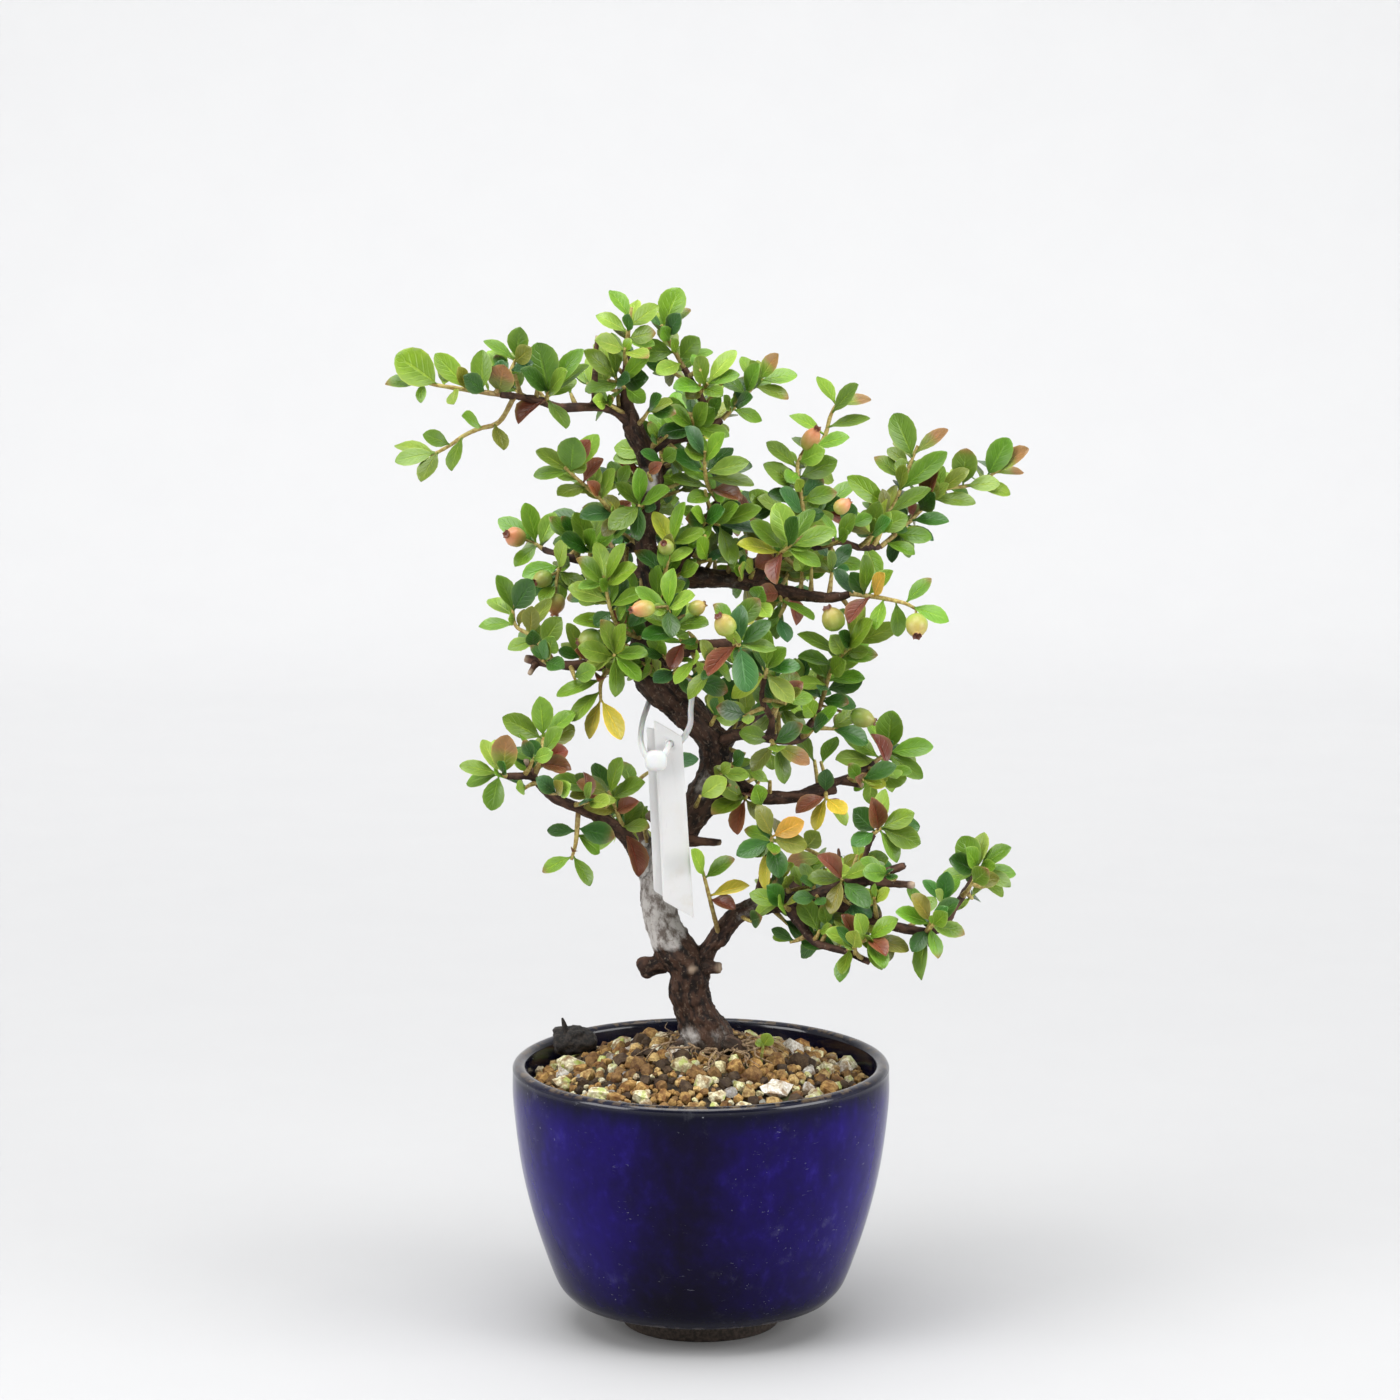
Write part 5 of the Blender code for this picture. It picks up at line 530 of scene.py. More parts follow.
# Where the crown is thick with small leaves: across, height, half width and half height
FILL_ROOMS = [(-37, 229, 21, 8.5), (-13, 233, 16, 14), (4, 222, 21, 15), (-19, 196, 24, 17),
              (11, 197, 29, 20), (38, 199, 22, 16), (-22, 170, 23, 14), (11, 162, 24, 16),
              (35, 155, 16, 20), (45, 139, 12, 13), (36, 104, 26, 12), (-38, 139, 16, 10),
              (9, 129, 10, 11), (-20, 127, 8, 8), (60, 112, 13, 9), (56, 204, 16, 8)]
FILL_STEP = 2.0               # between the places for small leaves along a stem
FILL_LENGTHS = (4.8, 9.6)
FILL_WIDTHS = (0.25, 0.62)    # of a small leaf, as shares of its length
FILL_TONES = "gggggglllldddddbbvkgggllddgvlldgggkddlgglldr"
SPUR_SHARE = 0.95             # of the places along a limb, which have a spur
SPUR_STEP = 2.5
SPUR_REACH = (2.2, 6.5)
SPUR_RADIUS = 0.4
SPURS_FROM = 90               # the height that they start at
SPUR_LEAVES = (4, 5, 6, 7)
THIN_ROOM = (0.06, 0.26)      # how clear the finer leaves stand, and how thick they are

# The turns that a leaf is tried at: how far its tip leans back, its roll, and its size
TURNS = [(0, 0, 1)]
TURNS += [(lean, roll, 1) for roll in (0, 0.35, -0.35, 0.7) for lean in (-2, 2, -4, 4)]
TURNS += [(lean, roll, size) for size in (0.88, 0.76) for roll in (0, 0.5, -0.5)
          for lean in (0, -3, 3, -6, 6)]
FILL_TURNS = [(0, 0, 1), (3, 0.4, 0.9)]


def seen(across, height, depth):
    """The point at a depth on the sight line that passes the upright plane at across, height."""
    stretch = 1 + depth / EYE_BACK
    rise = (height - EYE_HEIGHT) * stretch
    return Vector((across * stretch, depth, EYE_HEIGHT + rise - SEEN_FOOT))


def on_tree(across, height, depth):
    """A point of the wood or a stem, on a limb that sweeps forwards or back away from the trunk."""
    heights, sweeps = zip(*(LEFT_SWEEP if across < 0 else RIGHT_SWEEP))
    out = min(1, max(0, (abs(across) - SWEEP_FROM) / (SWEEP_TO - SWEEP_FROM)))
    sweep = float(np.interp(height, heights, sweeps)) * out * out * (3 - 2 * out)
    return seen(across, height, depth + sweep)


def smooth_route(route, step):
    """Points about a step apart on a smooth curve through the route, each with its radius."""
    knots = [on_tree(*row[:3]) for row in route]
    radii = [row[3] for row in route]
    knots = [knots[0] * 2 - knots[1]] + knots + [knots[-1] * 2 - knots[-2]]
    points = []
    widths = []
    for i in range(1, len(knots) - 2):
        before, here, there, after = knots[i - 1:i + 3]
        pieces = max(1, round((there - here).length / step))
        for j in range(pieces):
            t = j / pieces
            bend = (2 * here + (there - before) * t
                    + (2 * before - 5 * here + 4 * there - after) * t ** 2
                    + (3 * here - before - 3 * there + after) * t ** 3)
            points.append(bend / 2)
            widths.append(radii[i - 1] * (1 - t) + radii[i] * t)
    points.append(knots[-2])
    widths.append(radii[-1])
    return points, widths


def nearest_on_lines(points, starts, ends):
    """Distance of each point to each straight run, as an array of points by runs."""
    along = ends - starts
    length = np.maximum((along ** 2).sum(axis=1), 1e-9)
    offset = points[:, None, :] - starts[None, :, :]
    share = np.clip((offset * along[None]).sum(axis=2) / length[None], 0, 1)
    return np.linalg.norm(offset - share[..., None] * along[None], axis=2)


class Obstacles:
    """Round runs that leaves keep clear of, each with the name of the shoot that it belongs to."""

    def __init__(self):
        self.starts, self.ends, self.radii, self.owners = [], [], [], []

    def add_route(self, points, radii, owner):
        for i in range(len(points) - 1):
            self.starts.append(tuple(points[i]))
            self.ends.append(tuple(points[i + 1]))
            self.radii.append(max(radii[i], radii[i + 1]))
            self.owners.append(owner)

    def clear(self, points, owner, margin):
        """Whether the points keep the margin from all runs that aren't the owner's own."""
        others = [i for i, name in enumerate(self.owners) if name != owner]
        away = nearest_on_lines(np.array(points), np.array(self.starts)[others],
                                np.array(self.ends)[others])
        return bool((away > np.array(self.radii)[others] + margin).all())


def blade_shape(leaf, grow=0.0):
    """Rim points of a leaf: a pointed oval, folded along its midrib and arched back.

    The rim runs from the base up the right side to the tip and down the left side. The half
    width at each share of the length comes from the leaf's own list, the fold lifts the rim by a
    share of the half width, and the arch lifts the middle above the line from base to tip.
    """
    stations = WIDE_BLADE if leaf["wide"] else NARROW_BLADE
    length = leaf["length"] + grow
    width = leaf["width"] + grow

    def place(share, half):
        lift = leaf["fold"] * abs(half) * width + leaf["arch"] * share * (1 - share) * length
        return (leaf["base"] + leaf["along"] * share * length + leaf["side"] * half * width
                + leaf["up"] * lift)

    rim = [place(0, 0)]
    rim += [place(share, half) for share, half in stations]
    rim.append(place(1, 0))
    rim += [place(share, -half) for share, half in reversed(stations)]
    return rim


def blade_faces(count):
    """The faces of a blade on one side: its foot, its middle, and a fan from the tip each side.

    Point 0 is the base and point count / 2 the tip.
    """
    tip = count // 2
    right = [(tip, i, i + 1) for i in range(1, tip - 1)]
    left = [(tip, i, i + 1) for i in range(tip + 1, count - 1)]
    return [(0, 1, count - 1), (1, tip, count - 1)] + right + left


def leaf_tree(leaf, grow, thickness):
    """A search tree of a leaf's faces, grown and thickened by what it is to stay clear by."""
    rim = blade_shape(leaf, grow)
    half = leaf["up"] * thickness / 2
    points = [p + half for p in rim] + [p - half for p in rim]
    count = len(rim)
    faces = blade_faces(count)
    faces += [tuple(count + i for i in reversed(face)) for face in faces]
    faces += [(i, count + i, count + (i + 1) % count, (i + 1) % count) for i in range(count)]
    return BVHTree.FromPolygons([tuple(p) for p in points], faces)


def aim_leaf(base, tip, width, tone, draw, turn):
    """A leaf from base to tip whose width is turned away from the eye until it shows as width."""
    lean, roll, size = turn
    reach = tip + Vector((0, lean, 0)) - base
    length = reach.length
    along = reach / length
    length *= size
    true_width = max(width * 1.04, (0.5 + 0.1 * draw[0]) * min(length, 9.5)) * size
    sight = Vector((0, -1, 0.16)).normalized()
    side = along.cross(sight).normalized()
    turned = math.acos(min(1, width * size / true_width)) * 0.8 + roll
    front = side.cross(along)
    options = []
    for sign in (1, -1):
        across = side * math.cos(sign * turned) + front * math.sin(sign * turned)
        upward = across.cross(along).normalized()
        options.append((upward.z, across, upward))
    upward, across = max(options, key=lambda option: option[0])[2:0:-1]
    dead = tone == "r"
    return {"base": base, "along": along, "side": across, "up": upward, "length": length,
            "width": true_width, "tone": tone, "fold": 0.75 if dead else 0.16 + 0.2 * draw[1],
            "arch": 0.3 if dead else 0.06 + 0.1 * draw[2], "wide": width >= WIDE_FROM}


def point_along(route, share):
    """The point at a share of a route's length."""
    lengths = [(b - a).length for a, b in zip(route, route[1:])]
    left = share * sum(lengths)
    for i, length in enumerate(lengths):
        if left <= length or i == len(lengths) - 1:
            return route[i].lerp(route[i + 1], min(1, left / length))
        left -= length


def back_stems(name):
    """The stems of a shoot that grows by the rule, with its leaves, from seeded draws.

    The first stem runs from the wood's end to the first tip, and the others leave it near its
    start. Leaves stand on alternate sides, about a step apart, and turn outwards and up.
    """
    start, tips = BACK_SHOOTS[name]
    draws = random.Random(name)
    root = on_tree(*start)
    stems = []
    for order, tip in enumerate(tips):
        end = on_tree(*tip)
        first = root if order == 0 else point_along(stems[0][0], 0.12 + 0.2 * order)
        middle = first.lerp(end, 0.5) + Vector((draws.uniform(-1, 1), draws.uniform(-1, 1), 1.6))
        route = [first, middle, end]
        length = (end - first).length
        leaves = []
        count = int(length / BACK_LEAF_STEP) + 2
        for i in range(count):
            share = 1.0 if i >= count - 2 else 0.25 + 0.7 * i / count
            base = point_along(route, share)
            run = (end - first).normalized()
            flank = run.cross(Vector((0, 0, 1))).normalized() * (1 if i % 2 else -1)
            heading = run * draws.uniform(0.3, 1) + flank * draws.uniform(0.5, 1)
            heading.z += draws.uniform(-BACK_DROOP, BACK_DROOP + 0.35)
            heading.normalize()
            size = draws.uniform(LEAF_LEAST, LEAF_MOST)
            leaves.append((share, base + heading * size, draws.choice("ggggddlbvo")))
        stems.append((route, leaves))
    return stems


def plan_shoots():
    """Every shoot's stems, fruit and leaves, each leaf at the first turn that clears the rest.

    A leaf that crosses wood, a tag, a stem, a fruit or another leaf is leaned, rolled and at last
    made smaller, by a fixed list of turns, and left out if none of them clears it. The leaves that
    the frame's solids hold come first, so that they stand as they do there. Then come the other
    leaves of the list, and then those that fill the crown.
    """
    obstacles = Obstacles()
    for row in [TRUNK] + BRANCHES + TWIGS:
        obstacles.add_route(*smooth_route(row, WOOD_STEP), "wood")
    for top, foot, radius in TAG_ROOMS:
        obstacles.add_route([Vector(top), Vector(foot)], [radius, radius], "tag")
    plan = {}
    for name, stems in SHOOTS.items():
        plan[name] = new_shoot()
        order = 0
        for route, leaves, fruit in stems:
            points = [on_tree(*row) for row in route]
            plan[name]["stems"].append(points)
            for share, across, height, lean, width, length, tone in fruit:
                base = point_along(points, share)
                middle = seen(across, height, base.y + lean)
                plan[name]["fruit"].append((base, middle, width, length, tone))
            for share, across, height, lean, width, tone in leaves:
                order += 1
                base = point_along(points, min(share, LAST_SHARE))
                tip = seen(across, height, base.y + lean)
                kind = "more" if order % LEAVES_PER_GAP == 0 else "wanted"
                plan[name][kind].append((base, tip, width, tone))
    for name in BACK_SHOOTS:
        plan[name] = new_shoot()
        for route, leaves in back_stems(name):
            plan[name]["stems"].append(route)
            for share, tip, tone in leaves:
                base = point_along(route, min(share, LAST_SHARE))
                plan[name]["wanted"].append((base, tip, BACK_LEAF_WIDTH, tone))
    for name, shoot in plan.items():
        for points in shoot["stems"]:
            obstacles.add_route(points, [STEM_RADIUS] * len(points), name)
        for base, middle, width, length, tone in shoot["fruit"]:
            obstacles.add_route([base, middle, middle], [CORE_RADIUS, width / 2, width / 2],
                                name)
    placed = []
    for name, shoot in plan.items():
        draws = random.Random(name + " leaves")
        place_leaves(name, shoot, shoot["wanted"], TURNS, draws, obstacles, placed)
    for across, height, width, tone in LOOSE_TIPS:
        name, base = nearest_stem(plan, across, height)
        tip = seen(across, height, base.y - 2)
        if (tip - base).length < LOOSE_REACH:
            plan[name]["more"].append((base, tip, width, tone))
    for name, shoot in plan.items():
        draws = random.Random(name + " more leaves")
        place_leaves(name, shoot, shoot["more"], TURNS, draws, obstacles, placed, THIN_ROOM)
    plan.update(spur_shoots(obstacles))
    for name, shoot in plan.items():
        draws = random.Random(name + " fill")
        fill = shoot["fill"] or fill_along(shoot["stems"], draws)
        place_leaves(name, shoot, fill, FILL_TURNS, draws, obstacles, placed, THIN_ROOM)
    return {name: shoot for name, shoot in plan.items() if shoot["leaves"]}


def new_shoot():
    return {"stems": [], "fruit": [], "leaves": [], "wanted": [], "more": [], "fill": []}


def place_leaves(name, shoot, wanted, turns, draws, obstacles, placed,
                 room=(LEAF_CLEAR, BLADE_THICKNESS)):
    """Adds each wanted leaf to its shoot at the first turn that has room."""
    for base, tip, width, tone in wanted:
        draw = [draws.random() for _ in range(3)]
        for turn in turns:
            leaf = aim_leaf(base, tip, width, tone, draw, turn)
            if leaf_is_clear(leaf, name, obstacles, placed, *room):
                placed.append((name, leaf, leaf_tree(leaf, 0, room[1])))
                shoot["leaves"].append(leaf)
                break


def shown(point):
    """Where a point shows on the upright plane through the pot's axis: across and height."""
    stretch = 1 + point.y / EYE_BACK
    return point.x / stretch, EYE_HEIGHT + (point.z + SEEN_FOOT - EYE_HEIGHT) / stretch


def nearest_stem(plan, across, height):
    """The shoot and the point of its stem that show nearest to a place, a fifth along or more."""
    options = []
    for name, shoot in plan.items():
        for points in shoot["stems"]:
            for share in (0.2, 0.35, 0.5, 0.65, 0.8, LAST_SHARE):
                point = point_along(points, share)
                x, z = shown(point)
                options.append((math.hypot(x - across, z - height), name, share, point))
    best = min(options, key=lambda option: option[:3])
    return best[1], best[3]


def in_fill_room(point):
    """Whether a point shows in one of the parts of the crown that are thick with leaves."""
    x, z = shown(point)
    return any(((x - across) / wide) ** 2 + ((z - height) / tall) ** 2 < 1
               for across, height, wide, tall in FILL_ROOMS)


def fill_along(stems, draws):
    """Small leaves by seeded draws on alternate sides of the stems, where the crown is thick."""
    wanted = []
    for points in stems:
        length = sum((b - a).length for a, b in zip(points, points[1:]))
        run = (points[-1] - points[0]).normalized()
        flank = run.cross(Vector((0, 0.3, 1))).normalized()
        count = max(2, round(length / FILL_STEP))
        for i in range(count * 2):
            share = 0.12 + 0.85 * (i // 2 + draws.random() * 0.6) / count
            base = point_along(points, min(LAST_SHARE, share))
            side = flank * (1 if i % 2 else -1)
            front = run.cross(side)
            heading = (run * draws.uniform(0.1, 1) + side * draws.uniform(0.2, 1)
                       + front * draws.uniform(-0.9, 0.9)
                       + Vector((0, 0, draws.uniform(-0.15, 0.45))))
            size = draws.uniform(*FILL_LENGTHS)
            tip = base + heading.normalized() * size
            if in_fill_room(tip) and in_fill_room(base.lerp(tip, 0.5)):
                width = size * draws.uniform(*FILL_WIDTHS)
                wanted.append((base, tip, width, draws.choice(FILL_TONES)))
    return wanted


def spur_shoots(obstacles):
    """Short spurs by seeded draws along the limbs, each with a few leaves round its end."""
    spurs = {}
    for order, row in enumerate([TRUNK] + BRANCHES):
        draws = random.Random(f"spurs {order}")
        points, radii = smooth_route(row, SPUR_STEP)
        shoot = new_shoot()
        for i in range(1, len(points) - 1):
            run = (points[i + 1] - points[i - 1]).normalized()
            flank = run.cross(Vector((0.2, 0.5, 1))).normalized()
            turn = draws.uniform(0, math.tau)
            out = flank * math.cos(turn) + run.cross(flank) * math.sin(turn)
            out = (out + Vector((0, 0, 0.35))).normalized()
            reach = draws.uniform(*SPUR_REACH)
            start = points[i] + out * radii[i] * 0.7
            end = points[i] + out * (radii[i] + reach) + run * draws.uniform(-1, 2.5)
            if (draws.random() > SPUR_SHARE or not in_fill_room(end)
                    or points[i].z < SPURS_FROM):
                continue
            if not obstacles.clear([start.lerp(end, 0.8), end], "wood", 0.7):
                continue
            middle = start.lerp(end, 0.5) + Vector((0, 0, draws.uniform(-0.6, 0.2)))
            stem = [start, middle, end]
            shoot["stems"].append(stem)
            for _ in range(draws.choice(SPUR_LEAVES)):
                heading = out * draws.uniform(0.2, 1) + Vector(
                    (draws.uniform(-1, 1), draws.uniform(-1, 0.8), draws.uniform(-0.35, 0.75)))
                size = draws.uniform(*FILL_LENGTHS)
                base = point_along(stem, draws.uniform(0.7, LAST_SHARE))
                tip = base + heading.normalized() * size
                if in_fill_room(tip):
                    width = size * draws.uniform(*FILL_WIDTHS)
                    shoot["fill"].append((base, tip, width, draws.choice(FILL_TONES)))
        if shoot["fill"]:
            spurs[f"spurs_{order}"] = shoot
    for name, shoot in spurs.items():
        for stem in shoot["stems"]:
            obstacles.add_route(stem, [SPUR_RADIUS] * 3, name)
    return spurs


def leaf_is_clear(leaf, name, obstacles, placed, clear=LEAF_CLEAR, thickness=BLADE_THICKNESS):
    """Whether a leaf clears the wood and the other shoots, and its outer part its own shoot's."""
    rim = blade_shape(leaf)
    tip = rim[len(rim) // 2]
    points = rim[1:] + [(p + tip) / 2 for p in rim[1:]] + [(rim[0] + tip) / 2]
    if min(p.z for p in points) < SOIL_TOP + SOIL_ROOM:
        return False
    if clear < LEAF_CLEAR and ((BOX_LOW > np.min(points, axis=0) - BOX_ROOM)
                               | (BOX_HIGH < np.max(points, axis=0) + BOX_ROOM)).any():
        return False
    if not obstacles.clear(points, name, clear + thickness / 2 + (0.15 if clear > 0.2 else 0)):
        return False
    whole = leaf_tree(leaf, 2 * clear, thickness + 2 * clear)
    outer = dict(leaf)
    outer["base"] = leaf["base"] + leaf["along"] * INNER_SHARE * leaf["length"]
    outer["length"] = (1 - INNER_SHARE) * leaf["length"]
    outer_tree = leaf_tree(outer, 0, thickness)
    for owner, other, tree in placed:
        reach = leaf["length"] + other["length"] + 1
        if (other["base"] - leaf["base"]).length > reach:
            continue
        if owner == name and outer_tree.overlap(tree):
            return False
        if owner != name and whole.overlap(tree):
            return False
    return True


# Building pieces

class Skin:
    """Surfaces gathered for one piece, with a finish and a tint for each of their points."""

    def __init__(self):
        self.points, self.tints, self.marks = [], [], []
        self.loops, self.counts, self.finishes = [], [], []
        self.total = 0

    def add(self, rings, finish=0, tint=(1, 1, 1, 1), marks=(0, 0, 0), closed=False):
        """Adds closed bodies, given as (bodies, rows, columns, 3).

        Each row is a ring of columns. A ring is joined to the next by four-sided faces, and the
        first and last are capped, or joined to each other where the body is closed like a tyre.
        A body whose faces point inwards is turned. The finish is one number, or one for each row.
        """
        rings = np.asarray(rings, dtype=float)
        if rings.ndim == 3:
            rings = rings[None]
        shape = rings.shape[:3]
        index = np.arange(int(np.prod(shape))).reshape(shape)
        here = index if closed else index[:, :-1]
        above = np.roll(index, -1, axis=1) if closed else index[:, 1:]
        quads = np.stack([here, np.roll(here, -1, axis=2), np.roll(above, -1, axis=2), above],
                         axis=-1).reshape(shape[0], -1, 4)
        points = rings.reshape(-1, 3)
        centred = (rings - rings.mean(axis=(1, 2), keepdims=True)).reshape(-1, 3)
        a, b, c, d = (centred[quads[..., k]] for k in range(4))
        volume = (a * (np.cross(b, c) + np.cross(c, d))).sum(axis=(1, 2))
        quads[volume < 0] = quads[volume < 0][..., ::-1]
        by_row = np.broadcast_to(finish, shape[1])
        side_finishes = np.tile(np.repeat(by_row[:here.shape[1]], shape[2]), shape[0])
        faces = [(quads.reshape(-1, 4), side_finishes)]
        if not closed:
            caps = np.stack([index[:, 0, ::-1], index[:, -1, :]], axis=1)
            caps[volume < 0] = caps[volume < 0][..., ::-1]
            faces.append((caps.reshape(-1, shape[2]), np.tile(by_row[[0, -1]], shape[0])))
        for polygons, finishes in faces:
            self.loops.append(polygons.ravel() + self.total)
            self.counts.append(np.full(len(polygons), polygons.shape[1]))
            self.finishes.append(finishes)
        self.points.append(points)
        self.tints.append(np.broadcast_to(tint, (*shape, 4)).reshape(-1, 4))
        self.marks.append(np.broadcast_to(marks, (*shape, 3)).reshape(-1, 3))
        self.total += len(points)

    def mesh(self, name):
        """One mesh of all that was added, in metres, kept inside the frame's box."""
        points = np.clip(np.concatenate(self.points), BOX_LOW, BOX_HIGH) * MM + POT_AXIS
        loops = np.concatenate(self.loops)
        counts = np.concatenate(self.counts)
        mesh = bpy.data.meshes.new(name)
        mesh.vertices.add(len(points))
        mesh.vertices.foreach_set("co", points.ravel())
        mesh.loops.add(len(loops))
        mesh.loops.foreach_set("vertex_index", loops)
        mesh.polygons.add(len(counts))
        mesh.polygons.foreach_set("loop_start", np.cumsum(counts) - counts)
        mesh.polygons.foreach_set("material_index", np.concatenate(self.finishes))
        carry(mesh, "tint", np.concatenate(self.tints))
        carry(mesh, "marks", np.concatenate(self.marks))
        mesh.update(calc_edges=True)
        mesh.validate()
        return mesh

    def piece(self, name, finishes, nodes=(), sharp=50):
        """The piece made of all that was added, in place of the nodes."""
        return finish_piece(name, self.mesh(name), finishes, nodes, sharp)


def carry(mesh, name, values):
    """Gives each point of a mesh a colour (four numbers) or a vector (three) by name."""
    kind, field = ("FLOAT_COLOR", "color") if values.shape[1] == 4 else ("FLOAT_VECTOR", "vector")
    layer = mesh.attributes.new(name, kind, "POINT")
    layer.data.foreach_set(field, values.astype(np.float32).ravel())


def finish_piece(name, mesh, finishes, nodes, sharp=50):
    """Shows a mesh as a piece of the object, with its finishes, in place of the nodes."""
    item = bpy.data.objects.new(name, mesh)
    bpy.context.scene.collection.objects.link(item)
    for material in finishes:
        mesh.materials.append(material)
    mesh.shade_smooth()
    mesh.set_sharp_from_angle(angle=math.radians(sharp))
    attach(item, "root")
    if nodes:
        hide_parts(*nodes)
    return item


def curve_through(knots, pieces):
    """A smooth curve through the knots: cubic runs whose slopes come from their neighbours."""
    knots = np.asarray(knots, dtype=float)
    padded = np.concatenate([[2 * knots[0] - knots[1]], knots, [2 * knots[-1] - knots[-2]]])
    before, here, there, after = padded[:-3], padded[1:-2], padded[2:-1], padded[3:]
    t = (np.arange(pieces) / pieces)[None, :, None]
    before, here, there, after = (k[:, None, :] for k in (before, here, there, after))
    run = (2 * here + (there - before) * t + (2 * before - 5 * here + 4 * there - after) * t ** 2
           + (3 * here - before - 3 * there + after) * t ** 3) / 2
    return np.concatenate([run.reshape(-1, knots.shape[1]), knots[-1:]])


def frames_along(points):
    """Unit tangents of a path and two unit directions square to each of them.

    Both come from the main axis that the path runs along least.
    """
    tangents = np.gradient(points, axis=0)
    tangents /= np.linalg.norm(tangents, axis=1, keepdims=True)
    steady = np.eye(3)[np.argmin(np.abs(tangents).max(axis=0))]
    first = np.cross(tangents, steady)
    first /= np.linalg.norm(first, axis=1, keepdims=True)
    return tangents, first, np.cross(tangents, first)


def tube_rings(points, radii, sides):
    """Rings round a path: each is the path's point plus the radius turned about its tangent."""
    _, first, second = frames_along(points)
    angles = np.arange(sides) * math.tau / sides
    spokes = (first[:, None] * np.cos(angles)[None, :, None]
              + second[:, None] * np.sin(angles)[None, :, None])
    return points[:, None] + spokes * np.broadcast_to(radii, len(points))[:, None, None]


def ball_rings(low, high, rows, columns):
    """Rings of a ball of radius one, from one angle above its middle to another."""
    rise = np.linspace(low, high, rows)
    angles = np.arange(columns) * math.tau / columns
    return np.stack([np.cos(rise)[:, None] * np.cos(angles), np.cos(rise)[:, None] * np.sin(angles),
                     np.sin(rise)[:, None] + 0 * angles], axis=-1)


def lattice_noise(points, size, seed):
    """Smooth noise from -1 to 1: random values on a grid of cubes of that size, blended inside."""
    spots = points / size
    corner = np.floor(spots).astype(np.int64)
    share = spots - corner
    share = share * share * (3 - 2 * share)
    total = np.zeros(len(points))
    for dx in (0, 1):
        for dy in (0, 1):
            for dz in (0, 1):
                key = ((corner[:, 0] + dx) * 374761393 + (corner[:, 1] + dy) * 668265263
                       + (corner[:, 2] + dz) * 2147483647 + seed * 144665)
                key = (key ^ (key >> 13)) * 1274126177
                value = ((key ^ (key >> 16)) & 65535) / 32767.5 - 1
                weight = np.ones(len(points))
                for k, step in enumerate((dx, dy, dz)):
                    weight *= share[:, k] if step else 1 - share[:, k]
                total += value * weight
    return total


def layered_noise(points, size, seed, layers=3):
    """Lattice noise with finer and weaker layers added, each half the size of the last."""
    return sum(lattice_noise(points, size / 2 ** k, seed + k) / 2 ** k for k in range(layers))


# Finishes

class Finish:
    """A material and short calls for the nodes that its colour, gloss and relief come from."""

    def __init__(self, name, **uniform):
        self.material = bpy.data.materials.new(name)
        self.material.use_nodes = True
        self.tree = self.material.node_tree
        self.shader = self.tree.nodes["Principled BSDF"]
        for socket, value in uniform.items():
            self.shader.inputs[socket.replace("_", " ")].default_value = value
        self.place = self.node("ShaderNodeTexCoord", {}).outputs["Object"]

    def node(self, kind, wires, **settings):
        made = self.tree.nodes.new(kind)
        for key, value in settings.items():
            setattr(made, key, value)
        for socket, value in wires.items():
            if isinstance(value, bpy.types.NodeSocket):
                self.tree.links.new(value, made.inputs[socket])
            else:
                made.inputs[socket].default_value = value
        return made

    def carried(self, name):
        """Colour, vector and alpha of what the mesh carries under a name."""
        return self.node("ShaderNodeAttribute", {}, attribute_name=name).outputs

    def parts(self, vector):
        return self.node("ShaderNodeSeparateXYZ", {0: vector}).outputs

    def maths(self, operation, a, b=0.0, c=0.0):
        return self.node("ShaderNodeMath", {0: a, 1: b, 2: c}, operation=operation).outputs[0]

    def times(self, a, b):
        return self.maths("MULTIPLY", a, b)

    def times_plus(self, a, b, c):
        """The product of the first two, plus the third."""
        return self.maths("MULTIPLY_ADD", a, b, c)

    def most(self, a, b):
        return self.maths("MAXIMUM", a, b)

    def noise(self, size, detail=3.0, where=None, stretch=None, roughness=0.55):
        """Noise from 0 to 1 whose features are about size millimetres across."""
        vector = where if where is not None else self.place
        if stretch:
            vector = self.node("ShaderNodeMapping", {"Vector": vector, "Scale": stretch}).outputs[0]
        return self.node("ShaderNodeTexNoise",
                         {"Vector": vector, "Scale": 1 / (size * MM), "Detail": detail,
                          "Roughness": roughness}).outputs["Fac"]

    def step(self, value, low, high, start=0.0, end=1.0):
        """Rises smoothly from start to end as the value goes from low to high."""
        return self.node("ShaderNodeMapRange", {0: value, 1: low, 2: high, 3: start, 4: end},
                         interpolation_type="SMOOTHSTEP").outputs[0]

    def mix(self, share, a, b, blend="MIX"):
        made = self.node("ShaderNodeMix", {0: share}, data_type="RGBA", blend_type=blend)
        for socket, value in ((6, a), (7, b)):
            if isinstance(value, bpy.types.NodeSocket):
                self.tree.links.new(value, made.inputs[socket])
            else:
                made.inputs[socket].default_value = (*value, 1)
        return made.outputs[2]

    def multiplied_mix(self, share, colour, multiplier):
        """The colour, multiplied by the other as far as the share says: real tones and painted
        shade.
        """
        return self.mix(share, colour, multiplier, "MULTIPLY")

    def relief(self, height, depth, under=None, strength=1.0):
        """Normals as if the surface rose by depth millimetres where height is one."""
        wires = {"Height": height, "Distance": depth * MM, "Strength": strength}
        if under is not None:
            wires["Normal"] = under
        return self.node("ShaderNodeBump", wires).outputs[0]

    def set(self, **wires):
        for socket, value in wires.items():
            self.tree.links.new(value, self.shader.inputs[socket.replace("_", " ")])
        return self.material


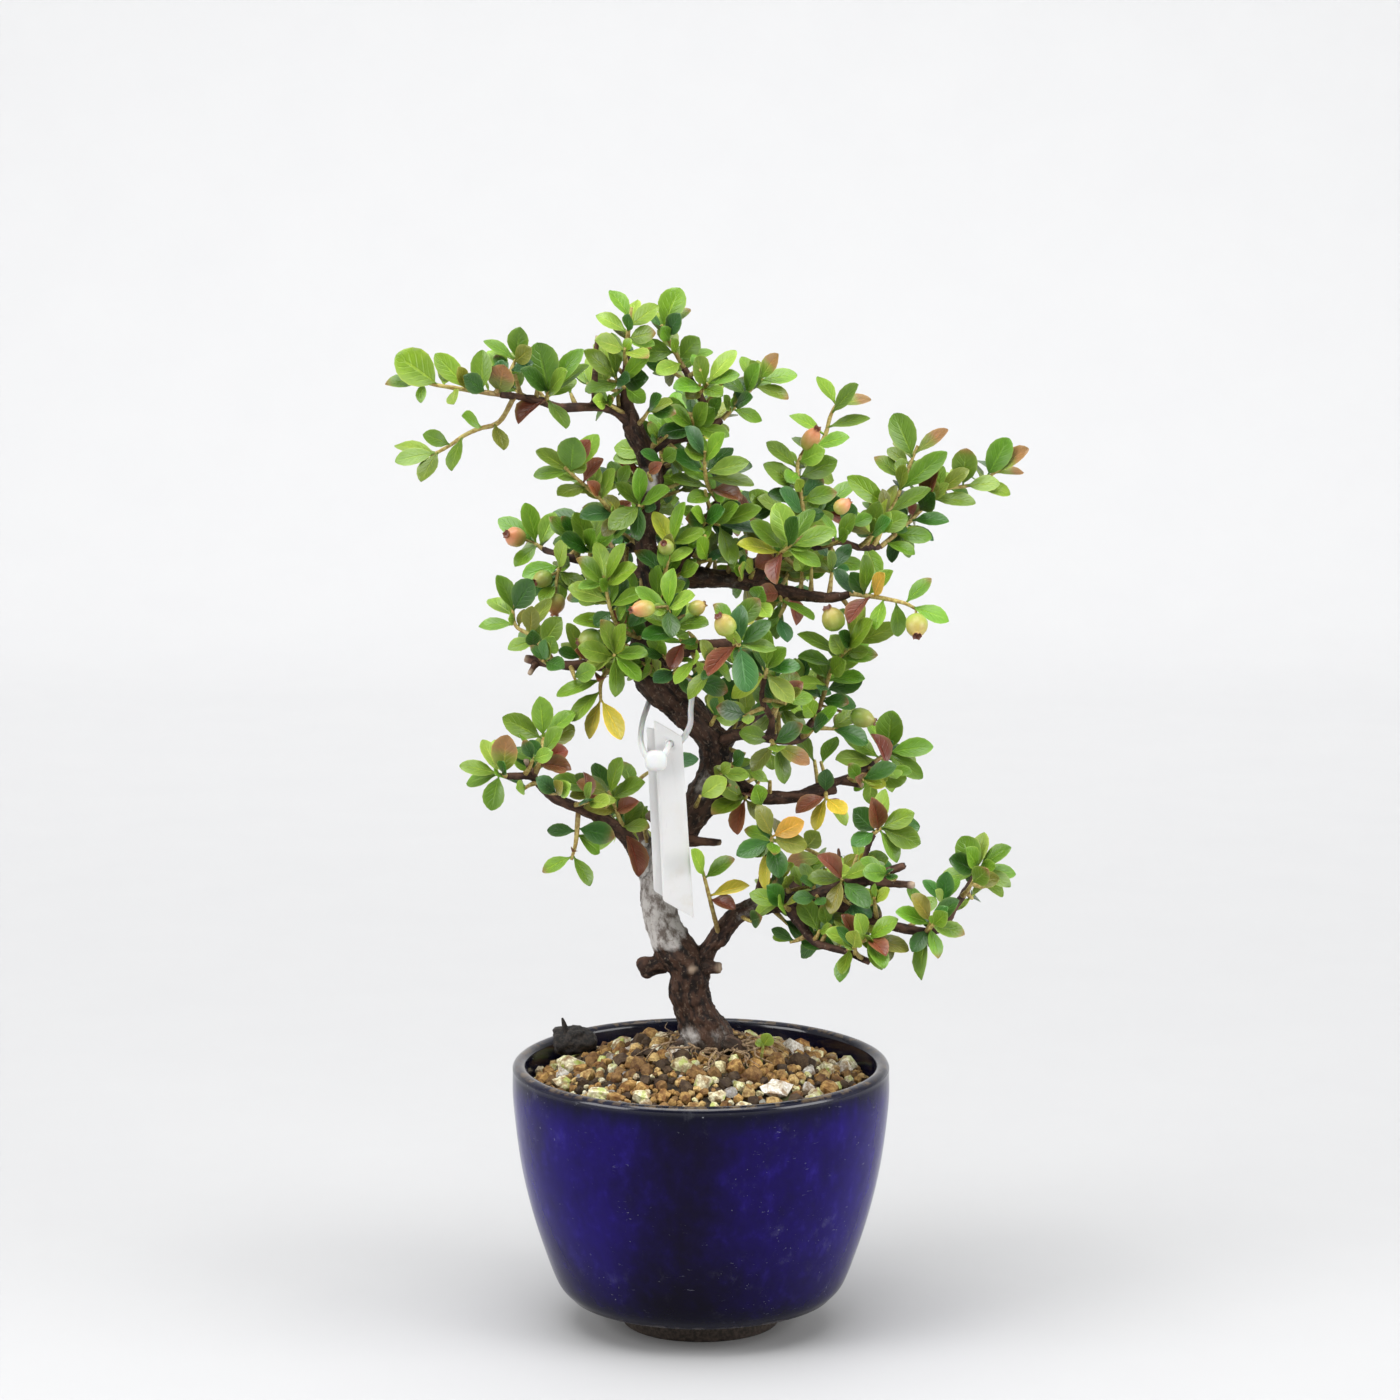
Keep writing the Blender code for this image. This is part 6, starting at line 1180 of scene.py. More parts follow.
def glaze_finish():
    """Deep blue glaze, near black at the lip and above the foot, scratched.

    Painted shade makes it near black in front and behind, and inside above the soil, and
    painted light clears the blue towards the two sides. Dust and short scratches lie in patches.
    """
    look = Finish("blue_glaze", IOR=1.45)
    across, back, height = look.parts(look.place)
    off = look.maths("ABSOLUTE", look.maths("SUBTRACT", across, float(POT_AXIS[0])))
    back = look.maths("SUBTRACT", back, float(POT_AXIS[1]))
    radius = look.maths("SQRT", look.times_plus(off, off, look.times(back, back)))
    inside = look.times(look.step(radius, 0.0424, 0.0412), look.step(height, 0.046, 0.05))
    shine = look.most(inside, look.step(height, 0.0614, 0.063))
    cloud = look.noise(19, 3, stretch=(1, 1, 0.7))
    mottle = look.noise(3.4, 5, stretch=(1, 1, 0.8))
    broad = look.noise(34, 2)
    # painted shade and light: with the random clouds, the distance across from the axis makes the
    # glaze near black in front and behind and bluer towards the two sides
    clear = look.times_plus(broad, 0.05, look.times_plus(cloud, 0.06, off))
    clear = look.times_plus(look.maths("SUBTRACT", mottle, 0.5), 0.03, clear)
    blue = look.mix(look.step(clear, 0.04, 0.122), (0.0035, 0.0018, 0.014), (0.0125, 0.004, 0.145))
    # brighter mottled blue, only where the painted side light has cleared the blue
    mottle_in_painted_light = look.times(look.step(mottle, 0.5, 0.85, 0, 0.5), look.step(clear, 0.05, 0.1))
    blue = look.mix(mottle_in_painted_light, blue, (0.028, 0.017, 0.24))
    blue = look.multiplied_mix(look.step(height, 0.035, 0.008, 0, 0.85), blue, (0.36, 0.3, 0.3))
    # painted shade: the inside above the soil is darkened towards near black
    blue = look.mix(look.times(inside, 0.8), blue, (0.004, 0.006, 0.022))
    runs = look.noise(2.6, 4, stretch=(1, 1, 0.2))
    edge = look.times_plus(runs, 0.005, height)
    blue = look.mix(look.step(edge, 0.0575, 0.0658, 0, 0.93), blue, (0.003, 0.0035, 0.009))
    worn = look.times(look.step(height, 0.0631, 0.0638), look.step(runs, 0.47, 0.6))
    blue = look.mix(look.times(worn, 0.7), blue, (0.13, 0.09, 0.05))
    foot = look.step(look.times_plus(mottle, 0.006, height), 0.0175, 0.0098)
    blue = look.mix(foot, blue, (0.004, 0.004, 0.013))
    sill = look.times(look.step(height, 0.0082, 0.0069), look.step(runs, 0.4, 0.6, 0.1, 0.6))
    blue = look.mix(sill, blue, (0.16, 0.14, 0.13))
    patches = look.step(look.noise(15, 3), 0.5, 0.64)
    specks = look.step(look.noise(0.75, 2), 0.7, 0.76)
    haze = look.step(look.noise(5.5, 6, stretch=(1, 1, 0.8), roughness=0.7), 0.52, 0.78)
    scratch = look.noise(1.1, 4, stretch=(0.45, 0.45, 1.6), roughness=0.7)
    scratch = look.step(scratch, 0.645, 0.69)
    scratch = look.times(scratch, look.step(look.noise(6, 2), 0.5, 0.62))
    dust = look.times(patches, look.most(specks, scratch))
    dust = look.most(look.times(dust, 0.55), look.times(look.times(haze, patches), 0.1))
    dust = look.most(dust, look.times(scratch, 0.16))
    colour = look.mix(dust, blue, (0.36, 0.37, 0.42))
    rough = look.times_plus(dust, 0.8, look.step(cloud, 0.3, 0.7, 0.1, 0.2))
    relief = look.relief(look.noise(9, 2), 0.12)
    relief = look.relief(look.noise(0.8, 2), 0.01, relief)
    gloss = look.times_plus(shine, 0.42, 0.12)
    return look.set(Base_Color=colour, Roughness=rough, Normal=relief, Specular_IOR_Level=gloss)


def clay_finish():
    """Unglazed dark brown clay of the foot and the underside, with fine grit."""
    look = Finish("fired_clay")
    grit = look.noise(0.8, 4)
    colour = look.mix(look.step(grit, 0.35, 0.7), (0.028, 0.02, 0.015), (0.09, 0.066, 0.05))
    rough = look.times_plus(grit, 0.2, 0.62)
    return look.set(Base_Color=colour, Roughness=rough, Normal=look.relief(grit, 0.08))


def soil_finish():
    """Fine damp soil between the grains, dark brown with paler crumbs."""
    look = Finish("soil_crumb")
    crumb = look.noise(1.1, 5)
    colour = look.mix(look.step(crumb, 0.35, 0.65), (0.01, 0.0065, 0.0035), (0.065, 0.04, 0.017))
    moss = look.step(look.noise(9, 2), 0.58, 0.68)
    colour = look.mix(look.times(moss, 0.5), colour, (0.07, 0.1, 0.02))
    rough = look.times_plus(crumb, 0.2, 0.75)
    return look.set(Base_Color=colour, Roughness=rough, Normal=look.relief(crumb, 0.35))


def grain_finish():
    """Baked clay and pumice grains: each its own tint, pitted, with painted shade in the hollows.
    """
    look = Finish("soil_grain")
    tint = look.carried("tint")
    pits = look.noise(0.55, 4)
    patch = look.noise(1.9, 3)
    dark = look.multiplied_mix(look.step(patch, 0.4, 0.66), tint["Color"], (0.42, 0.3, 0.2))
    # painted shade: the hollows of the pitted relief are darkened
    colour = look.multiplied_mix(look.step(pits, 0.62, 0.42, 0, 0.65), dark, (0.5, 0.42, 0.34))
    algae = look.times(look.step(look.noise(2.6, 3), 0.5, 0.6), tint["Alpha"])
    colour = look.mix(look.times(algae, 0.75), colour, (0.36, 0.46, 0.07))
    rough = look.times_plus(pits, 0.25, 0.68)
    return look.set(Base_Color=colour, Roughness=rough, Normal=look.relief(pits, 0.22))


def bark_finish():
    """Bark that follows the limb: dark flakes over grey-brown, pale bloom where the tint says.

    The marks hold the straightened place on the limb. The tint's red is how thick the limb is,
    its green the pale bloom, its blue a fresh cut, and its alpha darkens it just above the soil.
    """
    look = Finish("bark", Specular_IOR_Level=0.28)
    tint = look.carried("tint")
    thick, bloom, cut = look.node("ShaderNodeSeparateColor", {0: tint["Color"]}).outputs
    limb = look.carried("marks")["Vector"]
    furrow = look.noise(1.6, 5, where=limb, stretch=(0.45, 1, 1))
    mottle = look.noise(2.6, 5, where=limb, stretch=(0.7, 1, 1), roughness=0.65)
    blotch = look.noise(7, 3, where=limb)
    old = look.mix(look.step(furrow, 0.38, 0.62), (0.008, 0.004, 0.003), (0.068, 0.033, 0.02))
    old = look.mix(look.step(blotch, 0.48, 0.66, 0, 0.4), old, (0.1, 0.064, 0.044))
    crust = look.step(look.noise(0.75, 4, where=limb, stretch=(0.7, 1, 1)), 0.56, 0.66, 0, 0.4)
    old = look.mix(crust, old, (0.21, 0.15, 0.105))
    young = look.mix(look.step(furrow, 0.35, 0.65), (0.026, 0.012, 0.008), (0.11, 0.054, 0.034))
    colour = look.mix(look.step(thick, 0.25, 0.6), young, old)
    pale = look.mix(look.step(mottle, 0.36, 0.58), (0.12, 0.095, 0.08), (0.46, 0.435, 0.41))
    share = look.times_plus(blotch, 0.5, look.times_plus(mottle, 0.5, bloom))
    share = look.step(share, 0.82, 1.12)
    colour = look.mix(share, colour, pale)
    lenticel = look.step(look.noise(0.9, 2, where=limb, stretch=(1.4, 0.55, 0.55)), 0.66, 0.73)
    colour = look.mix(look.times(lenticel, 0.55), colour, (0.2, 0.16, 0.12))
    colour = look.mix(cut, colour, look.mix(furrow, (0.25, 0.16, 0.1), (0.55, 0.44, 0.33)))
    # darker bark just above the soil, as far as the tint's alpha says
    colour = look.mix(look.times(tint["Alpha"], 0.75), colour, (0.035, 0.024, 0.014))
    rough = look.times_plus(furrow, 0.25, 0.6)
    rugged = look.times(furrow, look.times_plus(share, -0.7, 1.0))
    relief = look.relief(mottle, 0.25, look.relief(rugged, 0.6))
    return look.set(Base_Color=colour, Roughness=rough, Normal=relief)


def leaf_finish():
    """Leaf: its tint, darker between faint side veins, with a paler midrib, rim and underside.

    The marks hold the place across the leaf (-1 to 1), along it (0 to 1), and the leaf's draw.
    The tint's alpha is 1 on the upper face and 0 underneath.
    """
    look = Finish("leaf", Subsurface_Weight=0.1, Subsurface_Scale=0.0005,
                  Subsurface_Radius=(0.8, 1.0, 0.25), Specular_IOR_Level=0.42)
    tint = look.carried("tint")
    across, along, draw = look.parts(look.carried("marks")["Vector"])
    off = look.maths("ABSOLUTE", across)
    under = look.maths("SUBTRACT", 1.0, tint["Alpha"])
    vein_place = look.times_plus(off, -0.34, along)
    veins = look.maths("SINE", look.times(vein_place, 42.0))
    veins = look.times(look.step(veins, 0.5, 1.0), look.step(off, 0.95, 0.5))
    cloud = look.noise(3.2, 3)
    fine = look.noise(0.7, 3)
    colour = look.multiplied_mix(look.step(cloud, 0.32, 0.68, 0, 0.5), tint["Color"], (0.62, 0.7, 0.6))
    colour = look.multiplied_mix(look.step(fine, 0.35, 0.7, 0, 0.22), colour, (0.6, 0.7, 0.5))
    deep = look.times(look.step(off, 0.95, 0.3), look.step(draw, 0.1, 1.0, 0.1, 0.55))
    colour = look.multiplied_mix(deep, colour, (0.66, 0.78, 0.6))
    colour = look.multiplied_mix(look.times(veins, 0.16), colour, (1.7, 1.55, 1.5))
    rib = look.times(look.step(off, 0.12, 0.03), look.step(along, 1.0, 0.4))
    colour = look.multiplied_mix(look.times(rib, 0.55), colour, (2.1, 1.75, 2.0))
    rim = look.times(look.step(off, 0.88, 0.99), 0.6)
    colour = look.multiplied_mix(rim, colour, (1.9, 1.5, 1.3))
    colour = look.mix(look.times(under, 0.38), colour, (0.23, 0.33, 0.13))
    rough = look.times_plus(under, 0.22, look.times_plus(cloud, 0.16, 0.24))
    height = look.maths("SUBTRACT", look.times(veins, -0.35), rib)
    relief = look.relief(look.times_plus(cloud, 0.5, height), 0.14)
    return look.set(Base_Color=colour, Roughness=rough, Normal=relief)


def stem_finish():
    """Young stem and berry stalk: the tint, with darker streaks."""
    look = Finish("young_stem", Specular_IOR_Level=0.4)
    tint = look.carried("tint")
    streak = look.noise(0.8, 4)
    colour = look.multiplied_mix(look.step(streak, 0.35, 0.65), tint["Color"], (0.6, 0.46, 0.36))
    rough = look.times_plus(streak, 0.2, 0.5)
    return look.set(Base_Color=colour, Roughness=rough, Normal=look.relief(streak, 0.12))


def fruit_finish():
    """Berry: the tint clouded with its blush, finely spotted, with a soft waxy gloss."""
    look = Finish("berry", Subsurface_Weight=0.15, Subsurface_Scale=0.001,
                  Subsurface_Radius=(1.0, 0.6, 0.3))
    tint = look.carried("tint")
    cloud = look.noise(1.8, 3)
    colour = look.multiplied_mix(look.step(cloud, 0.35, 0.7, 0, 0.5), tint["Color"], (0.8, 0.66, 0.5))
    spots = look.step(look.noise(0.35, 2), 0.66, 0.72)
    colour = look.mix(look.times(spots, 0.3), colour, (0.6, 0.55, 0.3))
    rough = look.times_plus(cloud, 0.15, 0.3)
    return look.set(Base_Color=colour, Roughness=rough, Normal=look.relief(cloud, 0.06))


def cake_finish():
    """Pressed plant feed, nearly black, with browner crumbs."""
    look = Finish("plant_feed")
    crumb = look.noise(0.9, 5, roughness=0.7)
    colour = look.mix(look.step(crumb, 0.4, 0.72), (0.006, 0.005, 0.005), (0.07, 0.055, 0.045))
    rough = look.times_plus(crumb, 0.25, 0.6)
    return look.set(Base_Color=colour, Roughness=rough, Normal=look.relief(crumb, 0.5))


def tag_finish():
    """White plastic of a plant tag, scuffed and smudged with soil towards its foot."""
    look = Finish("tag_plastic", Subsurface_Weight=0.05, Subsurface_Scale=0.0008)
    height = look.parts(look.place)[2]
    smudge = look.step(look.noise(6, 4), 0.5, 0.72)
    low = look.step(height, 0.118, 0.102, 0.25, 1.0)
    dirt = look.times(smudge, low)
    colour = look.mix(look.times(dirt, 0.35), (0.7, 0.695, 0.69), (0.5, 0.42, 0.28))
    scuffs = look.step(look.noise(0.7, 3, stretch=(1, 1, 0.2)), 0.62, 0.7)
    colour = look.mix(look.times(scuffs, 0.12), colour, (0.4, 0.4, 0.44))
    rough = look.times_plus(scuffs, 0.2, 0.32)
    relief = look.relief(look.noise(0.5, 2), 0.01)
    return look.set(Base_Color=colour, Roughness=rough, Normal=relief)


def tie_finish():
    """Milky nylon of the cable tie."""
    look = Finish("milky_nylon", Subsurface_Weight=0.3, Subsurface_Scale=0.001,
                  Transmission_Weight=0.25, IOR=1.5)
    cloud = look.noise(2.5, 2)
    colour = look.mix(look.step(cloud, 0.3, 0.7), (0.86, 0.87, 0.88), (0.93, 0.93, 0.92))
    rough = look.times_plus(cloud, 0.15, 0.28)
    return look.set(Base_Color=colour, Roughness=rough, Normal=look.relief(cloud, 0.05))


def root_finish():
    """Fine roots, tan and brown in streaks."""
    look = Finish("fine_root")
    streak = look.noise(0.7, 3)
    colour = look.mix(look.step(streak, 0.35, 0.65), (0.14, 0.085, 0.045), (0.36, 0.25, 0.14))
    rough = look.times_plus(streak, 0.15, 0.7)
    return look.set(Base_Color=colour, Roughness=rough, Normal=look.relief(streak, 0.08))


def net_finish():
    """Black plastic of the net over the drain hole."""
    look = Finish("net_plastic")
    grain = look.noise(1.2, 3)
    colour = look.mix(look.step(grain, 0.3, 0.7), (0.008, 0.008, 0.009), (0.025, 0.025, 0.027))
    rough = look.times_plus(grain, 0.2, 0.4)
    return look.set(Base_Color=colour, Roughness=rough, Normal=look.relief(grain, 0.03))


# The tree

# Leaf colours by tone, and the points that a leaf is worked out at: shares of its length, and
# shares of its half width with the side that each lies on, upper (1), rim (0) or under (-1)
TONES = {"g": (0.185, 0.325, 0.026), "l": (0.31, 0.45, 0.058), "d": (0.05, 0.15, 0.018),
         "b": (0.055, 0.16, 0.045), "v": (0.23, 0.235, 0.032), "y": (0.7, 0.55, 0.05),
         "o": (0.24, 0.32, 0.045), "a": (0.68, 0.36, 0.05), "k": (0.41, 0.47, 0.045),
         "r": (0.25, 0.075, 0.04)}
TIP_TONE = (0.36, 0.14, 0.06)
LEAF_STATIONS = np.array([0.0, 0.1, 0.18, 0.32, 0.5, 0.68, 0.83, 0.94, 0.985, 1.0])
LEAF_ACROSS = np.array([-1, -0.6, 0, 0.6, 1, 0.6, 0, -0.6])
LEAF_SIDE = np.array([0, 1, 1, 1, 0, -1, -1, -1])
STALK_SHARE = 0.11            # of a leaf's length
STALK_RADIUS = 0.24
LEAF_HALF_THICKNESS = 0.11
STEM_SIDES = 8
GREEN_STEM = np.array([0.5, 0.42, 0.13])
BROWN_STEM = np.array([0.2, 0.11, 0.06])


def leaf_rings(leaves, draws):
    """Rings of each leaf, from its stalk to its tip, as (leaves, stations, points, 3).

    Past the stalk the half width at share t goes as t^a times (1 - t)^b, over its own peak at
    a / (a + b), so a leaf is widest past its middle and bluntly pointed at its tip. The blade
    folds up from its midrib, is arched from base to tip, and its rim waves a little.
    """
    take = lambda key: np.array([leaf[key] for leaf in leaves], dtype=float)
    base, along, side, up = (take(key)[:, None, None] for key in ("base", "along", "side", "up"))
    length, width, fold, arch, wide = (take(key)[:, None] for key in
                                       ("length", "width", "fold", "arch", "wide"))
    share = LEAF_STATIONS[None]
    t = np.clip((share - STALK_SHARE) / (1 - STALK_SHARE), 0, 1)
    first, last = 0.86 - 0.14 * wide, 0.7 - 0.12 * wide
    peak = first / (first + last)
    half = width / 2 * (t / peak) ** first * ((1 - t) / (1 - peak)) ** last
    least = np.where(share < 0.3, STALK_RADIUS, 0.05)
    half = np.maximum(half, least)[..., None]
    x = LEAF_ACROSS * half
    phase = draws.uniform(0, math.tau, (len(leaves), 1, 1))
    ripple = 0.035 * width[..., None] * np.sin(share[..., None] * 9 + phase + LEAF_ACROSS)
    lift = (fold[..., None] * (np.sqrt(x ** 2 + 0.1) - 0.316)
            + arch[..., None] * (share - share ** 2)[..., None] * length[..., None]
            + ripple * np.abs(LEAF_ACROSS) ** 3 * t[..., None])
    thick = np.where(t > 0, LEAF_HALF_THICKNESS, STALK_RADIUS)[..., None] * LEAF_SIDE
    reach = (share * length)[..., None]
    return (base + along * reach[..., None] + side * x[..., None]
            + up * (lift + thick)[..., None])


def leaf_looks(leaves, draws):
    """Tint and marks of each leaf's points: its tone with a draw of its own, dulled or fresher.

    A turning leaf browns from its tip, and so does one in eight of the others, but only there.
    """
    count = len(leaves)
    colour = np.array([TONES[leaf["tone"]] for leaf in leaves])
    colour = colour * draws.uniform(0.68, 1.22, (count, 1)) * draws.uniform(0.88, 1.12, (count, 3))
    shape = (count, len(LEAF_STATIONS), len(LEAF_ACROSS))
    tint = np.ones((*shape, 4))
    turning = np.array([leaf["tone"] == "o" for leaf in leaves])
    start = np.where(turning, 0.45, np.where(draws.random(count) < 0.12, 0.8, 2.0))[:, None]
    brown = np.clip((LEAF_STATIONS - start) / 0.25, 0, 0.85)[..., None, None]
    fresh = np.clip(colour, 0, 0.9)[:, None, None]
    tint[..., :3] = fresh * (1 - brown) + np.array(TIP_TONE) * brown
    tint[..., 3] = (LEAF_SIDE > 0) + 0.6 * (LEAF_SIDE == 0)
    marks = np.zeros((*shape, 3))
    marks[..., 0] = LEAF_ACROSS
    marks[..., 1] = LEAF_STATIONS[:, None]
    marks[..., 2] = draws.uniform(0, 1, (count, 1, 1))
    return tint, marks


# Berry colours by tone, at the stalk and at the far end
FRUIT_TONES = {"o": ((0.4, 0.44, 0.09), (0.66, 0.27, 0.13)),
               "y": ((0.34, 0.46, 0.07), (0.52, 0.4, 0.12)),
               "g": ((0.22, 0.38, 0.05), (0.36, 0.38, 0.09))}
PIT_TONE = (0.16, 0.05, 0.03)
PIT_RINGS = 4                 # of the profile, at its end
FRUIT_PROFILE = [(0.0, 0.12), (0.03, 0.45), (0.12, 0.75), (0.3, 0.97), (0.48, 1.0), (0.66, 0.94),
                 (0.82, 0.74), (0.92, 0.5), (0.97, 0.4), (1.03, 0.44), (1.0, 0.3), (0.93, 0.2),
                 (0.92, 0.03)]
FRUIT_COLUMNS = 15
CALYX_TEETH = 5
FRUIT_STALK_RADIUS = 0.34
FRUIT_STALK_TONE = (0.3, 0.24, 0.08, 1)


def fruit_rings(base, middle, width, length):
    """A berry round its axis: its profile turned, with calyx teeth round the pit at its end."""
    base, middle = np.array(base), np.array(middle)
    axis = (middle - base) / np.linalg.norm(middle - base)
    first = np.cross(axis, (0.31, 0.2, 0.93))
    first /= np.linalg.norm(first)
    second = np.cross(axis, first)
    share, radius = np.array(FRUIT_PROFILE).T
    angles = np.arange(FRUIT_COLUMNS) * math.tau / FRUIT_COLUMNS
    teeth = 0.5 + 0.5 * np.cos(CALYX_TEETH * angles)
    crown = np.where(share > 1.0, 0.09, 0.0)
    reach = (share[:, None] - 0.5 + crown[:, None] * teeth) * length
    ridge = 1 + 0.03 * np.cos(CALYX_TEETH * angles)
    spread = radius[:, None] * width / 2 * ridge
    return (middle + axis * reach[..., None]
            + (first * np.cos(angles)[:, None] + second * np.sin(angles)[:, None])
            * spread[..., None])


def make_shoot(name, shoot, finishes):
    """A shoot: stems with small swellings along them, its leaves and its berries, as one piece."""
    skin = Skin()
    draws = np.random.default_rng(sum(map(ord, name)))
    for points in shoot["stems"]:
        path = curve_through([tuple(p) for p in points], 6)
        reach = np.linspace(0, 1, len(path))
        knots = 1 + 0.12 * np.sin(reach * 40 + draws.uniform(0, 6)) ** 4
        rings = tube_rings(path, (0.6 - 0.24 * reach) * knots, STEM_SIDES)
        age = np.clip(0.8 - 1.6 * reach, 0, 1)[:, None, None] * draws.uniform(0.3, 1)
        tint = np.ones((len(path), STEM_SIDES, 4))
        tint[..., :3] = GREEN_STEM * (1 - age) + BROWN_STEM * age
        skin.add(rings, 1, tint)
    if shoot["leaves"]:
        tint, marks = leaf_looks(shoot["leaves"], draws)
        skin.add(leaf_rings(shoot["leaves"], draws), 0, tint, marks)
    for base, middle, width, length, tone in shoot["fruit"]:
        rings = fruit_rings(base, middle, width, length)
        low, high = (np.array(colour) for colour in FRUIT_TONES[tone])
        share = np.array(FRUIT_PROFILE)[:, 0]
        blush = np.clip(share * 1.3 - 0.2 + draws.uniform(-0.15, 0.15), 0, 1)
        tint = np.ones((*rings.shape[:2], 4))
        tint[..., :3] = low + (high - low) * blush[:, None, None]
        tint[-PIT_RINGS:, :, :3] = PIT_TONE
        skin.add(rings, 2, tint)
        stalk = np.array([tuple(base), tuple(Vector(base).lerp(Vector(middle), 0.5))])
        skin.add(tube_rings(curve_through(stalk, 4), FRUIT_STALK_RADIUS, 6), 1, FRUIT_STALK_TONE)
    nodes = [f"shoot_{name}"] if f"shoot_{name}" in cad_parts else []
    return skin.piece(f"leafy_{name}", finishes, nodes)


# The wood
WOOD_VOXEL = 0.42
LIMB_STEP = 2.2               # between the rings of a limb
THICK_LIMB = 2.5              # the radius from which a limb has more sides
LIMB_APART = 50               # between the straightened places of two limbs
RIDGE_RISE, FLAKE_RISE, LUMP_RISE, SWELL_RISE = 0.3, 0.2, 0.34, 0.8
RELIEF_INSET = 0.27
CUT_REACH = 1.7
CHUNK = 4000                  # points that find their limb at once
# Where the bark is pale with bloom: middle, reach and how much
BLOOM_PLACES = [((-10.5, 101, 0), (7, 9, 8), 1.1), ((-11, 113, 0), (6, 8, 8), 1.0),
                ((-12, 205, 0), (3, 7, 4), 0.6), ((1.5, 133, 0), (4, 9, 5), 0.45),
                ((12, 104, -5), (7, 5, 6), 0.4), ((0, 68, -3), (8, 3.5, 8), 0.5),
                ((-3, 182, 2), (30, 5, 6), 0.3)]
# Fresh cuts and dead ends
CUT_PLACES = [(-41.5, 162.5, -5), (50.5, 108.2, -7), (-24.1, 238.7, -2), (38.5, 132.2, 0),
              (6.2, 126.3, -3), (5, 117.7, -4), (-13.2, 87.6, -1), (4.6, 88.2, -4),
              (-1.7, 87.6, -6), (-12.5, 125.5, -2), (-41.4, 138.4, -4), (-32, 133.2, -5),
              (-40.4, 158.8, -6)]
# Knobs and old scars that swell the bark: middle, reach and rise
KNOB_PLACES = [((-1.7, 87.6, -6), 1.8, 1.0), ((-13.6, 89.6, -2), 2.2, 1.3),
               ((-12.4, 85.6, -3), 1.7, 0.9), ((-10, 93, -5), 2.0, 0.7),
               ((-9.5, 104.5, -5), 1.6, 0.6), ((2.6, 76, -6), 2.4, 0.7),
               ((-2.6, 120, -4), 2.0, 0.8), ((-6, 147, -4), 2.2, 0.8), ((7, 98.5, -6), 1.8, 0.7),
               ((-3, 70.5, -7), 2.6, 0.8), ((16, 106.8, -6), 1.7, 0.6), ((-9.5, 163, -4), 2.0, 0.8)]


def limb_paths():
    """Every limb of the wood as points and radii about two millimetres apart."""
    limbs = []
    for rows in (TRUNK, *BRANCHES, *TWIGS):
        points, radii = smooth_route(rows, LIMB_STEP)
        limbs.append((np.array([tuple(p) for p in points]), np.array(radii)))
    return limbs


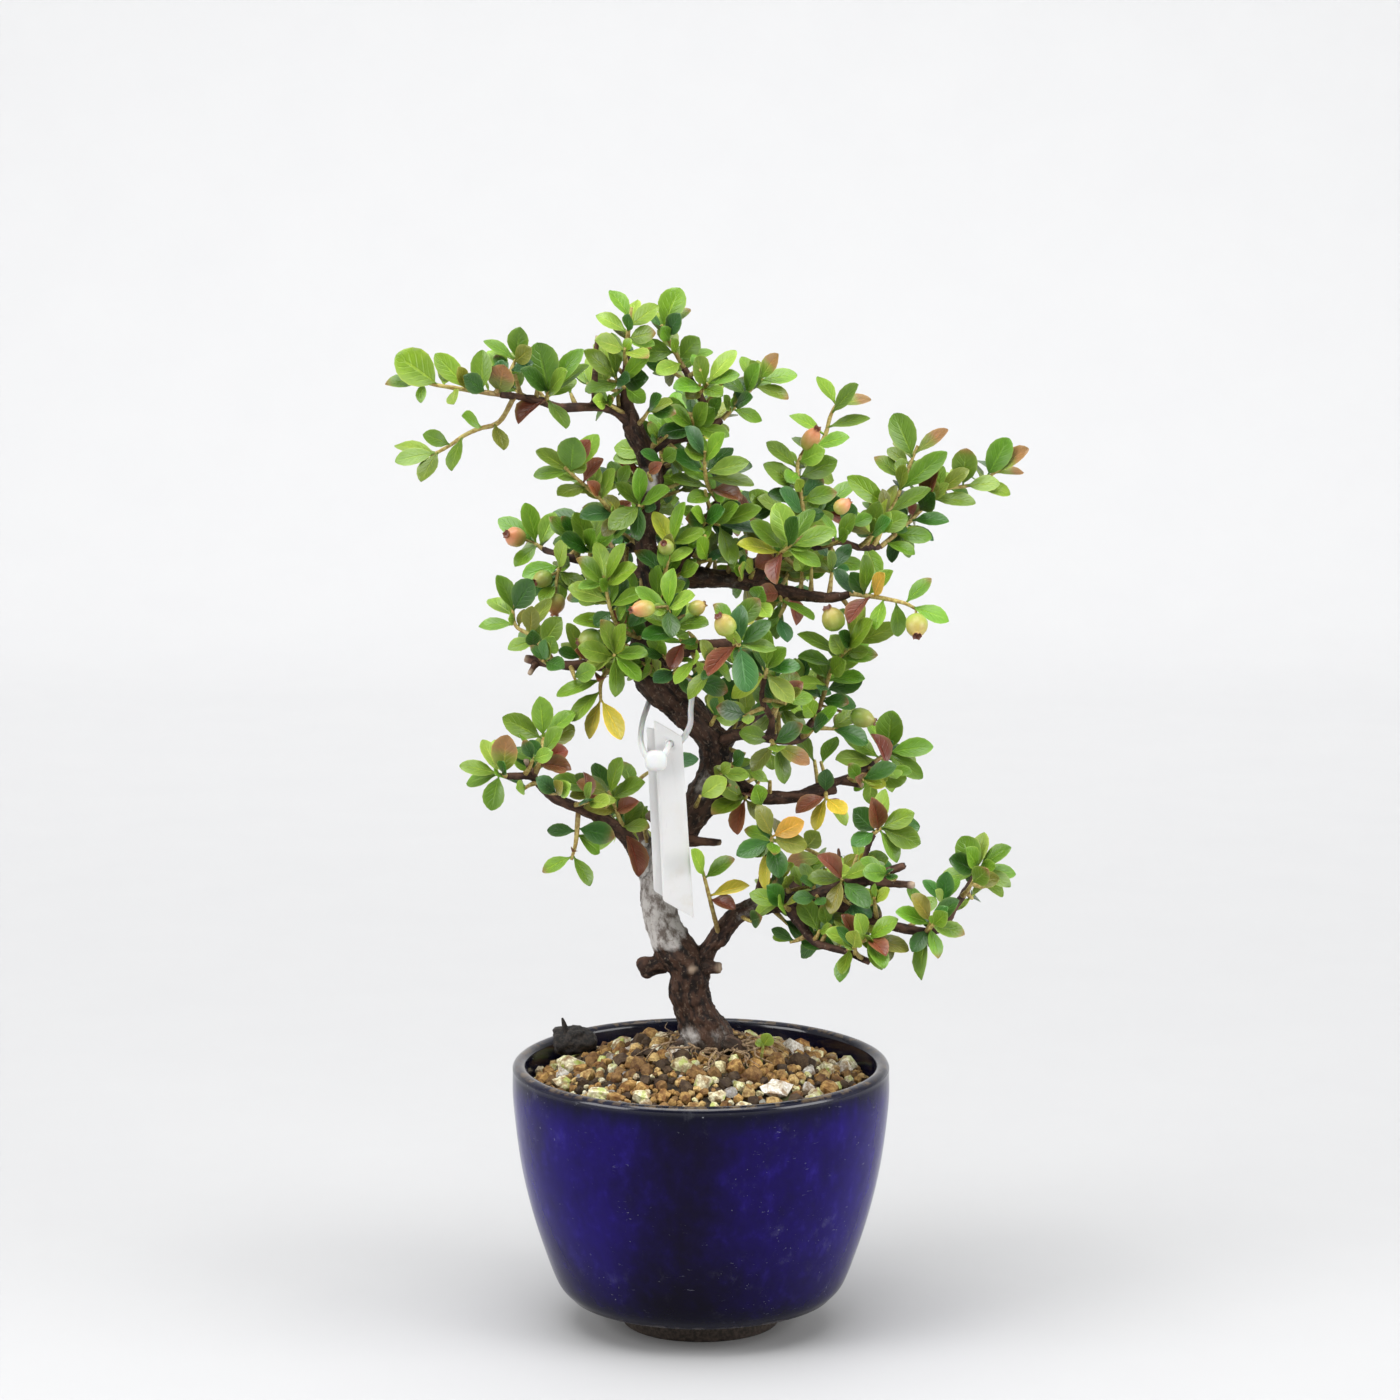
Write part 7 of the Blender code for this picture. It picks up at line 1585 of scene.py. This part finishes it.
def make_wood(finishes):
    """The wood: gnarled tubes along its limbs, melted together, then roughened along each limb.

    A tube's radius swells in two and three waves round the limb that wind slowly along it. After
    the tubes are one skin, each point finds its limb, and so its place along it and round it. The
    bark's ridges and flakes are noise in that straightened place, deeper on thicker limbs, and set
    in by a share of their depth. Knobs then swell it where old scars are.
    """
    limbs = limb_paths()
    skin = Skin()
    for order, (points, radii) in enumerate(limbs):
        sides = 28 if radii.max() > THICK_LIMB else 14
        reach = np.concatenate([[0], np.cumsum(np.linalg.norm(np.diff(points, axis=0), axis=1))])
        angles = np.arange(sides) * math.tau / sides
        swell = (0.055 * np.sin(2 * angles + 0.11 * reach[:, None] + order)
                 + 0.045 * np.sin(3 * angles - 0.16 * reach[:, None] + 2 * order)
                 + 0.05 * np.sin(0.6 * reach[:, None] + 3 * order))
        rings = tube_rings(points, radii, sides)
        skin.add(points[:, None] + (rings - points[:, None]) * (1 + swell[..., None]))
    rough = bpy.data.objects.new("wood_tubes", skin.mesh("wood_tubes"))
    bpy.context.scene.collection.objects.link(rough)
    melt = rough.modifiers.new("melt", "REMESH")
    melt.mode = "VOXEL"
    melt.voxel_size = WOOD_VOXEL * MM
    ease = rough.modifiers.new("ease", "SMOOTH")
    ease.factor = 0.5
    ease.iterations = 3
    bpy.context.view_layer.update()
    melted = rough.evaluated_get(bpy.context.evaluated_depsgraph_get())
    mesh = bpy.data.meshes.new_from_object(melted)
    bpy.data.objects.remove(rough, do_unlink=True)
    mesh.name = "bark_skin"
    count = len(mesh.vertices)
    points, normals = np.empty(count * 3), np.empty(count * 3)
    mesh.vertices.foreach_get("co", points)
    mesh.vertices.foreach_get("normal", normals)
    points = (points.reshape(-1, 3) - POT_AXIS) / MM
    normals = normals.reshape(-1, 3)
    place, thick = straightened(points, limbs)
    ridges = 1 - 2 * np.abs(layered_noise(place * (0.3, 1, 1), 1.7, 3))
    flakes = layered_noise(place * (1, 0.5, 0.5), 1.3, 9, 2)
    lumps = layered_noise(points, 5.0, 21, 2)
    knobs = np.maximum(layered_noise(points, 3.1, 35, 2) - 0.35, 0)
    depth = np.clip(thick / 3.6, 0.16, 1)
    rise = (RIDGE_RISE * ridges + FLAKE_RISE * flakes + LUMP_RISE * lumps
            + SWELL_RISE * knobs)
    points = points + normals * (depth * (rise - RELIEF_INSET))[:, None]
    for middle, reach, rise in KNOB_PLACES:
        off = np.linalg.norm(points - np.array(tuple(on_tree(*middle))), axis=1) / reach
        points = points + normals * (rise * np.exp(-off ** 2))[:, None]
    mesh.vertices.foreach_set("co", (points * MM + POT_AXIS).ravel())
    tint = np.zeros((count, 4))
    tint[:, 0] = np.clip(thick / 4.5, 0, 1)
    for middle, reach, most in BLOOM_PLACES:
        off = (points - np.array(tuple(on_tree(*middle)))) / reach
        tint[:, 1] = np.maximum(tint[:, 1], most * np.exp(-(off ** 4).sum(axis=1)))
    for middle in CUT_PLACES:
        off = np.linalg.norm(points - np.array(tuple(on_tree(*middle))), axis=1)
        tint[:, 2] = np.maximum(tint[:, 2], np.clip(CUT_REACH - off, 0, 1))
    tint[:, 3] = np.clip((SOIL_TOP + 3.5 - points[:, 2]) / 4, 0, 1)
    carry(mesh, "tint", tint)
    carry(mesh, "marks", place * MM)
    for layer in [item.name for item in mesh.attributes if item.name.startswith("wood")]:
        mesh.attributes.remove(mesh.attributes[layer])
    return finish_piece("bark", mesh, finishes, ["wood"], 180)


def straightened(points, limbs):
    """Each point's place as if its limb were straight, and its limb's radius there.

    The limb is the one whose surface is nearest. The place is how far along it the point is, and
    its two offsets from the limb's middle line.
    """
    starts, ends, radii, reaches, firsts, seconds = [], [], [], [], [], []
    for order, (path, widths) in enumerate(limbs):
        steps = np.linalg.norm(np.diff(path, axis=0), axis=1)
        _, first, second = frames_along(path)
        starts.append(path[:-1])
        ends.append(path[1:])
        radii.append(widths[:-1])
        reaches.append(np.cumsum(steps) - steps + LIMB_APART * order)
        firsts.append(first[:-1])
        seconds.append(second[:-1])
    starts, ends, radii, reaches, firsts, seconds = map(
        np.concatenate, (starts, ends, radii, reaches, firsts, seconds))
    place, thick = np.empty((len(points), 3)), np.empty(len(points))
    for low in range(0, len(points), CHUNK):
        here = slice(low, low + CHUNK)
        some = points[here]
        away = nearest_on_lines(some, starts, ends) - radii
        limb = away.argmin(axis=1)
        offset = some - starts[limb]
        along = ends[limb] - starts[limb]
        length = np.linalg.norm(along, axis=1)
        place[here, 0] = reaches[limb] + (offset * along).sum(axis=1) / length
        place[here, 1] = (offset * firsts[limb]).sum(axis=1)
        place[here, 2] = (offset * seconds[limb]).sum(axis=1)
        thick[here] = radii[limb]
    return place, thick


# The pot and what it holds

POT_COLUMNS = 168
SOIL_RINGS = 58               # of its top
SOIL_COLUMNS = 150
SOIL_INNER, SOIL_OUTER = 0.4, 40.4
SOIL_BOTTOM = 12.0


def side_radius(height):
    """The pot's outer radius at a height, along its side's list."""
    heights, radii = zip(*reversed(POT_SIDE))
    return np.interp(height, heights, radii)


def turned_rings(profile, columns):
    """A profile of radius and height carried round the pot's axis, one ring for each point."""
    profile = np.asarray(profile, dtype=float)
    angles = np.arange(columns) * math.tau / columns
    radius, height = profile[:, :1], profile[:, 1:]
    return np.stack([radius * np.cos(angles), radius * np.sin(angles),
                     height + 0 * angles], axis=-1)


def pot_profile():
    """The pot's section: rolled lip, outer side, foot, drain hole, floor and inner side."""
    outer = curve_through([(radius, height) for height, radius in POT_SIDE[:-1]], 8)
    lip_turn = np.linspace(0, math.pi, 12)
    lip_middle = (RIM_RADIUS - WALL / 2 + 0.3, RIM_HEIGHT - 1.5)
    lip = np.stack([lip_middle[0] - (WALL / 2 - 0.3) * np.cos(lip_turn),
                    lip_middle[1] + 1.4 * np.sin(lip_turn)], axis=1)
    foot = [(27.0, 5.9), (FOOT_OUTER + 0.3, FOOT_HEIGHT), (FOOT_OUTER, 4.7),
            (FOOT_OUTER - 0.6, 0.5), (FOOT_OUTER - 1.0, 0),
            (FOOT_INNER + 0.9, 0), (FOOT_INNER + 0.5, 0.5),
            (FOOT_INNER, FOOT_HEIGHT), (DRAIN_RADIUS + 0.5, FOOT_HEIGHT + 0.4),
            (DRAIN_RADIUS, FOOT_HEIGHT + 1.0), (DRAIN_RADIUS, FLOOR_TOP)]
    inner = curve_through([(FLOOR_RADIUS, FLOOR_TOP), (side_radius(12) - WALL, 11.8),
                           (side_radius(24) - WALL, 24), (side_radius(41) - WALL, 41),
                           (side_radius(58) - WALL, 58)], 6)
    return np.concatenate([lip, outer, foot, inner])


def make_pot(finishes):
    """The pot turned from its section, a touch uneven, with two drain slots in its foot."""
    profile = pot_profile()
    rings = turned_rings(profile, POT_COLUMNS)
    angles = np.degrees(np.arange(POT_COLUMNS) * math.tau / POT_COLUMNS)
    half_slot = math.degrees(SLOT_WIDTH / 2 / (FOOT_OUTER - 2.3))
    slots = np.zeros(POT_COLUMNS)
    for i in range(FOOT_SLOTS):
        away = np.abs((angles - 360 * i / FOOT_SLOTS + 180) % 360 - 180)
        slots = np.maximum(slots, np.clip((half_slot - away) / 2 + 0.5, 0, 1))
    on_ring = (profile[:, 0] > FOOT_INNER - 0.1) & (profile[:, 0] < FOOT_OUTER + 0.1)
    cut = on_ring[:, None] * slots * SLOT_HEIGHT
    rings[..., 2] = np.maximum(rings[..., 2], cut)
    uneven = lattice_noise(rings.reshape(-1, 3), 17.0, 5).reshape(rings.shape[:2])
    high = np.clip((rings[..., 2] - 6) / 10, 0, 1)
    rings[..., :2] *= (1 + 0.0022 * (uneven - 1) * high)[..., None]
    inside = (profile[:, 1] < 45) & (profile[:, 0] < side_radius(profile[:, 1]) - 2)
    bare = (profile[:, 1] < 6.5) | inside
    skin = Skin()
    skin.add(rings, bare.astype(int), closed=True)
    return skin.piece("glazed_pot", finishes, ["pot"], 60)


def soil_height(radius):
    """The soil's mound: highest at the trunk, falling to its edge at the wall."""
    share = np.minimum(1, np.asarray(radius, dtype=float) / (RIM_RADIUS - WALL))
    return SOIL_EDGE + (SOIL_TOP - SOIL_EDGE) * (1 - share ** 2) ** 1.3


def make_soil(finishes):
    """Fine soil: the mound roughened by noise on top, then down the wall and closed below."""
    reach = np.linspace(SOIL_INNER, SOIL_OUTER, SOIL_RINGS)
    top = [(r, float(soil_height(r)) - 0.7) for r in reach]
    side = [(float(side_radius(z)) - WALL - 0.5, z) for z in (56.0, 44.0, 30.0, 20.0, SOIL_BOTTOM)]
    rings = turned_rings(top + side + [(SOIL_INNER, SOIL_BOTTOM)], SOIL_COLUMNS)
    lumps = layered_noise(rings.reshape(-1, 3) * (1, 1, 0), 3.4, 40).reshape(rings.shape[:2])
    inside = np.zeros(len(rings))
    inside[:SOIL_RINGS] = np.clip((SOIL_OUTER - reach) / 3, 0, 1)
    rings[..., 2] += lumps * 0.75 * inside[:, None]
    skin = Skin()
    skin.add(rings)
    return skin.piece("soil_bed", finishes, ["soil"], 180)


# Each kind of grain: its colour, its share of algae, and how often it comes
GRAIN_TINTS = [((0.46, 0.28, 0.085), 0.0, 26), ((0.24, 0.135, 0.042), 0.0, 22),
               ((0.6, 0.43, 0.17), 0.0, 17), ((0.075, 0.045, 0.02), 0.0, 18),
               ((0.84, 0.77, 0.55), 0.5, 7), ((0.84, 0.8, 0.48), 1.0, 6),
               ((0.4, 0.4, 0.4), 0.1, 3), ((0.64, 0.64, 0.6), 0.0, 2)]
GRAIN_ROWS = 5
GRAIN_COLUMNS = 7
GRAIN_REACH = 39.6            # from the pot's axis to a grain's middle, at most
GRAIN_WALL = 40.6
BIG_GRAINS = (190, 1.45, 2.7)                 # how many, and their least and largest half
SMALL_GRAINS = (620, 0.6, 1.4)
WHITE_STONES = (0, 4, 6)
WHITE_TINT = (0.88, 0.86, 0.8, 0.1)
GREEN_TINT = (0.9, 0.87, 0.62, 1.0)
SALTS = 16                    # pale crumbs at the trunk's foot
ROOTS = 26
ROOT_KNOTS = 7


def grain_rings(middles, halves, draws):
    """Irregular grains: a ball's rings made blocky and pushed about, each turned at random."""
    count = len(middles)
    ball = ball_rings(-1.15, 1.15, GRAIN_ROWS, GRAIN_COLUMNS)
    ball = np.sign(ball) * np.abs(ball) ** 0.8
    shape = ball[None] * (1 + draws.uniform(-0.2, 0.2, (count, GRAIN_ROWS, GRAIN_COLUMNS, 1)))
    turns = np.linalg.qr(draws.normal(size=(count, 3, 3)))[0]
    shape = np.einsum("nrck,nkj->nrcj", shape * draws.uniform(0.75, 1.15, (count, 1, 1, 3)), turns)
    return middles[:, None, None] + shape * halves[:, None, None, None]


def scatter(count, low, high, taken, draws, gap=0.9):
    """Places over the soil at least gap times their halves apart, clear of what is taken."""
    places = []
    for _ in range(count * 14):
        half = low + (high - low) * draws.random() ** 1.6
        angle, reach = draws.uniform(0, math.tau), GRAIN_REACH * math.sqrt(draws.random())
        across, back = reach * math.cos(angle), reach * math.sin(angle)
        if reach + half * 0.8 > GRAIN_WALL:
            continue
        if all((across - x) ** 2 + (back - y) ** 2 > (gap * (half + other)) ** 2
               for x, y, other in taken):
            taken.append((across, back, half))
            places.append((across, back, half))
        if len(places) == count:
            break
    return places


def make_grains(finishes):
    """Grains over the soil: the named larger stones, then smaller and smaller ones between."""
    draws = np.random.default_rng(77)
    root_room = [(2, -1, 6.6), (-3, 2, 5.0), (*CAKE_PLACE, 4.6), (*SEEDLING_PLACE, 0.7)]
    taken = [(x, y, half * 0.9) for x, y, half, _ in STONES] + root_room
    big = scatter(*BIG_GRAINS, taken, draws)
    small = scatter(*SMALL_GRAINS, taken, draws, 0.85)
    skin = Skin()
    weights = np.array([row[2] for row in GRAIN_TINTS], dtype=float)
    for places, sunk in ((big, 0.1), (small, 0.0)):
        places = np.array(places)
        halves = places[:, 2] * (0.98 if sunk else 1.05)
        middles = np.column_stack([places[:, :2], soil_height(np.hypot(places[:, 0], places[:, 1]))
                                   - 0.35 + halves * (0.28 - sunk)])
        kinds = draws.choice(len(GRAIN_TINTS), len(places), p=weights / weights.sum())
        tint = np.ones((len(places), GRAIN_ROWS, GRAIN_COLUMNS, 4))
        tint[..., :3] = np.array([row[0] for row in GRAIN_TINTS])[kinds][:, None, None]
        tint[..., :3] *= draws.uniform(0.75, 1.25, (len(places), 1, 1, 1))
        tint[..., 3] = np.array([row[1] for row in GRAIN_TINTS])[kinds][:, None, None]
        skin.add(grain_rings(middles, halves, draws), 0, np.clip(tint, 0, 0.85))
    for order, (across, back, half, height) in enumerate(STONES):
        middle = np.array([[across, back, soil_height(math.hypot(across, back)) + 0.2 * height]])
        rings = grain_rings(middle * 0, np.ones(1), draws)
        rings = middle + rings * (half * 0.95, half * 0.8, height * 0.95)
        skin.add(rings, 0, WHITE_TINT if order in WHITE_STONES else GREEN_TINT)
    salts = draws.normal(size=(SALTS, 2)) * (1.1, 1.3) + (-5.8, -6.2)
    rise = soil_height(np.hypot(*salts.T)) + draws.uniform(-0.2, 1.4, SALTS)
    halves = draws.uniform(0.45, 1.1, SALTS)
    skin.add(grain_rings(np.column_stack([salts, rise]), halves, draws), 0, (0.74, 0.7, 0.62, 0.15))
    return skin.piece("soil_grains", finishes, (), 32)


def make_roots(finishes):
    """Fine roots that run out over the soil from the trunk's foot, dipping in at their ends."""
    skin = Skin()
    draws = np.random.default_rng(12)
    for order in range(ROOTS):
        heading = draws.uniform(-math.pi, 0.15) if order % 3 else draws.uniform(0, math.pi)
        start, length = draws.uniform(4, 7), draws.uniform(6, 15)
        reach = np.linspace(0, 1, ROOT_KNOTS)
        bend = heading + np.cumsum(draws.normal(0, 0.2, ROOT_KNOTS))
        path = np.zeros((ROOT_KNOTS, 3))
        path[:, 0] = 2 + (start + length * reach) * np.cos(bend)
        path[:, 1] = -1 + (start + length * reach) * np.sin(bend)
        hop = draws.uniform(0.4, 2.6) * np.sin(math.pi * np.minimum(1, reach * 1.1))
        path[:, 2] = soil_height(np.hypot(path[:, 0], path[:, 1])) + 0.7 + hop - 1.8 * reach ** 4
        smooth = curve_through(path, 5)
        radii = np.linspace(draws.uniform(0.22, 0.42), 0.12, len(smooth))
        skin.add(tube_rings(smooth, radii, 6))
        side = curve_through(path[3:6] + (np.arange(3)[:, None] * draws.normal(0, 0.9, 3)), 5)
        skin.add(tube_rings(side, np.linspace(0.16, 0.08, len(side)), 5))
    return skin.piece("fine_roots", finishes, ())


def make_cake(finishes):
    """The crumbling feed: a ball made blocky and torn by ridged noise, with a thin spike left."""
    low, high = (np.array(corner) / MM - POT_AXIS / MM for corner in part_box("fertiliser_cake"))
    middle, half = (low + high) / 2, (high - low) / 2
    ball = ball_rings(-1.52, 1.52, 40, 56)
    ball = ball / (np.abs(ball).max(axis=-1, keepdims=True) ** 0.4)
    flat = (ball * half).reshape(-1, 3)
    rough = 0.9 + 0.13 * layered_noise(flat, 3.2, 8) - 0.1 * np.abs(layered_noise(flat, 1.5, 4, 2))
    rings = (middle + flat * rough[:, None]).reshape(ball.shape)
    skin = Skin()
    skin.add(rings)
    spike = curve_through([(-32.5, 11.8, high[2] - 1.5), (-33.0, 11.4, high[2] + 0.8),
                           (-33.4, 11.2, high[2] + 2.2)], 4)
    skin.add(tube_rings(spike, np.linspace(0.9, 0.25, len(spike)), 7))
    return skin.piece("crumbling_feed", finishes, ["fertiliser_cake"], 60)


def make_seedling(finishes):
    """A seedling: a thin stem with one round leaf and a smaller one."""
    across, back = SEEDLING_PLACE
    ground = float(soil_height(math.hypot(across, back)))
    stem = curve_through([(across, back, ground - 3), (across, back, ground + 1),
                          (across + 0.5, back - 0.3, ground + 4.4)], 6)
    skin = Skin()
    skin.add(tube_rings(stem, 0.36, 7), 1, (0.3, 0.36, 0.08, 1))
    top = Vector((across + 0.45, back - 0.25, ground + 4.0))
    leaves = []
    for reach, width in (((1.6, -1.2, 3.2), 3.6), ((-1.9, -0.8, 1.7), 2.0)):
        reach = Vector(reach)
        side = reach.cross(Vector((0, -1, 0.5))).normalized()
        up = side.cross(reach).normalized()
        leaves.append({"base": top, "along": reach.normalized(), "side": side, "up": up,
                       "length": reach.length, "width": width, "fold": 0.15, "arch": 0.06,
                       "wide": True, "tone": "l"})
    draws = np.random.default_rng(3)
    tint, marks = leaf_looks(leaves, draws)
    skin.add(leaf_rings(leaves, draws), 0, tint, marks)
    return skin.piece("small_seedling", finishes, ["seedling"])


# The tags and their tie

TAG_FRONT = [(-10.8, 148.0), (-4.8, 144.6), (-2.0, 100.2), (-8.7, 104.0)]
TAG_FRONT_DEPTH = -11.4
TAG_BACK = [(-12.6, 146.4), (-6.2, 145.2), (-4.0, 102.0), (-10.9, 106.4)]
TAG_BACK_DEPTH = -9.9
TAG_THICKNESS = 0.5
TAG_HOLE = 1.15
TAG_HOLE_PLACE = (-7.5, 142.2)
TIE_ROUTE = [(-2.3, 156.7, 0.5), (-2.0, 155.4, -4.6), (-2.4, 150.6, -7.0), (-2.6, 146.7, -7.6),
             (-4.8, 142.9, -8.0), (-7.5, 142.2, -8.8),
             (-7.6, 141.8, -12.6), (-8.6, 139.8, -14.2), (-10.6, 138.2, -14.2),
             (-13.0, 139.6, -12.4), (-14.2, 143.0, -8.6), (-13.8, 147.4, -4.4),
             (-12.6, 151.2, 0.5), (-11.6, 153.6, 5.4), (-7.8, 157.6, 6.4), (-4.0, 159.0, 4.4)]
TIE_RADIUS = 0.66
TIE_PIECES = 8                # of the strap, between two places of its route
TIE_HEAD_PLACE = (-10.6, 138.2, -14.4)
TIE_HEAD_HALVES = (2.6, 1.5, 2.5)


def make_tag(name, node, corners, depth, finishes):
    """A tag strip with a hole: rings run from the hole out over the front, round the rim, and back.

    Each ring blends the hole's circle into the strip's outline, which has small round corners.
    """
    outline = np.array([(seen(x, z, depth).x, seen(x, z, depth).z) for x, z in corners])
    hole = seen(*TAG_HOLE_PLACE, depth)
    inward = outline + 0.8 * (outline.mean(axis=0) - outline) / np.linalg.norm(
        outline.mean(axis=0) - outline, axis=1, keepdims=True)
    rim = []
    for k in range(4):
        before, after = inward[k - 1], inward[(k + 1) % 4]
        to_before = (before - inward[k]) / np.linalg.norm(before - inward[k])
        to_after = (after - inward[k]) / np.linalg.norm(after - inward[k])
        turn = np.linspace(0, 1, 6)[:, None] * math.pi / 2
        rim.append(inward[k] - 0.5 * (to_after * np.cos(turn) + to_before * np.sin(turn)))
        straight = np.linspace(0, 1, 16 if k % 2 else 5)[1:-1, None]
        start, end = inward[k] - 0.5 * to_before, after - 0.5 * to_before
        rim.append(start + (end - start) * straight)
    rim = np.concatenate(rim)
    ray = rim - (hole.x, hole.z)
    circle = (hole.x, hole.z) + TAG_HOLE * ray / np.linalg.norm(ray, axis=1, keepdims=True)
    shares = np.array([0, 0.02, 0.3, 0.65, 0.97, 1, 1, 0.97, 0.65, 0.3, 0.02, 0])
    faces = np.array([0.35, 0.5, 0.5, 0.5, 0.5, 0.3, -0.3, -0.5, -0.5, -0.5, -0.5, -0.35])
    flat = circle + (rim - circle) * shares[:, None, None]
    bow = 0.35 * np.sin((flat[..., 1] - flat[..., 1].min()) / 46 * math.pi)
    rings = np.stack([flat[..., 0], depth + faces[:, None] * TAG_THICKNESS - bow, flat[..., 1]],
                     axis=-1)
    skin = Skin()
    skin.add(rings, closed=True)
    return skin.piece(name, finishes, [node])


def make_tie(finishes):
    """The cable tie: a flattened strap on a closed smooth route, with its rounded lock head."""
    knots = np.array([tuple(seen(*row)) for row in TIE_ROUTE])
    around = np.concatenate([knots[-2:], knots, knots[:2]])
    path = curve_through(around, TIE_PIECES)[2 * TIE_PIECES:-2 * TIE_PIECES - 1]
    rings = tube_rings(path, TIE_RADIUS, 12)
    rings[..., 2] = path[:, None, 2] + (rings[..., 2] - path[:, None, 2]) * 1.35
    skin = Skin()
    skin.add(rings, closed=True)
    head = np.array(tuple(seen(*TIE_HEAD_PLACE)))
    ball = ball_rings(-1.5, 1.5, 12, 20)[..., [0, 2, 1]]
    ball = np.sign(ball) * np.abs(ball) ** 0.72
    skin.add(head + ball * TIE_HEAD_HALVES)
    return skin.piece("nylon_tie", finishes, ["tag_tie"])


# The surroundings

def make_stage():
    """A pale table and wall in one sheet that bends up behind the object."""
    across = np.linspace(-3000, 3000, 3)
    turn = np.linspace(0, math.pi / 2, 16)
    bend = np.stack([900 + 500 * np.sin(turn), 500 - 500 * np.cos(turn)], axis=1)
    line = np.concatenate([[(-2600, 0)], bend, [(1400, 3200)]])
    rows = np.array([[(x, y, z) for x in across] for y, z in line])
    index = np.arange(rows.shape[0] * 3).reshape(-1, 3)
    quads = np.stack([index[:-1, :-1], index[:-1, 1:], index[1:, 1:], index[1:, :-1]], axis=-1)
    mesh = bpy.data.meshes.new("stage_sheet")
    points = rows.reshape(-1, 3) * MM + POT_AXIS
    mesh.from_pydata(points.tolist(), [], quads.reshape(-1, 4).tolist())
    mesh.shade_smooth()
    look = Finish("stage_paper", Specular_IOR_Level=0.2)
    grain = look.noise(40, 3)
    tone = look.mix(look.step(look.parts(look.place)[1], 0.15, 1.1), (0.5, 0.5, 0.503),
                    (0.72, 0.72, 0.723))
    look.set(Base_Color=look.multiplied_mix(grain, tone, (0.97, 0.97, 0.975)),
             Roughness=look.times_plus(grain, 0.1, 0.6))
    mesh.materials.append(look.material)
    sheet = bpy.data.objects.new("stage_sheet", mesh)
    bpy.context.scene.collection.objects.link(sheet)


def make_light(name, place, aim, size, power, colour=(1, 1, 1)):
    """A square soft light of a size in millimetres at a place, turned to a point."""
    data = bpy.data.lights.new(name, "AREA")
    data.size = size * MM
    data.energy = power
    data.color = colour
    lamp = bpy.data.objects.new(name, data)
    bpy.context.scene.collection.objects.link(lamp)
    lamp.location = Vector(place) * MM + Vector(POT_AXIS)
    lamp.rotation_euler = (Vector(aim) - Vector(place)).to_track_quat("-Z", "Y").to_euler()


def make_camera():
    data = bpy.data.cameras.new("front_view")
    data.sensor_width = CAMERA_SENSOR
    data.lens = CAMERA_LENS
    camera = bpy.data.objects.new("front_view", data)
    bpy.context.scene.collection.objects.link(camera)
    eye = Vector((CAMERA_ACROSS, -EYE_BACK, EYE_HEIGHT - SEEN_FOOT))
    camera.location = eye * MM + Vector(POT_AXIS)
    camera.rotation_euler = (math.radians(90 - CAMERA_DOWN), 0, 0)
    bpy.context.scene.camera = camera


def make_light_and_air():
    scene = bpy.context.scene
    scene.view_settings.view_transform = "Standard"
    world = bpy.data.worlds.new("studio_air")
    world.use_nodes = True
    tree = world.node_tree
    toward = tree.nodes.new("ShaderNodeTexCoord").outputs["Generated"]
    split = tree.nodes.new("ShaderNodeSeparateXYZ")
    ramp = tree.nodes.new("ShaderNodeMapRange")
    for index, value in ((1, -0.9), (2, 0.2), (3, 0.165), (4, 0.62)):
        ramp.inputs[index].default_value = value
    tree.links.new(toward, split.inputs[0])
    tree.links.new(split.outputs["Y"], ramp.inputs[0])
    air = tree.nodes["Background"]
    air.inputs["Color"].default_value = (0.97, 0.985, 1.0, 1)
    tree.links.new(ramp.outputs[0], air.inputs["Strength"])
    scene.world = world
    make_light("overhead", (-150, -350, 1150), (0, 0, 120), 900, 7.2)
    make_light("window_left", (-1000, -550, 600), (0, 0, 130), 700, 9.6)
    make_light("fill_right", (1000, -450, 500), (0, 0, 130), 700, 9.6)
    make_light("wall_wash", (0, -100, 2300), (0, 1100, 0), 2000, 36.0)


def main():
    make_stage()
    make_camera()
    make_light_and_air()
    leaf, stem, fruit = leaf_finish(), stem_finish(), fruit_finish()
    tag = tag_finish()
    make_pot([glaze_finish(), clay_finish()])
    make_soil([soil_finish()])
    make_grains([grain_finish()])
    make_roots([root_finish()])
    make_cake([cake_finish()])
    make_wood([bark_finish()])
    make_seedling([leaf, stem])
    make_tag("front_tag", "tag_front", TAG_FRONT, TAG_FRONT_DEPTH, [tag])
    make_tag("rear_tag", "tag_back", TAG_BACK, TAG_BACK_DEPTH, [tag])
    make_tie([tie_finish()])
    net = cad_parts["drain_net"]
    net.data.materials.clear()
    net.data.materials.append(net_finish())
    for name, shoot in plan_shoots().items():
        make_shoot(name, shoot, [leaf, stem, fruit])


main()
